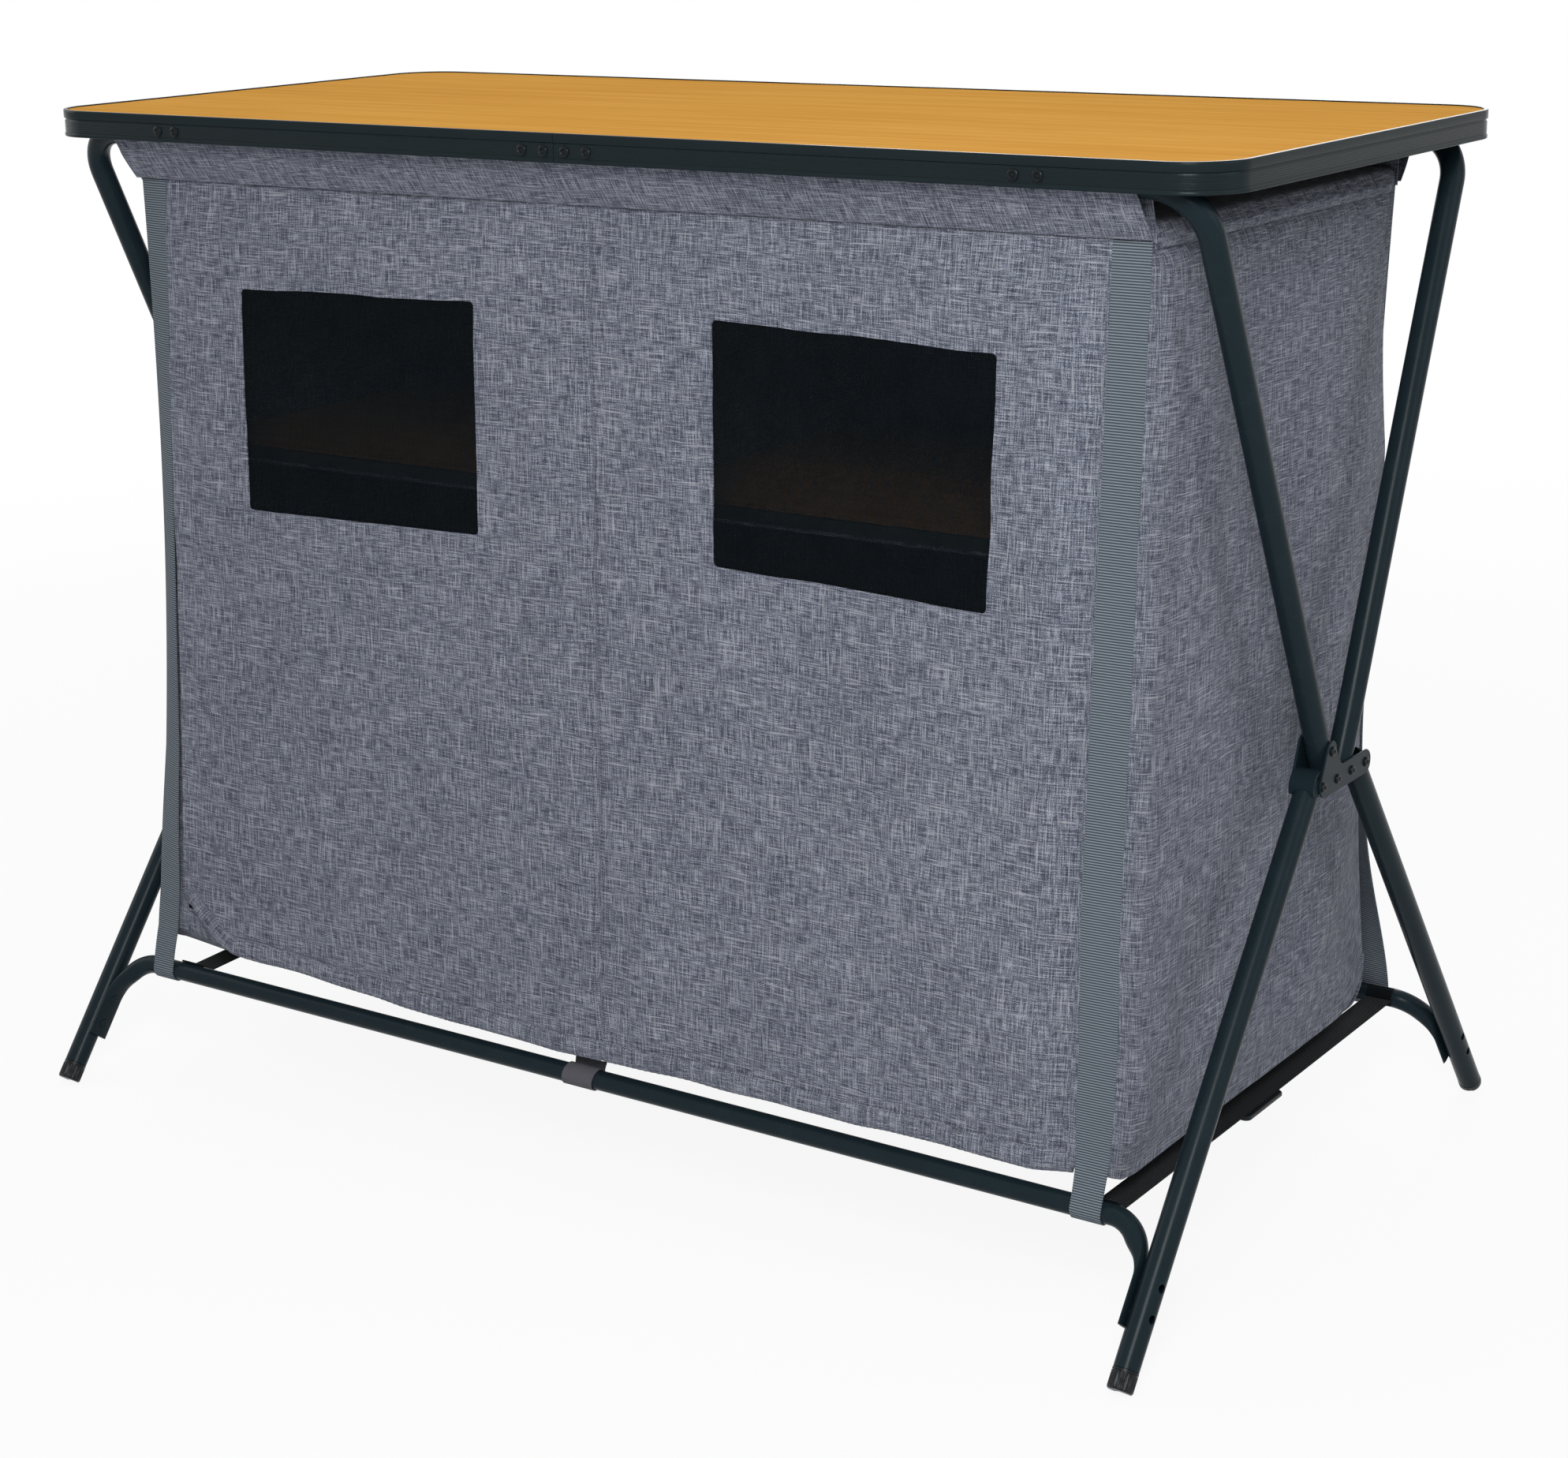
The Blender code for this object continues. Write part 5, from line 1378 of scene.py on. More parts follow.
@dataclass
class Hubs(Assembly):
    """The plates, webs and rivets that join the four tubes at each end."""

    edge_radius: float = 0.0105
    corner_radius: float = 0.0103
    lobe_radius: float = 0.0090
    lock_distance: float = 0.0290
    plate: float = 0.002
    nose: float = 0.0040
    web_inner: float = 0.0118
    web_thickness: float = 0.0018
    web_angles: tuple[float, float] = (75.0, 205.0)
    web_chamfer: float = 0.0003
    plate_chamfer: float = 0.0005
    leg_clearance: float = 0.0005
    lobe_end: float = 160.0
    notch_offset: float = 0.0080
    notch_radius: float = 0.006
    pin_radius: float = 0.0030
    head_radius: float = 0.0041

    def build(self) -> None:
        """Build both hubs."""
        for hand, hand_name in HANDS:
            self._plates(hand, hand_name)
            self._rivets(hand, hand_name)

    def _pivot_y(self, number: int) -> float:
        """Place along Y of a pivot, numbered 1 to 4 from the front."""
        return (number - 2.5) * PIVOT_SPACING

    def _lock(self) -> Array:
        """Place of the rivet on the lobe, in Y and Z."""
        place, _ = upper_place(-1)
        return place(np.array([0.0]), np.array([self.lock_distance]))[0, 1:]

    def _outline(self, nose: float) -> Array:
        """Outline of a plate in Y and Z: a bar round four pivots with a lobe up its front tube."""
        low, high = HUB_Z - self.edge_radius, HUB_Z + self.edge_radius
        front = self._pivot_y(1) - self.edge_radius - nose
        back = self._pivot_y(4) + self.edge_radius
        lobe = arc(self._lock() + (-nose, nose), self.lobe_radius, 0, self.lobe_end)
        notch = (self._pivot_y(2) + self.notch_offset, high)
        points = [lobe[-1], (front, low), (back, low), (back, high), notch, lobe[0]]
        rest = rounded(points, [self.corner_radius] * 3 + [self.notch_radius])
        return np.concatenate([lobe[1:-1], rest])

    def _plates(self, hand: int, hand_name: str) -> None:
        """The outer plate, and the inner one with the web that covers the front leg's end."""
        inner_face, outer_face = HUB_X - TUBE_RADIUS - GAP, HUB_X + TUBE_RADIUS + GAP
        plates = ((0.0, outer_face, outer_face + self.plate),
                  (self.nose, inner_face - self.plate, inner_face))
        outer, inner = (
            slab(self._outline(nose), "yzx", hand * near, hand * far, self.plate_chamfer)
            for nose, near, far in plates)
        self.piece(self.finishes.tube, "root", f"hub_{hand_name}_outer_plate").solid(
            f"hub_outer_plate_{hand_name}", [outer])
        centre = (self._pivot_y(1), HUB_Z)
        start, end = self.web_angles
        web = np.concatenate([
            arc(centre, self.web_inner, start, end),
            arc(centre, self.web_inner + self.web_thickness, end, start),
        ])
        reach = (hand * (inner_face - self.plate / 2), hand * (outer_face - GAP))
        cover = slab(web, "yzx", *reach, self.web_chamfer)
        obj = assemble(f"hub_web_{hand_name}", [cover])
        first, last = (at_leg(-1, hand * HUB_X, distance) for distance in (0.0, 4 * TUBE_RADIUS))
        carve(obj, [rod(first, last, TUBE_RADIUS + self.leg_clearance, 48)])
        self.piece(self.finishes.tube, "root").dress(obj)
        self.piece(self.finishes.tube, "root", f"hub_{hand_name}_inner_plate").solid(
            f"hub_inner_plate_{hand_name}", [inner])

    def _rivets(self, hand: int, hand_name: str) -> None:
        """The five rivets, each with a hollow end in a ring at both plates."""
        half = TUBE_RADIUS + 2 * GAP + self.plate
        head = self.head_radius
        cap = [(0, 0.0004), (head * 0.34, 0.0004), (head * 0.42, 0.0012), (head * 0.55, 0.0016),
               (head * 0.78, 0.0016), (head * 0.95, 0.0011), (head, 0.0005), (head, 0.0),
               (self.pin_radius, 0.0)]
        profile = [(r, -half - d) for r, d in cap] + [(r, half + d) for r, d in cap[::-1]]
        names = {"front_leg_pin": 1, "front_upper_pin": 2, "rear_upper_pin": 3, "rear_leg_pin": 4}
        places = [(self._pivot_y(number), HUB_Z) for number in names.values()]
        places.append(tuple(self._lock()))
        patches = [lathed(np.array(profile), (hand * HUB_X, y, z), (1, 0, 0)) for y, z in places]
        nodes = [f"hub_{hand_name}_{name}" for name in (*names, "lock_pin")]
        self.piece(self.finishes.rivet, "root", *nodes).solid(f"hub_rivets_{hand_name}", patches)


# Cabinet


FRONT_LENGTH = math.hypot(HEM_Y - SEAM_Y, SEAM_Z - HEM_Z)
FRONT_DOWN = np.array((-(HEM_Y - SEAM_Y) / FRONT_LENGTH, -(SEAM_Z - HEM_Z) / FRONT_LENGTH))
FRONT_IN = np.array((-FRONT_DOWN[1], FRONT_DOWN[0]))
FRONT_OUT = np.array((0.0, -FRONT_IN[0], -FRONT_IN[1]))


def on_front(x: Values, below: Values, inside: Values) -> Array:
    """Points by x, the distance down the sloping front from its seam, and the depth inwards."""
    y = -SEAM_Y + FRONT_DOWN[0] * below + FRONT_IN[0] * inside
    z = SEAM_Z + FRONT_DOWN[1] * below + FRONT_IN[1] * inside
    return np.stack(np.broadcast_arrays(x, y, z), axis=-1)


def slope(z: Values) -> Values:
    """Distance down the sloping front to a height."""
    return (SEAM_Z - z) / -FRONT_DOWN[1]


def front_y(z: Values, inside: float) -> Values:
    """Where the sloping front stands at a height, at a depth inwards."""
    top_y, drop = -SEAM_Y + FRONT_IN[0] * inside, z - SEAM_Z - FRONT_IN[1] * inside
    return top_y + drop * FRONT_DOWN[0] / FRONT_DOWN[1]


def corner_lift(distance: Array, radius: float) -> Array:
    """How far a rounded corner lifts an edge at a distance from it: r - √(r² - (r - d)²)."""
    inside = np.clip(radius - distance, 0.0, radius)
    return radius - np.sqrt(radius**2 - inside**2)


@dataclass
class Stitches:
    """A row of stitches on a surface: short rods with six sides, one after another."""

    pitch: float = 0.0034
    length: float = 0.0024
    width: float = 0.0007
    height: float = 0.0005

    def along(self, line: Array, outwards: Array) -> Patch:
        """Stitches along a line of points, raised along the outward directions.

        Each stitch is two rings of four corners at its ends and one fuller ring in the
        middle, all placed at once from the line's lengths.
        """
        lengths = walked(line)
        count = int(lengths[-1] / self.pitch)
        middle = (np.arange(count) + 0.5) * lengths[-1] / count
        parts = middle[:, None] + np.array((-0.5, -0.25, 0.25, 0.5)) * self.length
        centre = np.stack([np.interp(parts, lengths, column) for column in line.T], axis=-1)
        out = np.stack([np.interp(parts, lengths, column) for column in outwards.T], axis=-1)
        way = np.gradient(centre, axis=1)
        side = unit(np.cross(way, out))
        full = np.array((0.15, 1.0, 1.0, 0.15))[None, :, None]
        corners = [
            centre + side * self.width / 2 * full,
            centre + out * self.height * full,
            centre - side * self.width / 2 * full,
            centre - out * self.height * full,
        ]
        points = np.stack(corners, axis=2)
        rows = points.reshape(count * 4, 4, 3)
        keep = np.ones((count * 4 - 1, 4), bool)
        keep[3::4] = False
        return Patch(rows, wrap_columns=True, keep=keep)


@dataclass
class FrontFlap(Assembly):
    """The front cloth with its centre seam, two net windows and a gathered hem."""

    half_width: float = 0.490
    right_corner: float = 0.006
    left_reach: float = 0.060
    left_lift: float = 0.047
    hem_line: tuple[tuple[float, ...], ...] = (
        (-0.490, -0.385, -0.333, -0.284, -0.096, -0.051, 0.037, 0.082, 0.386, 0.460, 0.490),
        (0.1423, 0.1415, 0.1387, 0.1360, 0.1303, 0.1287, 0.1321, 0.1327, 0.1327, 0.1316, 0.1316),
    )
    window_x: tuple[float, float] = (0.125, 0.3975)
    window_z: tuple[float, float] = (0.779, 0.578)
    window_corner: float = 0.0045
    tilt_line: tuple[tuple[float, ...], ...] = (
        (-0.490, -0.390, -0.125, 0.0, 0.130, 0.397, 0.490),
        (-0.0030, -0.0034, 0.0020, 0.0040, 0.0047, -0.0028, -0.0030),
    )
    hem_width: float = 0.018
    hem_section: tuple[tuple[float, ...], ...] = (
        (1.0, 0.86, 0.6, 0.3, 0.08, -0.02, 0.08, 0.3, 0.6, 0.9),
        (0.0004, 0.0022, 0.0028, 0.0026, 0.0018, 0.0, -0.0011, -0.0012, -0.0012, -0.0011),
    )
    hem_step: float = 0.0013
    hem_thickness: float = 0.0008
    gather: float = 0.0009
    gather_wave: float = 0.0068
    cell: float = 0.0062
    inside: float = 0.0008
    thickness: float = 0.0012
    net_inside: float = 0.0018
    net_edge: float = 0.007
    net_thickness: float = 0.0003
    stand_off: float = 0.0045
    swell: float = 0.0030
    relief_share: float = 0.55
    right_sink: float = 0.0125
    right_sink_x: tuple[float, float] = (0.452, 0.494)
    left_sink: float = 0.0040
    left_sink_x: tuple[float, float] = (-0.440, -0.490)
    seam_depth: float = 0.0022
    seam_width: float = 0.0022
    seam_stitches: float = 0.0045
    stitch_gap: float = 0.0012
    keep_below: float = 0.02
    drift: float = 0.0275
    drift_power: float = 0.8
    drift_left: float = 0.2
    drift_at_seam: float = -0.0020
    drift_past_seam: float = 0.0025
    folds: tuple[Fold, ...] = (
        Fold((0.47, 0.42), (0.10, 0.73), 0.030, 0.0034),
        Fold((0.48, 0.56), (0.26, 0.74), 0.020, 0.0030),
        Fold((0.30, 0.47), (0.49, 0.70), 0.022, 0.0026),
        Fold((0.06, 0.52), (0.035, 0.75), 0.016, 0.0034),
        Fold((-0.03, 0.50), (0.005, 0.75), 0.014, 0.0030),
        Fold((-0.48, 0.40), (-0.25, 0.74), 0.030, 0.0034),
        Fold((-0.46, 0.58), (-0.36, 0.74), 0.016, 0.0026),
        Fold((-0.34, 0.30), (-0.30, 0.66), 0.022, 0.0020),
        Fold((0.06, 0.02), (0.09, 0.36), 0.018, 0.0016),
        Fold((-0.07, 0.03), (-0.05, 0.44), 0.018, 0.0016),
        Fold((0.42, 0.03), (0.44, 0.40), 0.016, 0.0018),
        Fold((-0.45, 0.03), (-0.43, 0.36), 0.014, 0.0018),
    )
    broad: Relief = Relief(0.150, 0.0026, 11, 1.4)
    small: Relief = Relief(0.040, 0.0007, 12, 1.6)
    edge_wave: Relief = Relief(0.045, 0.0011, 13)

    def bulge(self, x: Array, s: Array) -> Array:
        """How far the cloth stands out.

        The stand-off, plus a swell of one hump across times one down, plus a share of the
        relief, plus the folds, less a sink towards both ends, all fading to 0 at the seam
        above; less the centre seam, a groove of depth · exp(-(x / width)²).
        """
        free = rise(0.0, 0.05, s)
        wide = hump(-self.half_width, self.half_width, x)
        swell = self.swell * wide * hump(0.0, FRONT_LENGTH + 0.15, s)
        relief = self.broad.at(x, s) + self.small.at(x, s) + self.broad.height + self.small.height
        folds = sum(fold.at(x, s) for fold in self.folds)
        ends = self.right_sink * rise(*self.right_sink_x, x)
        ends = ends + self.left_sink * rise(*self.left_sink_x, x)
        seam = self.seam_depth * np.exp(-((x / self.seam_width) ** 2)) * rise(0.0, 0.02, s)
        return free * (self.stand_off + swell + self.relief_share * relief + folds - ends) - seam

    def low(self, x: Array) -> Array:
        """Distance down to the edge of the cloth.

        The hem's own line, less a lift at the left that grows as the power 1.5 of the nearness
        to the corner, and a small rounded corner at the right.
        """
        return self._edge(x) - corner_lift(self.half_width - x, self.right_corner)

    def _edge(self, x: Array) -> Array:
        """Distance down to the hem, with the lift at its left corner."""
        near = np.clip(1 - (self.half_width + x) / self.left_reach, 0, 1)
        return slope(np.interp(x, *self.hem_line)) - self.left_lift * near**1.5

    def surface(self, x: Array, s: Array, inside: float) -> Array:
        """Points of the cloth: the flat front, moved out by the bulge and drawn a little sideways.

        Everything drifts to the right on its way down, by the drift times a power of the share
        of the way, fully in the middle and hardly at the edges. The windows also tilt, by a
        line of heights along X that holds between the top and the middle.
        """
        share = np.clip(s / FRONT_LENGTH, 0.0, 1.0)
        seam = self.drift_at_seam + self.drift_past_seam * rise(0.0, 0.05, s)
        left = lerp(self.drift_left, 1.0, rise(-0.495, -0.36, x))
        drift = (self.drift * share**self.drift_power + seam) * left * (1 - rise(0.13, 0.46, x))
        tilt = np.interp(x, *self.tilt_line) * rise(0.0, 0.06, s) * (1 - rise(0.32, 0.60, s))
        free = rise(0.02, 0.06, s)
        wave, wave_down = self.edge_wave.at(x, s) * free, self.edge_wave.at(s + 3.0, x) * free
        return on_front(x + drift + wave, s - tilt + wave_down, inside - self.bulge(x, s))

    def build(self) -> None:
        """Build the flap, its hem, nets and stitching."""
        hem = self._hem()
        stitching = self._stitching()
        near, far, radius = *self.window_x, self.window_corner
        half = (0.003, 0.006, near, near + radius, far - radius, far,
                self.half_width - 0.006, self.half_width)
        x = spaced((*(-value for value in half[::-1]), 0.0, *half), self.cell)
        top, bottom = (float(slope(z)) for z in self.window_z)
        stops = (-0.0015, 0.0, 0.012, top, top + radius, bottom - radius, bottom, FRONT_LENGTH)
        s = spaced(stops, self.cell)
        across, down = np.meshgrid(x, s)
        keep_top = bottom + self.keep_below
        stretch = (self.low(across) - keep_top) / (FRONT_LENGTH - keep_top)
        warped = np.where(down > keep_top, keep_top + (down - keep_top) * stretch, down)
        mid_x, mid_s = (x[:-1] + x[1:]) / 2, (s[:-1] + s[1:]) / 2
        in_x = (np.abs(mid_x) > near) & (np.abs(mid_x) < far)
        in_s = (mid_s > top) & (mid_s < bottom)
        patch = Patch(
            self.surface(across, warped, self.inside),
            keep=~(in_s[:, None] & in_x[None, :]),
            uv=np.stack([across, warped], axis=-1),
        )
        corners = [self._fillet(hand * place, s_place, hand * way, s_way)
                   for hand, _ in HANDS for place, way in ((near, 1), (far, -1))
                   for s_place, s_way in ((top, 1), (bottom, -1))]
        self.piece(self.finishes.cloth, "door", "door_flap").cloth(
            "front_flap", [patch, *corners], Held.HUNG, ["collar_front_sleeve"], self.thickness,
            [hem, stitching])
        for hand, hand_name in HANDS:
            self._net(hand, hand_name, top, bottom)

    def _fillet(self, x: float, s: float, x_way: int, s_way: int) -> Patch:
        """The cloth that rounds one corner of a window.

        A fan from the corner to the quarter circle whose centre lies one radius inside it.
        """
        angles = np.radians(np.linspace(0.0, 90.0, 6))
        radius = self.window_corner
        arc_x = x + x_way * radius * (1 - np.sin(angles))
        arc_s = s + s_way * radius * (1 - np.cos(angles))
        across = np.stack([np.full_like(arc_x, x), arc_x])
        down = np.stack([np.full_like(arc_s, s), arc_s])
        return Patch(self.surface(across, down, self.inside), uv=np.stack([across, down], axis=-1))

    def _net(self, hand: int, hand_name: str, top: float, bottom: float) -> None:
        """The net behind one window, wider than it by a hidden edge."""
        edge = self.net_edge
        near, far = self.window_x[0] - edge, self.window_x[1] + edge
        xs = spaced((near, far) if hand > 0 else (-far, -near), self.cell)
        x, s = np.meshgrid(xs, spaced((top - edge, bottom + edge), self.cell))
        self.piece(self.finishes.net, "door", f"mesh_window_{hand_name}").cloth(
            f"window_net_{hand_name}", [Patch(self.surface(x, s, self.net_inside))], Held.STRETCHED,
            ["front_flap"], self.net_thickness)

    def _hem(self) -> bpy.types.Object:
        """The folded edge along the bottom and up the left corner.

        Its section goes down in front of the edge, round it and up behind, and is gathered
        by a short wave along the hem that is strongest at the stitching.
        """
        left, right = -self.half_width, self.half_width - self.stitch_gap
        x = spaced((left, left + self.left_reach, right), self.hem_step)
        edge = np.column_stack([x, self._edge(x)])
        way = tangents(edge)
        upward = np.column_stack([way[:, 1], -way[:, 0]]) * np.sign(way[:, :1] + 1e-9)
        share, out = np.array(self.hem_section)
        gather = self.gather * np.sin(2 * math.pi * x / self.gather_wave + 2.2 * np.sin(x * 37))
        gather = gather * (0.45 + 0.55 * np.sin(x * 11 + 1) ** 2)
        spot = edge[:, None, :] + self.hem_width * share[None, :, None] * upward[:, None, :]
        base = self.surface(spot[..., 0], spot[..., 1], self.inside)
        lift = out[None, :] + gather[:, None] * np.where(out > 0, 1.0, 0.4)[None, :]
        points = base + lift[..., None] * FRONT_OUT
        return self.piece(self.finishes.cloth, "door").cloth(
            "front_flap_hem", [Patch(points)], Held.FOLDED, ["front_flap"], self.hem_thickness)

    def _stitching(self) -> bpy.types.Object:
        """Rows of stitches above the hem and beside the centre seam."""
        lines = [
            np.column_stack([np.full(180, offset), np.linspace(0.014, FRONT_LENGTH - 0.02, 180)])
            for offset in (-self.seam_stitches, self.seam_stitches)
        ]
        x = np.linspace(-self.half_width + 0.03, self.half_width - 0.008, 260)
        lines.append(np.column_stack([x, self.low(x) - self.hem_width - self.stitch_gap]))
        patches = []
        for line in lines:
            spots = self.surface(line[:, 0], line[:, 1], self.inside - 0.0007)
            patches.append(Stitches().along(spots, np.broadcast_to(FRONT_OUT, spots.shape)))
        return self.piece(self.finishes.thread, "door").solid("front_flap_stitching", patches)


@dataclass(frozen=True)
class Bow:
    """How a front strap is drawn back: how deep, up to what height, and its pinch at the rail."""

    depth: float
    top: float
    pinch: float


class Drawn(Enum):
    """The bows of the two front straps."""

    LEFT = Bow(0.0165, 0.90, 0.0078)
    RIGHT = Bow(0.0024, 0.64, 0.0055)

    @classmethod
    def at(cls, hand: int) -> Bow:
        """The bow of one hand."""
        return (cls.LEFT if hand < 0 else cls.RIGHT).value


@dataclass
class Cabinet(Assembly):
    """Side, back, floor, roof, partition and shelf cloths, and the collars that hang them."""

    corner: float = 0.030
    corner_strip: float = 0.017
    side_top: float = ROOF_Z - ROOF_SKIRT - GAP
    side_x: float = 0.5226
    floor_x: float = 0.5228
    back_y: float = BACK_Y - 0.0008
    lower_pull: float = 0.013
    upper_pull: float = 0.006
    sides_relief: tuple[Relief, ...] = (
        Relief(0.130, 0.0030, 21, 1.8), Relief(0.045, 0.0011, 22, 2.4))
    back_relief: tuple[Relief, ...] = (
        Relief(0.160, 0.0022, 31, 1.2), Relief(0.050, 0.0007, 32, 1.5))
    relief_share: float = 0.6
    roof_relief: Relief = Relief(0.07, 0.0011, 61)
    floor_relief: Relief = Relief(0.09, 0.0012, 41)
    partition_relief: Relief = Relief(0.11, 0.0012, 51, 1.6)
    side_folds: tuple[Fold, ...] = (
        Fold((0.070, 0.03), (0.095, 0.60), 0.018, 0.0026),
        Fold((0.095, 0.02), (0.130, 0.50), 0.022, 0.0030),
        Fold((0.02, 0.05), (0.24, 0.34), 0.026, 0.0030),
        Fold((0.42, 0.10), (0.33, 0.52), 0.030, 0.0030),
        Fold((0.10, 0.62), (0.30, 0.72), 0.024, 0.0034),
        Fold((0.44, 0.56), (0.30, 0.70), 0.024, 0.0026),
        Fold((-0.03, 0.233), (0.15, 0.254), 0.006, -0.0036),
        Fold((-0.03, 0.494), (0.14, 0.509), 0.007, -0.0034),
        Fold((0.01, 0.60), (0.07, 0.73), 0.011, 0.0040),
        Fold((0.03, 0.58), (0.15, 0.72), 0.010, 0.0036),
    )
    back_folds: tuple[Fold, ...] = (
        Fold((-0.40, 0.28), (-0.16, 0.62), 0.030, 0.0030),
        Fold((0.38, 0.30), (0.12, 0.64), 0.030, 0.0030),
        Fold((0.25, 0.02), (0.32, 0.22), 0.024, 0.0022),
        Fold((-0.30, 0.03), (-0.22, 0.20), 0.024, 0.0022),
    )
    back_seam: float = 0.0010
    upright_width: float = 0.003
    level_width: float = 0.005
    level_z: float = 0.6125
    shelf_middle_z: float = 0.6165
    shelf_half: float = 0.006
    left_lift: float = 0.026
    right_lift: float = 0.014
    lift_reach: float = 0.052
    rear_lift: float = 0.024
    rear_reach: float = 0.062
    strip_rise: float = 0.40
    strip_sink: float = 0.45
    strip_fade: tuple[float, float] = (0.03, 0.13)
    top_pinch: float = 0.0024
    floor_share: float = 0.2
    floor_fade: float = 0.045
    strip_soft: float = 0.0022
    front_turn: float = 0.016
    rear_turn: float = 0.060
    side_swell: float = 0.004
    flange_x: float = 0.4860
    flange_in: float = 0.0032
    floor_lip_z: float = 0.168
    floor_sag: float = 0.0040
    shelf_front_y: float = -0.2000
    shelf_cloth_x: tuple[float, float] = (0.0018, 0.5206)
    lining: float = 0.0012
    roof_bend: float = 0.0055
    roof_sag: float = 0.0035
    roof_cell: float = 0.0085
    skirt_bell: float = 0.0042
    pucker: float = 0.0007
    pucker_wave: float = 0.0115
    collar_end_x: float = 0.5247
    collar_end_wave: float = 0.0006
    collar_cut: float = 0.0195
    front_opening_z: tuple[float, float] = (0.908, 0.903)
    rear_opening_z: tuple[float, float] = (0.9165, 0.9165)
    thin: float = 0.0010

    def build(self) -> None:
        """Build every cloth piece of the cabinet."""
        for hand, hand_name in HANDS:
            self._side(hand, hand_name)
            self._shelf_cloth(hand, hand_name)
        self._back()
        self._floor()
        self._partition()
        self._roof()
        for side, end in ENDS:
            self._collar(side, end)

    def front_edge(self, hand: int, z: Array) -> tuple[Array, Array]:
        """The corner that the strap and the side share: x, and depth behind the front."""
        bow = Drawn.at(hand)
        depth = bow.depth * hump(0.10, bow.top, z) ** 0.8
        angle = np.arcsin(depth / STRAP_WIDTH)
        return STRAP_INNER_X + STRAP_WIDTH * np.cos(angle) + self.low_shift(z), depth

    def low_shift(self, z: Array) -> Array:
        """How far the strap stands outwards near its foot."""
        return 0.0035 * hump(0.112, 0.330, z)

    def rear_x(self, z: Array) -> Array:
        """How far out the rear corner stands: drawn in above and below the shelf."""
        lower = self.lower_pull * hump(0.13, 0.595, z) ** 1.2
        upper = self.upper_pull * hump(0.64, 0.862, z)
        return self.side_x - lower - upper

    def _side_rows(self, hand: int, share: Array) -> Array:
        """Heights of the points of a side cloth, in rows down to a bottom edge.

        The edge lifts at both corners by lift · (1 - distance / reach)².
        """
        depth = BACK_Y - front_y(CLOTH_LOW_Z, 0.0023)
        front_lift = self.left_lift if hand < 0 else self.right_lift
        lift = front_lift * np.clip(1 - share * depth / self.lift_reach, 0, 1) ** 2
        lift = lift + self.rear_lift * np.clip(1 - (1 - share) * depth / self.rear_reach, 0, 1) ** 2
        rows = spaced((0.0, 0.004, 0.010, 0.05, 0.95, 1.0), 0.011)[:, None]
        return self.side_top + rows * (CLOTH_LOW_Z + lift[None, :] - self.side_top)

    def _side_x(self, z: Array, edge_x: Array, from_front: Array, from_back: Array) -> Array:
        """How far out a side cloth stands, without its folds.

        It steps in to the front edge and to the rear corner by exp(-(distance / turn)²). The
        strip behind its front corner rises evenly up to a soft end: with p its width less the
        distance, width - soft · ln(1 + exp(p / soft)). The top is drawn in by exp(-depth).

        Args:
            z: heights of the points.
            edge_x: where the front edge stands.
            from_front: distances behind the front edge.
            from_back: distances before the back.
        """
        past = (self.corner_strip - from_front) / self.strip_soft
        strip_end = self.corner_strip - self.strip_soft * np.logaddexp(0.0, past)
        sink = 1 - self.strip_sink * rise(*self.strip_fade, from_front)
        out = self.strip_rise * strip_end * sink
        out = out * rise(0.862, 0.85, z) * rise(0.0, 0.10, from_back) * self._above_floor(z)
        out = out - self.top_pinch * np.exp(-(self.side_top - z) / 0.004)
        near_front = np.exp(-((from_front / self.front_turn) ** 2))
        near_back = np.exp(-((from_back / self.rear_turn) ** 2))
        x = self.side_x - (self.side_x - edge_x) * near_front + out
        return x - (self.side_x - self.rear_x(z)) * near_back

    def _above_floor(self, z: Array) -> Array:
        """Share of the side's relief at a height: it grows above the floor cloth."""
        return lerp(self.floor_share, 1.0, rise(0.0, self.floor_fade, z - CLOTH_LOW_Z))

    def _side(self, hand: int, hand_name: str) -> None:
        """One side cloth, turned round the front corner behind the strap.

        Across, the first columns are the turned edge and the rest the side, from the sloping
        front to the back. Relief, folds and a broad swell stand out between the seams.
        """
        share = spaced((0.0, 0.02, 0.08, 0.92, 1.0), 0.016)
        z = self._side_rows(hand, share)
        edge_x, edge_in = self.front_edge(hand, z)
        near = front_y(z, 0.0) + edge_in
        y = lerp(near, self.back_y, share[None, :])
        from_front, from_back, below = y - near, self.back_y - y, self.side_top - z
        relief = sum(r.at(y + 2.0 * hand, below) + r.height for r in self.sides_relief)
        folds = sum(fold.at(from_front, below) for fold in self.side_folds)
        bulge = self.relief_share * relief + folds
        bulge = bulge + self.side_swell * hump(0.0, 0.75, below) * hump(0.0, 0.5, from_front)
        free = rise(self.side_top, self.side_top - 0.05, z)
        free = free * rise(0.0, 0.03, from_front) * rise(0.0, 0.03, from_back)
        x = self._side_x(z, edge_x, from_front, from_back) + free * self._above_floor(z) * bulge
        side = np.stack([hand * x, y, z], axis=-1)
        turn = np.linspace(0, 1, 6)[None, :-1]
        flange_x = lerp(self.flange_x, edge_x[:, :1], turn)
        flange_in = lerp(self.flange_in, edge_in[:, :1] + 0.0018, turn)
        flange = on_front(hand * flange_x, slope(z[:, :1]), flange_in)
        points = np.concatenate([flange, side], axis=1)
        self.piece(self.finishes.cloth, "root", f"cloth_side_{hand_name}").cloth(
            f"side_cloth_{hand_name}", [Patch(points)], Held.HUNG, ["roof_cloth"])

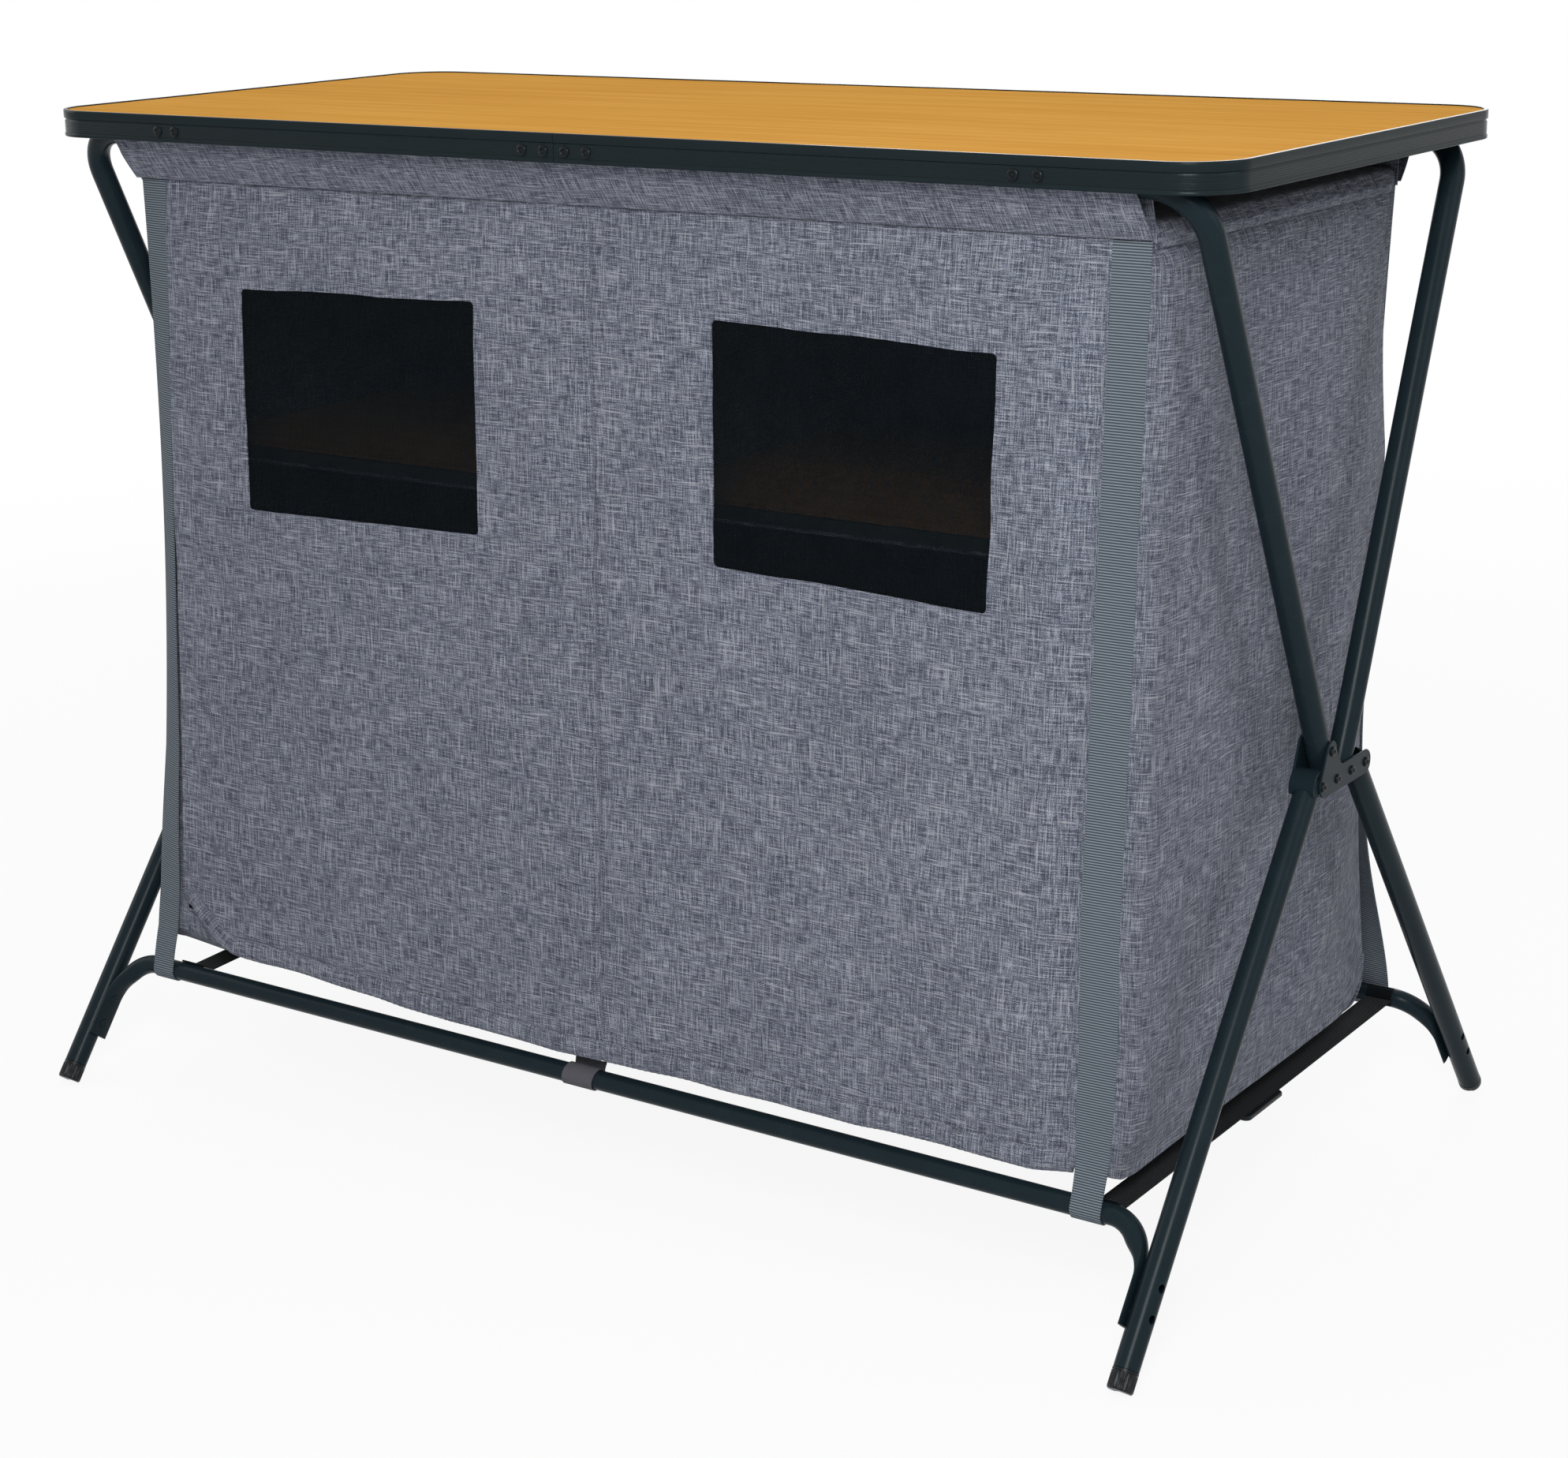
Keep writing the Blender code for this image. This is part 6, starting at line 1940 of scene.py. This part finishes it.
    def _back(self) -> None:
        """The back cloth, from one rear corner to the other.

        Along X it is a share of the rear corner's place at that height. It stands out by a
        soft relief and its folds, less an upright and a level seam, each a groove of
        depth · exp(-(distance / width)²), and it is flat at all four edges.
        """
        z = spaced((SIDE_LOW_Z + self.corner, 0.20, 0.60, 0.625, self.side_top), 0.011)[:, None]
        share = spaced((-1.0, -0.97, -0.004, 0.0, 0.004, 0.97, 1.0), 0.020)[None, :]
        x = share * (self.rear_x(z) - 0.0008)
        below = self.side_top - z
        relief = sum(r.at(x, below) + r.height for r in self.back_relief)
        free = rise(0.0, 0.06, below) * rise(1.0, 0.94, np.abs(share))
        free = free * rise(0.0, 0.05, z - SIDE_LOW_Z - self.corner)
        upright = self.back_seam * np.exp(-((x / self.upright_width) ** 2))
        level = self.back_seam * np.exp(-(((z - self.level_z) / self.level_width) ** 2))
        folds = sum(fold.at(x, below) for fold in self.back_folds)
        bulge = self.relief_share * relief + folds - (upright + level)
        points = np.stack(np.broadcast_arrays(x, self.back_y + free * bulge, z), axis=-1)
        self.piece(self.finishes.cloth, "root", "cloth_back").cloth(
            "back_cloth", [Patch(points)], Held.HUNG, ["roof_cloth"])

    def _floor(self) -> None:
        """The floor cloth: a line in Y and Z, turned up at the front and the back.

        It sags by one hump across times one along, lies lower by a soft relief, and its
        left front corner is raised by the product of two smooth steps.
        """
        low, lip = CLOTH_LOW_Z + 0.0010, self.floor_lip_z
        back = self.back_y - 0.0012
        front = [(front_y(z, 0.0046), z) for z in (lip, low)]
        corners = [*front, (back, low), (back, lip)]
        line = refined(rounded(corners, [self.corner - 0.001] * 2), 0.010)
        patch = strip(line, (-self.floor_x, self.floor_x), 88)
        x, y = patch.points[..., 0], patch.points[..., 1]
        sag = self.floor_sag * hump(-0.46, 0.46, x) * hump(-0.20, 0.20, y)
        relief = 0.4 * (self.floor_relief.at(x, y) + self.floor_relief.height)
        relief = relief * hump(-0.22, 0.22, y) * (hump(-0.49, 0.49, x) > 0)
        raised = 0.008 * rise(-0.40, -0.54, x) * rise(-0.16, -0.25, y)
        patch.points[..., 2] += raised - sag - relief
        self.piece(self.finishes.cloth, "root", "cloth_floor").cloth(
            "floor_cloth", [patch], Held.STRETCHED, ["side_cloth_left", "side_cloth_right"],
            self.lining)

    def _partition(self) -> None:
        """The cloth down the middle, between the two halves.

        It runs from the sloping front to the back, its bottom corners lifted like the floor's,
        and leans to both sides by a relief that is 0 where the shelves meet it.
        """
        share = spaced((0.0, 0.05, 0.95, 1.0), 0.02)
        low = CLOTH_LOW_Z + 0.0030
        depth = BACK_Y - front_y(low, 0.0034)
        lift = np.maximum(*(corner_lift(part * depth, self.corner) for part in (share, 1 - share)))
        rows = spaced((0.0, 1.0), 0.014)[:, None]
        z = self.side_top + rows * (low + lift[None, :] - self.side_top)
        y = lerp(front_y(z, 0.0034), self.back_y - 0.0024, share[None, :])
        from_shelf = np.abs(z - self.shelf_middle_z) - self.shelf_half
        x = self.partition_relief.at(y, z) * rise(0.0, 0.02, from_shelf)
        # The partition wears the lighter copy of the cloth: painted light for the dim inside.
        self.piece(self.finishes.inner_cloth_painted_light, "root", "cloth_partition").cloth(
            "partition_cloth", [Patch(np.stack([x, y, z], axis=-1))], Held.HUNG, ["roof_cloth"],
            self.lining)

    def _shelf_cloth(self, hand: int, hand_name: str) -> None:
        """The cloth under a shelf board, with its front edge turned down below the trim."""
        low = SHELF_Z - 0.006 - 0.0013
        front = self.shelf_front_y
        edge = [(front - 0.0004, low - 0.0052), (front - 0.0008, low - 0.0036),
                (front + 0.0006, low - 0.0012), (front + 0.0030, low), (self.back_y - 0.0016, low)]
        near, far = (hand * x for x in self.shelf_cloth_x)
        patch = strip(refined(np.array(edge), 0.012), (near, far), 60)
        x, y = patch.points[..., 0], patch.points[..., 1]
        patch.points[..., 2] -= 0.0007 * (1 + np.sin(x * 90 + y * 14)) * rise(-0.19, -0.17, y)
        self.piece(self.finishes.cloth, "root", f"cloth_shelf_{hand_name}").cloth(
            f"shelf_cloth_{hand_name}", [patch], Held.STRETCHED,
            [f"side_cloth_{hand_name}", "partition_cloth"], self.thin)

    def _roof(self) -> None:
        """The roof cloth, one sheet turned down on four sides.

        Each way, the cloth is flat, turns over a quarter circle and hangs down: with a the
        length along it, the place is the half width less the radius plus r sin, and the drop
        r (1 - cos). The corners' spare cloth is left out, and the two skirts meet there.
        """
        half_x, half_y, radius = SIDE_X - 0.0008, SEAM_Y - 0.0048 - 0.0008, self.roof_bend
        skirt = ROOF_SKIRT - radius
        quarter = radius * math.pi / 2

        def turned(values: Array, half: float) -> tuple[Array, Array]:
            """Place and drop of cloth lengths measured from the middle."""
            past = np.abs(values) - (half - radius)
            angle = np.clip(past / radius, 0.0, math.pi / 2)
            place = np.where(past < 0, np.abs(values), half - radius + radius * np.sin(angle))
            drop = radius * (1 - np.cos(angle)) + np.maximum(past - quarter, 0.0)
            return np.sign(values) * place, drop

        def grid_lines(reach: float) -> Array:
            """Where the grid's lines lie, with finer ones in the turn and down the skirt."""
            half = (reach, reach + quarter, reach + quarter + skirt)
            even = spaced((*(-value for value in half[::-1]), *half), self.roof_cell)
            down = quarter + skirt * np.array((0.2, 0.4, 0.65, 0.85, 0.95))
            finer = reach + np.append(np.array((0.25, 0.5, 0.75)) * quarter, down)
            return np.unique(np.round(np.concatenate([even, finer, -finer]), 7))

        reach_x, reach_y = half_x - radius, half_y - radius
        xs, ys = grid_lines(reach_x), grid_lines(reach_y)
        a, b = np.meshgrid(xs, ys)
        x, drop_x = turned(a, half_x)
        y, drop_y = turned(b, half_y)
        drop = np.maximum(drop_x, drop_y)
        flat = np.clip(1 - drop / 0.004, 0, 1)
        sag = self.roof_sag * hump(-0.47, 0.47, x) * hump(-0.18, 0.18, y)
        relief = self.roof_relief.at(a, b) + self.roof_relief.height
        z = ROOF_Z - 0.0009 - drop - flat * (sag + 0.5 * relief)
        wave = 2 * math.pi * (a + b) / self.pucker_wave + 1.7 * np.sin(a * 45 + b * 38)
        pucker = self.pucker * (1 + np.sin(wave)) * rise(ROOF_SKIRT, ROOF_SKIRT - 0.003, drop)
        pucker = pucker + self.skirt_bell * np.sqrt(hump(0.002, ROOF_SKIRT, drop))
        hanging = rise(0.004, 0.012, drop)
        out_x = np.where(drop_x > drop_y, np.sign(a), 0.0) * hanging
        out_x = out_x * rise(half_y, half_y - 0.02, np.abs(y))
        out_y = np.where(drop_y >= drop_x, np.sign(b), 0.0) * hanging
        out_y = out_y * rise(half_x, half_x - 0.02, np.abs(x))
        points = np.stack([x + out_x * pucker, y + out_y * pucker, z], axis=-1)
        mid_x, mid_y = (np.abs(v[:-1] + v[1:]) / 2 for v in (xs, ys))
        spare = (mid_y > reach_y + quarter)[:, None] & (mid_x > reach_x + quarter)[None, :]
        patch = Patch(points, keep=~spare, uv=np.stack([a, b], axis=-1))
        self.piece(self.finishes.cloth, "root", "cloth_roof").cloth(
            "roof_cloth", [patch], Held.HUNG, ["collar_front_sleeve", "collar_rear_sleeve"])

    def _collar(self, side: int, end: str) -> None:
        """A sleeve of cloth: up in front of the tube, over it and down behind to the seam.

        Its section is a line up to the tube, an arc round it and a line down. Both layers
        below the tube are wrinkled by two reliefs, the inner one less and the other way.
        Openings are left in it round the brackets of the worktop, which turn with it.
        """
        radius = TUBE_RADIUS + GAP + 0.0007
        centre = np.array((-RUN_Y, RUN_Z))
        foot = on_front(0.0, -0.0006, -0.0022)[1:]
        wrap = arc(centre, radius, 219, 12, WRAP_STEP)
        inner = np.array([(-SEAM_Y + 0.0022, SEAM_Z + 0.006), (-SEAM_Y + 0.0026, SEAM_Z - 0.002)])
        line = refined(np.concatenate([[foot], wrap, inner]), 0.005)
        share = walked(line) / walked(line)[-1]
        end_x = self.collar_end_x + self.collar_end_wave * np.sin(share * 14)
        if side > 0:
            line = line * (-1, 1)
        cuts = (BRACKET_X - self.collar_cut, BRACKET_X + self.collar_cut)
        inner_x = spaced((-cuts[1], -cuts[0], cuts[0], cuts[1]), 0.0075)
        outer_x = spaced((0.0, 1.0), 0.09)[1:]
        margin = (end_x[:, None] - cuts[1]) * outer_x[None, :]
        middle = np.broadcast_to(inner_x, (len(line), len(inner_x)))
        x = np.concatenate([-cuts[1] - margin[:, ::-1], middle, cuts[1] + margin], axis=1)
        y, z = (np.repeat(values[:, None], x.shape[1], axis=1) for values in line.T)
        hang = rise(0.900, 0.890, z)
        reliefs = (Relief(0.016, 0.0011, 71 + side, 4.0), Relief(0.05, 0.0012, 75 + side, 2.0))
        wrinkle = sum(relief.at(x, z) for relief in reliefs)
        y = y + side * hang * (wrinkle + 0.0012) * np.where(share < 0.5, 1.0, -0.4)[:, None]
        points = np.stack([x, y, z], axis=-1)
        opening = self._opening(points, share, cuts, side)
        obj = self.piece(self.finishes.cloth, "root", f"collar_{end}").cloth(
            f"collar_{end}_sleeve", [Patch(points, keep=~opening)], Held.HUNG,
            [f"{end}_upper_frame_tube"], self.thin)
        if side > 0:
            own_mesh(obj)

    def _opening(self, points: Array, share: Array, cuts: Sequence[float], side: int) -> Array:
        """Which cells of a collar are left out round the brackets.

        Args:
            points: the collar's grid.
            share: shares of the way round the section, one for each row.
            cuts: where the openings start and end along X, on both hands.
            side: -1 for the front collar and 1 for the rear one.
        """
        mid_x = np.abs((points[:-1, :-1, 0] + points[1:, 1:, 0]) / 2)
        mid_z = (points[:-1, :-1, 2] + points[1:, 1:, 2]) / 2
        summit = float(share[np.argmax(points[:, 0, 2])])
        outer_layer = ((share[:-1] + share[1:]) < 2 * summit)[:, None]
        levels = self.front_opening_z if side < 0 else self.rear_opening_z
        return (mid_z > np.where(outer_layer, *levels)) & (mid_x > cuts[0]) & (mid_x < cuts[1])


@dataclass
class Shelves(Assembly):
    """The two shelf boards and their front trims, which keep their own solids."""

    def build(self) -> None:
        """Give the solids their finishes."""
        for _, hand_name in HANDS:
            for node, material in ((f"shelf_board_{hand_name}", self.finishes.shelf),
                                   (f"shelf_edge_{hand_name}", self.finishes.trim)):
                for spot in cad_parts[node].material_slots:
                    spot.material = material
                LOG.info("%s: its own solid with a new finish", node)


@dataclass
class Straps(Assembly):
    """Corner straps, rail loops, spreader straps and buckles."""

    cabinet: Cabinet
    loop_width: float = 0.033
    spreader_x: tuple[float, float] = (0.5075, 0.5325)
    left_lean: float = 0.036
    step: float = 0.009
    wrap_start: tuple[float, float] = (160.0, 172.0)
    wrap_end: float = 330.0
    below_seam: float = 0.0008
    spread_z: float = 0.150
    bow_z: tuple[float, float] = (0.112, 0.195)
    bow_power: float = 1.4
    pinch_z: tuple[float, float] = (0.205, 0.115)
    leaves_back_z: float = 0.470
    turn_z: tuple[float, float] = (0.115, 0.50)
    turn_power: float = 1.6
    back_bend: float = 0.30
    back_turn: float = 0.95
    back_sway: float = 0.006
    waist: float = 0.009
    low_waist: float = 0.010
    loop_lean: float = 0.0015
    loop_thickness: float = 0.0009
    spreader_sag: float = 0.0006
    spreader_thickness: float = 0.0016
    spreader_wrap: tuple[float, float] = (76.0, -30.0)
    buckle_y: tuple[float, float] = (-0.045, 0.025)
    buckle_width: float = 0.034
    buckle_low: float = 0.0040
    buckle_high: float = 0.0045
    buckle_corner: float = 0.006
    rim_inset: float = 0.005
    rim_corner: float = 0.0018
    slot_half: float = 0.0115
    slot_corner: float = 0.002

    def build(self) -> None:
        """Build every strap."""
        for side, end in ENDS:
            self._loop(side, end)
            for hand, hand_name in HANDS:
                self._corner(side, end, hand, hand_name)
        for hand, hand_name in HANDS:
            self._spreader(hand, hand_name)

    def _corner(self, side: int, end: str, hand: int, hand_name: str) -> None:
        """A webbing strap down a corner and under the rail."""
        half = STRAP_THICKNESS / 2
        start = self.wrap_start[side > 0]
        wrap = arc((-RAIL_Y, RAIL_Z), RAIL_RADIUS + GAP + half, start, self.wrap_end, WRAP_STEP)
        down = [on_front(0.0, self.below_seam, -half)[1:]]
        if side < 0:
            down.append(on_front(0.0, slope(self.spread_z), -half)[1:])
        else:
            leaves = (-BACK_Y - 0.0028, self.leaves_back_z)
            down = rounded([*down, leaves, wrap[0]], [self.back_bend])[:-1]
        line = refined(np.concatenate([down, wrap]), self.step)
        share, behind, z = np.linspace(0, 1, 9)[None, :], line[:, :1], line[:, 1:]
        if side < 0:
            x, y = self._front_strap(hand, share, behind, z)
        else:
            x, y = self._rear_strap(share, behind, z)
        points = np.stack(np.broadcast_arrays(hand * x, -side * y, z), axis=-1)
        carrier = f"{end}_rail_tube"
        obj = self.piece(self.finishes.webbing, "root", f"corner_strap_{end}_{hand_name}").cloth(
            f"corner_webbing_{end}_{hand_name}", [Patch(points)], Held.STRETCHED,
            [f"collar_{end}_sleeve", carrier], STRAP_THICKNESS)
        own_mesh(obj)

    def _front_strap(self, hand: int, share: Array, y: Array, z: Array) -> tuple[Array, Array]:
        """Places of a front strap along X and Y.

        Across it, each column lies at x = inner edge + width · share · cos a, and behind the
        front by width · sin a · share to the bow's power, with a the angle by which the strap
        is drawn back. At the rail its inner edge is pinched.
        """
        _, depth = self.cabinet.front_edge(hand, z)
        depth = depth * rise(*self.bow_z, z)
        across = np.sqrt(STRAP_WIDTH**2 - depth**2)
        pinch = Drawn.at(hand).pinch * rise(*self.pinch_z, z)
        x = STRAP_INNER_X + across * share + self.cabinet.low_shift(z) + pinch * (1 - share)
        return x, y + depth * share**self.bow_power

    def _rear_strap(self, share: Array, y: Array, z: Array) -> tuple[Array, Array]:
        """Places of a rear strap along X and, before it is mirrored, along Y.

        It lies on the cloth, leaves it below the hub and turns about its middle: with a the
        angle and d the distance from the middle, x = middle + d · cos a, and it moves back by
        0.9 d · sin a and a small sway.
        """
        low = hump(*self.turn_z, z) ** self.turn_power
        angle = self.back_turn * low
        drawn_in = self.waist * hump(0.30, SEAM_Z, z) + self.low_waist * low
        middle = self.cabinet.side_x - 0.001 - drawn_in - STRAP_WIDTH / 2 * np.cos(angle)
        off = (share - 0.5) * STRAP_WIDTH
        return middle + off * np.cos(angle), y + off * np.sin(angle) * 0.9 + self.back_sway * low

    def _loop(self, side: int, end: str) -> None:
        """A tape loop round the middle of a rail, its tail sewn under the floor."""
        radius = RAIL_RADIUS + GAP + STRAP_THICKNESS / 2
        line = np.concatenate([
            [(-RAIL_Y + radius - 0.0006, SIDE_LOW_Z - GAP)],
            arc((-RAIL_Y, RAIL_Z), radius, 20, -330, WRAP_STEP),
            [(-RAIL_Y + radius + 0.0012, SIDE_LOW_Z - GAP)],
        ]) * (-side, 1)
        half = self.loop_width / 2
        lean = self.loop_lean * (line[:, 1] - RAIL_Z) / radius
        patch = strip(line, (-half + lean, half + lean), 8)
        obj = self.piece(self.finishes.tape, "root", f"rail_loop_{end}").cloth(
            f"rail_tape_{end}", [patch], Held.FOLDED, [f"{end}_rail_tube"], self.loop_thickness)
        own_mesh(obj)

    def _spreader(self, hand: int, hand_name: str) -> None:
        """A flat strap between the rails, its ends turned round their inner sides, and its buckle.

        Its upper end goes over the rail and its tail a little under it; both start from the
        level of the rail's middle, where they are sewn together.
        """
        radius = RAIL_RADIUS + GAP + self.spreader_thickness / 2
        top, tail = self.spreader_wrap
        front = arc((-RAIL_Y, RAIL_Z), radius, top, 2.0, WRAP_STEP)
        span = np.linspace(-RAIL_Y + radius + 0.008, RAIL_Y - radius - 0.008, 60)
        sag = self.spreader_sag * hump(-0.26, 0.26, span)
        middle = np.column_stack([span, RAIL_Z - sag])
        line = np.concatenate([front, middle, front[::-1] * (-1, 1)])
        under = arc((-RAIL_Y, RAIL_Z), radius, -5.0, tail, WRAP_STEP)
        inner, outer = (hand * x for x in self.spreader_x)
        patches = [strip(part, (inner, outer), 7) for part in (line, under, under * (-1, 1))]
        for patch in patches:
            patch.points[..., 0] += self._lean(hand, patch.points[..., 1])
        strap = self.piece(self.finishes.black, "rear_lower", f"spreader_strap_{hand_name}").cloth(
            f"spreader_webbing_{hand_name}", patches, Held.STRETCHED,
            ["front_rail_tube", "rear_rail_tube"], self.spreader_thickness)
        buckle = self._buckle(hand, hand_name)
        for obj in (strap, buckle):
            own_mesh(obj)

    def _lean(self, hand: int, y: Array) -> Array:
        """How far to the right a spreader lies: the left one comes inwards evenly to the front."""
        return (hand < 0) * self.left_lean * (0.5 - y / (2 * RAIL_Y))

    def _buckle(self, hand: int, hand_name: str) -> bpy.types.Object:
        """A ladder buckle under the strap: a plate with three slots and a rim along each side."""
        x = sum(self.spreader_x) / 2 * hand
        middle_y, half = sum(self.buckle_y) / 2, (self.buckle_y[1] - self.buckle_y[0]) / 2
        half_width, web = self.buckle_width / 2, (self.spreader_x[1] - self.spreader_x[0]) / 2
        under = RAIL_Z - self.spreader_thickness / 2 - 2 * GAP
        low, top = under - self.buckle_low, under + self.buckle_high

        def block(
            left: float,
            right: float,
            front: float,
            back: float,
            levels: tuple[float, float],
            radius: float,
        ) -> Patch:
            """A block with rounded corners, about the buckle's middle."""
            corners = [(left, front), (right, front), (right, back), (left, back)]
            outline = rounded(corners, [radius] * 4, closed=True) + (x, middle_y)
            outline[:, 0] += self._lean(hand, outline[:, 1])
            return slab(outline, "xyz", *levels, min(0.0008, radius / 2))

        plate = block(-half_width, half_width, -half, half, (low, under), self.buckle_corner)
        rim, outer = half - self.rim_inset, half_width - 0.0002
        rims = [block(a, b, -rim, rim, (under - 0.0005, top), self.rim_corner)
                for a, b in ((-outer, -web - GAP), (web + GAP, outer))]
        body = assemble(f"spreader_buckle_{hand_name}", [plate, *rims])
        through = (low - 0.004, under + 0.003)
        slots = [block(-self.slot_half, self.slot_half, a, b, through, self.slot_corner)
                 for a, b in ((-half + 0.007, -0.015), (-0.008, 0.008), (0.015, half - 0.007))]
        carve(body, slots)
        piece = self.piece(self.finishes.plastic, "rear_lower", f"strap_buckle_{hand_name}")
        return piece.dress(body)


def placed(
    name: str,
    data: bpy.types.ID,
    place: Sequence[float],
    axes: tuple[Array, Array, Array],
) -> bpy.types.Object:
    """A lamp or camera in the scene, at a place, with its right, its up and its way ahead."""
    right, up, ahead = axes
    matrix = np.eye(4)
    matrix[:3, 0], matrix[:3, 1], matrix[:3, 2], matrix[:3, 3] = right, up, -ahead, place
    obj = bpy.data.objects.new(name, data)
    obj.matrix_world = Matrix(matrix.tolist())
    bpy.context.scene.collection.objects.link(obj)
    return obj


@dataclass(frozen=True)
class Lamp:
    """A square soft lamp that looks at a point."""

    name: str
    place: tuple[float, float, float]
    target: tuple[float, float, float]
    size: float
    power: float

    def build(self) -> None:
        """Hang the lamp."""
        data = bpy.data.lights.new(self.name, "AREA")
        data.shape = "SQUARE"
        data.size = self.size
        data.energy = self.power
        ahead = unit(np.asarray(self.target) - np.asarray(self.place))
        right = unit(np.cross(ahead, (0.0, 0.0, 1.0)))
        placed(self.name, data, self.place, (right, np.cross(right, ahead), ahead))


@dataclass
class Studio:
    """Pale floor, soft lamps and the camera at the photograph's place."""

    camera_place: tuple[float, float, float] = (1.5475, -2.2092, 1.1457)
    yaw: float = 0.6009
    pitch: float = 0.2838
    roll: float = -0.0170
    lens: float = 68.876
    sensor: float = 36.0
    lamps: tuple[Lamp, ...] = (
        Lamp("key", (1.4, -2.2, 1.9), (0.1, 0.0, 0.5), 0.9, 52.0),
        Lamp("side", (3.2, 0.3, 1.9), (0.2, 0.0, 0.5), 1.6, 12.0),
        Lamp("left", (-3.0, -0.8, 1.8), (0.0, 0.0, 0.5), 1.6, 13.0),
        Lamp("top", (-0.4, 0.4, 3.3), (0.0, 0.0, 0.9), 2.2, 21.0),
        Lamp("back", (-1.0, 3.0, 2.0), (0.0, 0.0, 0.5), 1.8, 28.0),
    )
    grey_light: float = 0.28
    floor_half: float = 30.0
    floor_greys: tuple[float, float] = (0.78, 0.82)
    shadow_share: float = 0.09
    shadow_reach: tuple[float, float] = (1.3, 3.6)

    def build(self) -> None:
        """Build the stage, the lamps and the camera."""
        self._floor()
        self._world()
        for lamp in self.lamps:
            lamp.build()
        self._camera()
        bpy.context.scene.view_settings.view_transform = "Standard"

    def _floor(self) -> None:
        """A large pale floor, white to the camera but for the object's soft shadow."""
        x, y = np.meshgrid((-self.floor_half, self.floor_half), (-self.floor_half, self.floor_half))
        patch = Patch(np.stack([x, y, np.zeros_like(x)], axis=-1))
        floor = assemble("studio_floor", [patch], closed=False)
        shader = Shader.named("studio_floor")
        speck = shader.noise("Object", 60, 2)
        dark, light = ((grey, grey, grey) for grey in self.floor_greys)
        pale = shader.mixed(dark, light, speck)
        plain = shader.node("ShaderNodeBsdfDiffuse", {}, {"Color": pale})
        white = shader.node("ShaderNodeEmission", {}, {"Color": WHITE, "Strength": 1.0})
        place = shader.coordinate("Object")
        away = shader.node("ShaderNodeVectorMath", {"operation": "LENGTH"}, {0: place})
        far = Number(shader, away.outputs["Value"]).stepped(*self.shadow_reach)
        share = far * self.shadow_share + (1 - self.shadow_share)
        shader.output("ShaderNodeOutputMaterial", shader.seen() * share, plain, white)
        floor.data.materials.append(shader.owner)

    def _world(self) -> None:
        """A white backdrop to the camera and in reflections, and a soft grey light elsewhere."""
        world = bpy.data.worlds.new("studio")
        bpy.context.scene.world = world
        shader = Shader(world)
        grey, white = (
            shader.node("ShaderNodeBackground", {}, {"Color": WHITE, "Strength": strength})
            for strength in (self.grey_light, 1.0))
        shader.output("ShaderNodeOutputWorld", shader.seen(), grey, white)

    def _camera(self) -> None:
        """The camera, from its place, its heading, its tilt down and its roll."""
        turn, tilt, roll = ((math.cos(a), math.sin(a)) for a in (self.yaw, self.pitch, self.roll))
        ahead = np.array((-turn[1] * tilt[0], turn[0] * tilt[0], -tilt[1]))
        right = np.array((turn[0], turn[1], 0.0))
        up = np.cross(right, ahead)
        axes = (right * roll[0] + up * roll[1], up * roll[0] - right * roll[1], ahead)
        data = bpy.data.cameras.new("photograph_view")
        data.lens = self.lens
        data.sensor_width = self.sensor
        data.sensor_fit = "HORIZONTAL"
        bpy.context.scene.camera = placed("photograph_view", data, self.camera_place, axes)


def main() -> None:
    """Build the sub-assemblies in order."""
    logging.basicConfig(level=logging.INFO, format="%(message)s")
    finishes = Finishes()
    Studio().build()
    Worktop(finishes).build()
    UpperFrames(finishes).build()
    LowerFrames(finishes).build()
    Hubs(finishes).build()
    cabinet = Cabinet(finishes)
    cabinet.build()
    FrontFlap(finishes).build()
    Shelves(finishes).build()
    Straps(finishes, cabinet).build()


if __name__ == "__main__":
    main()
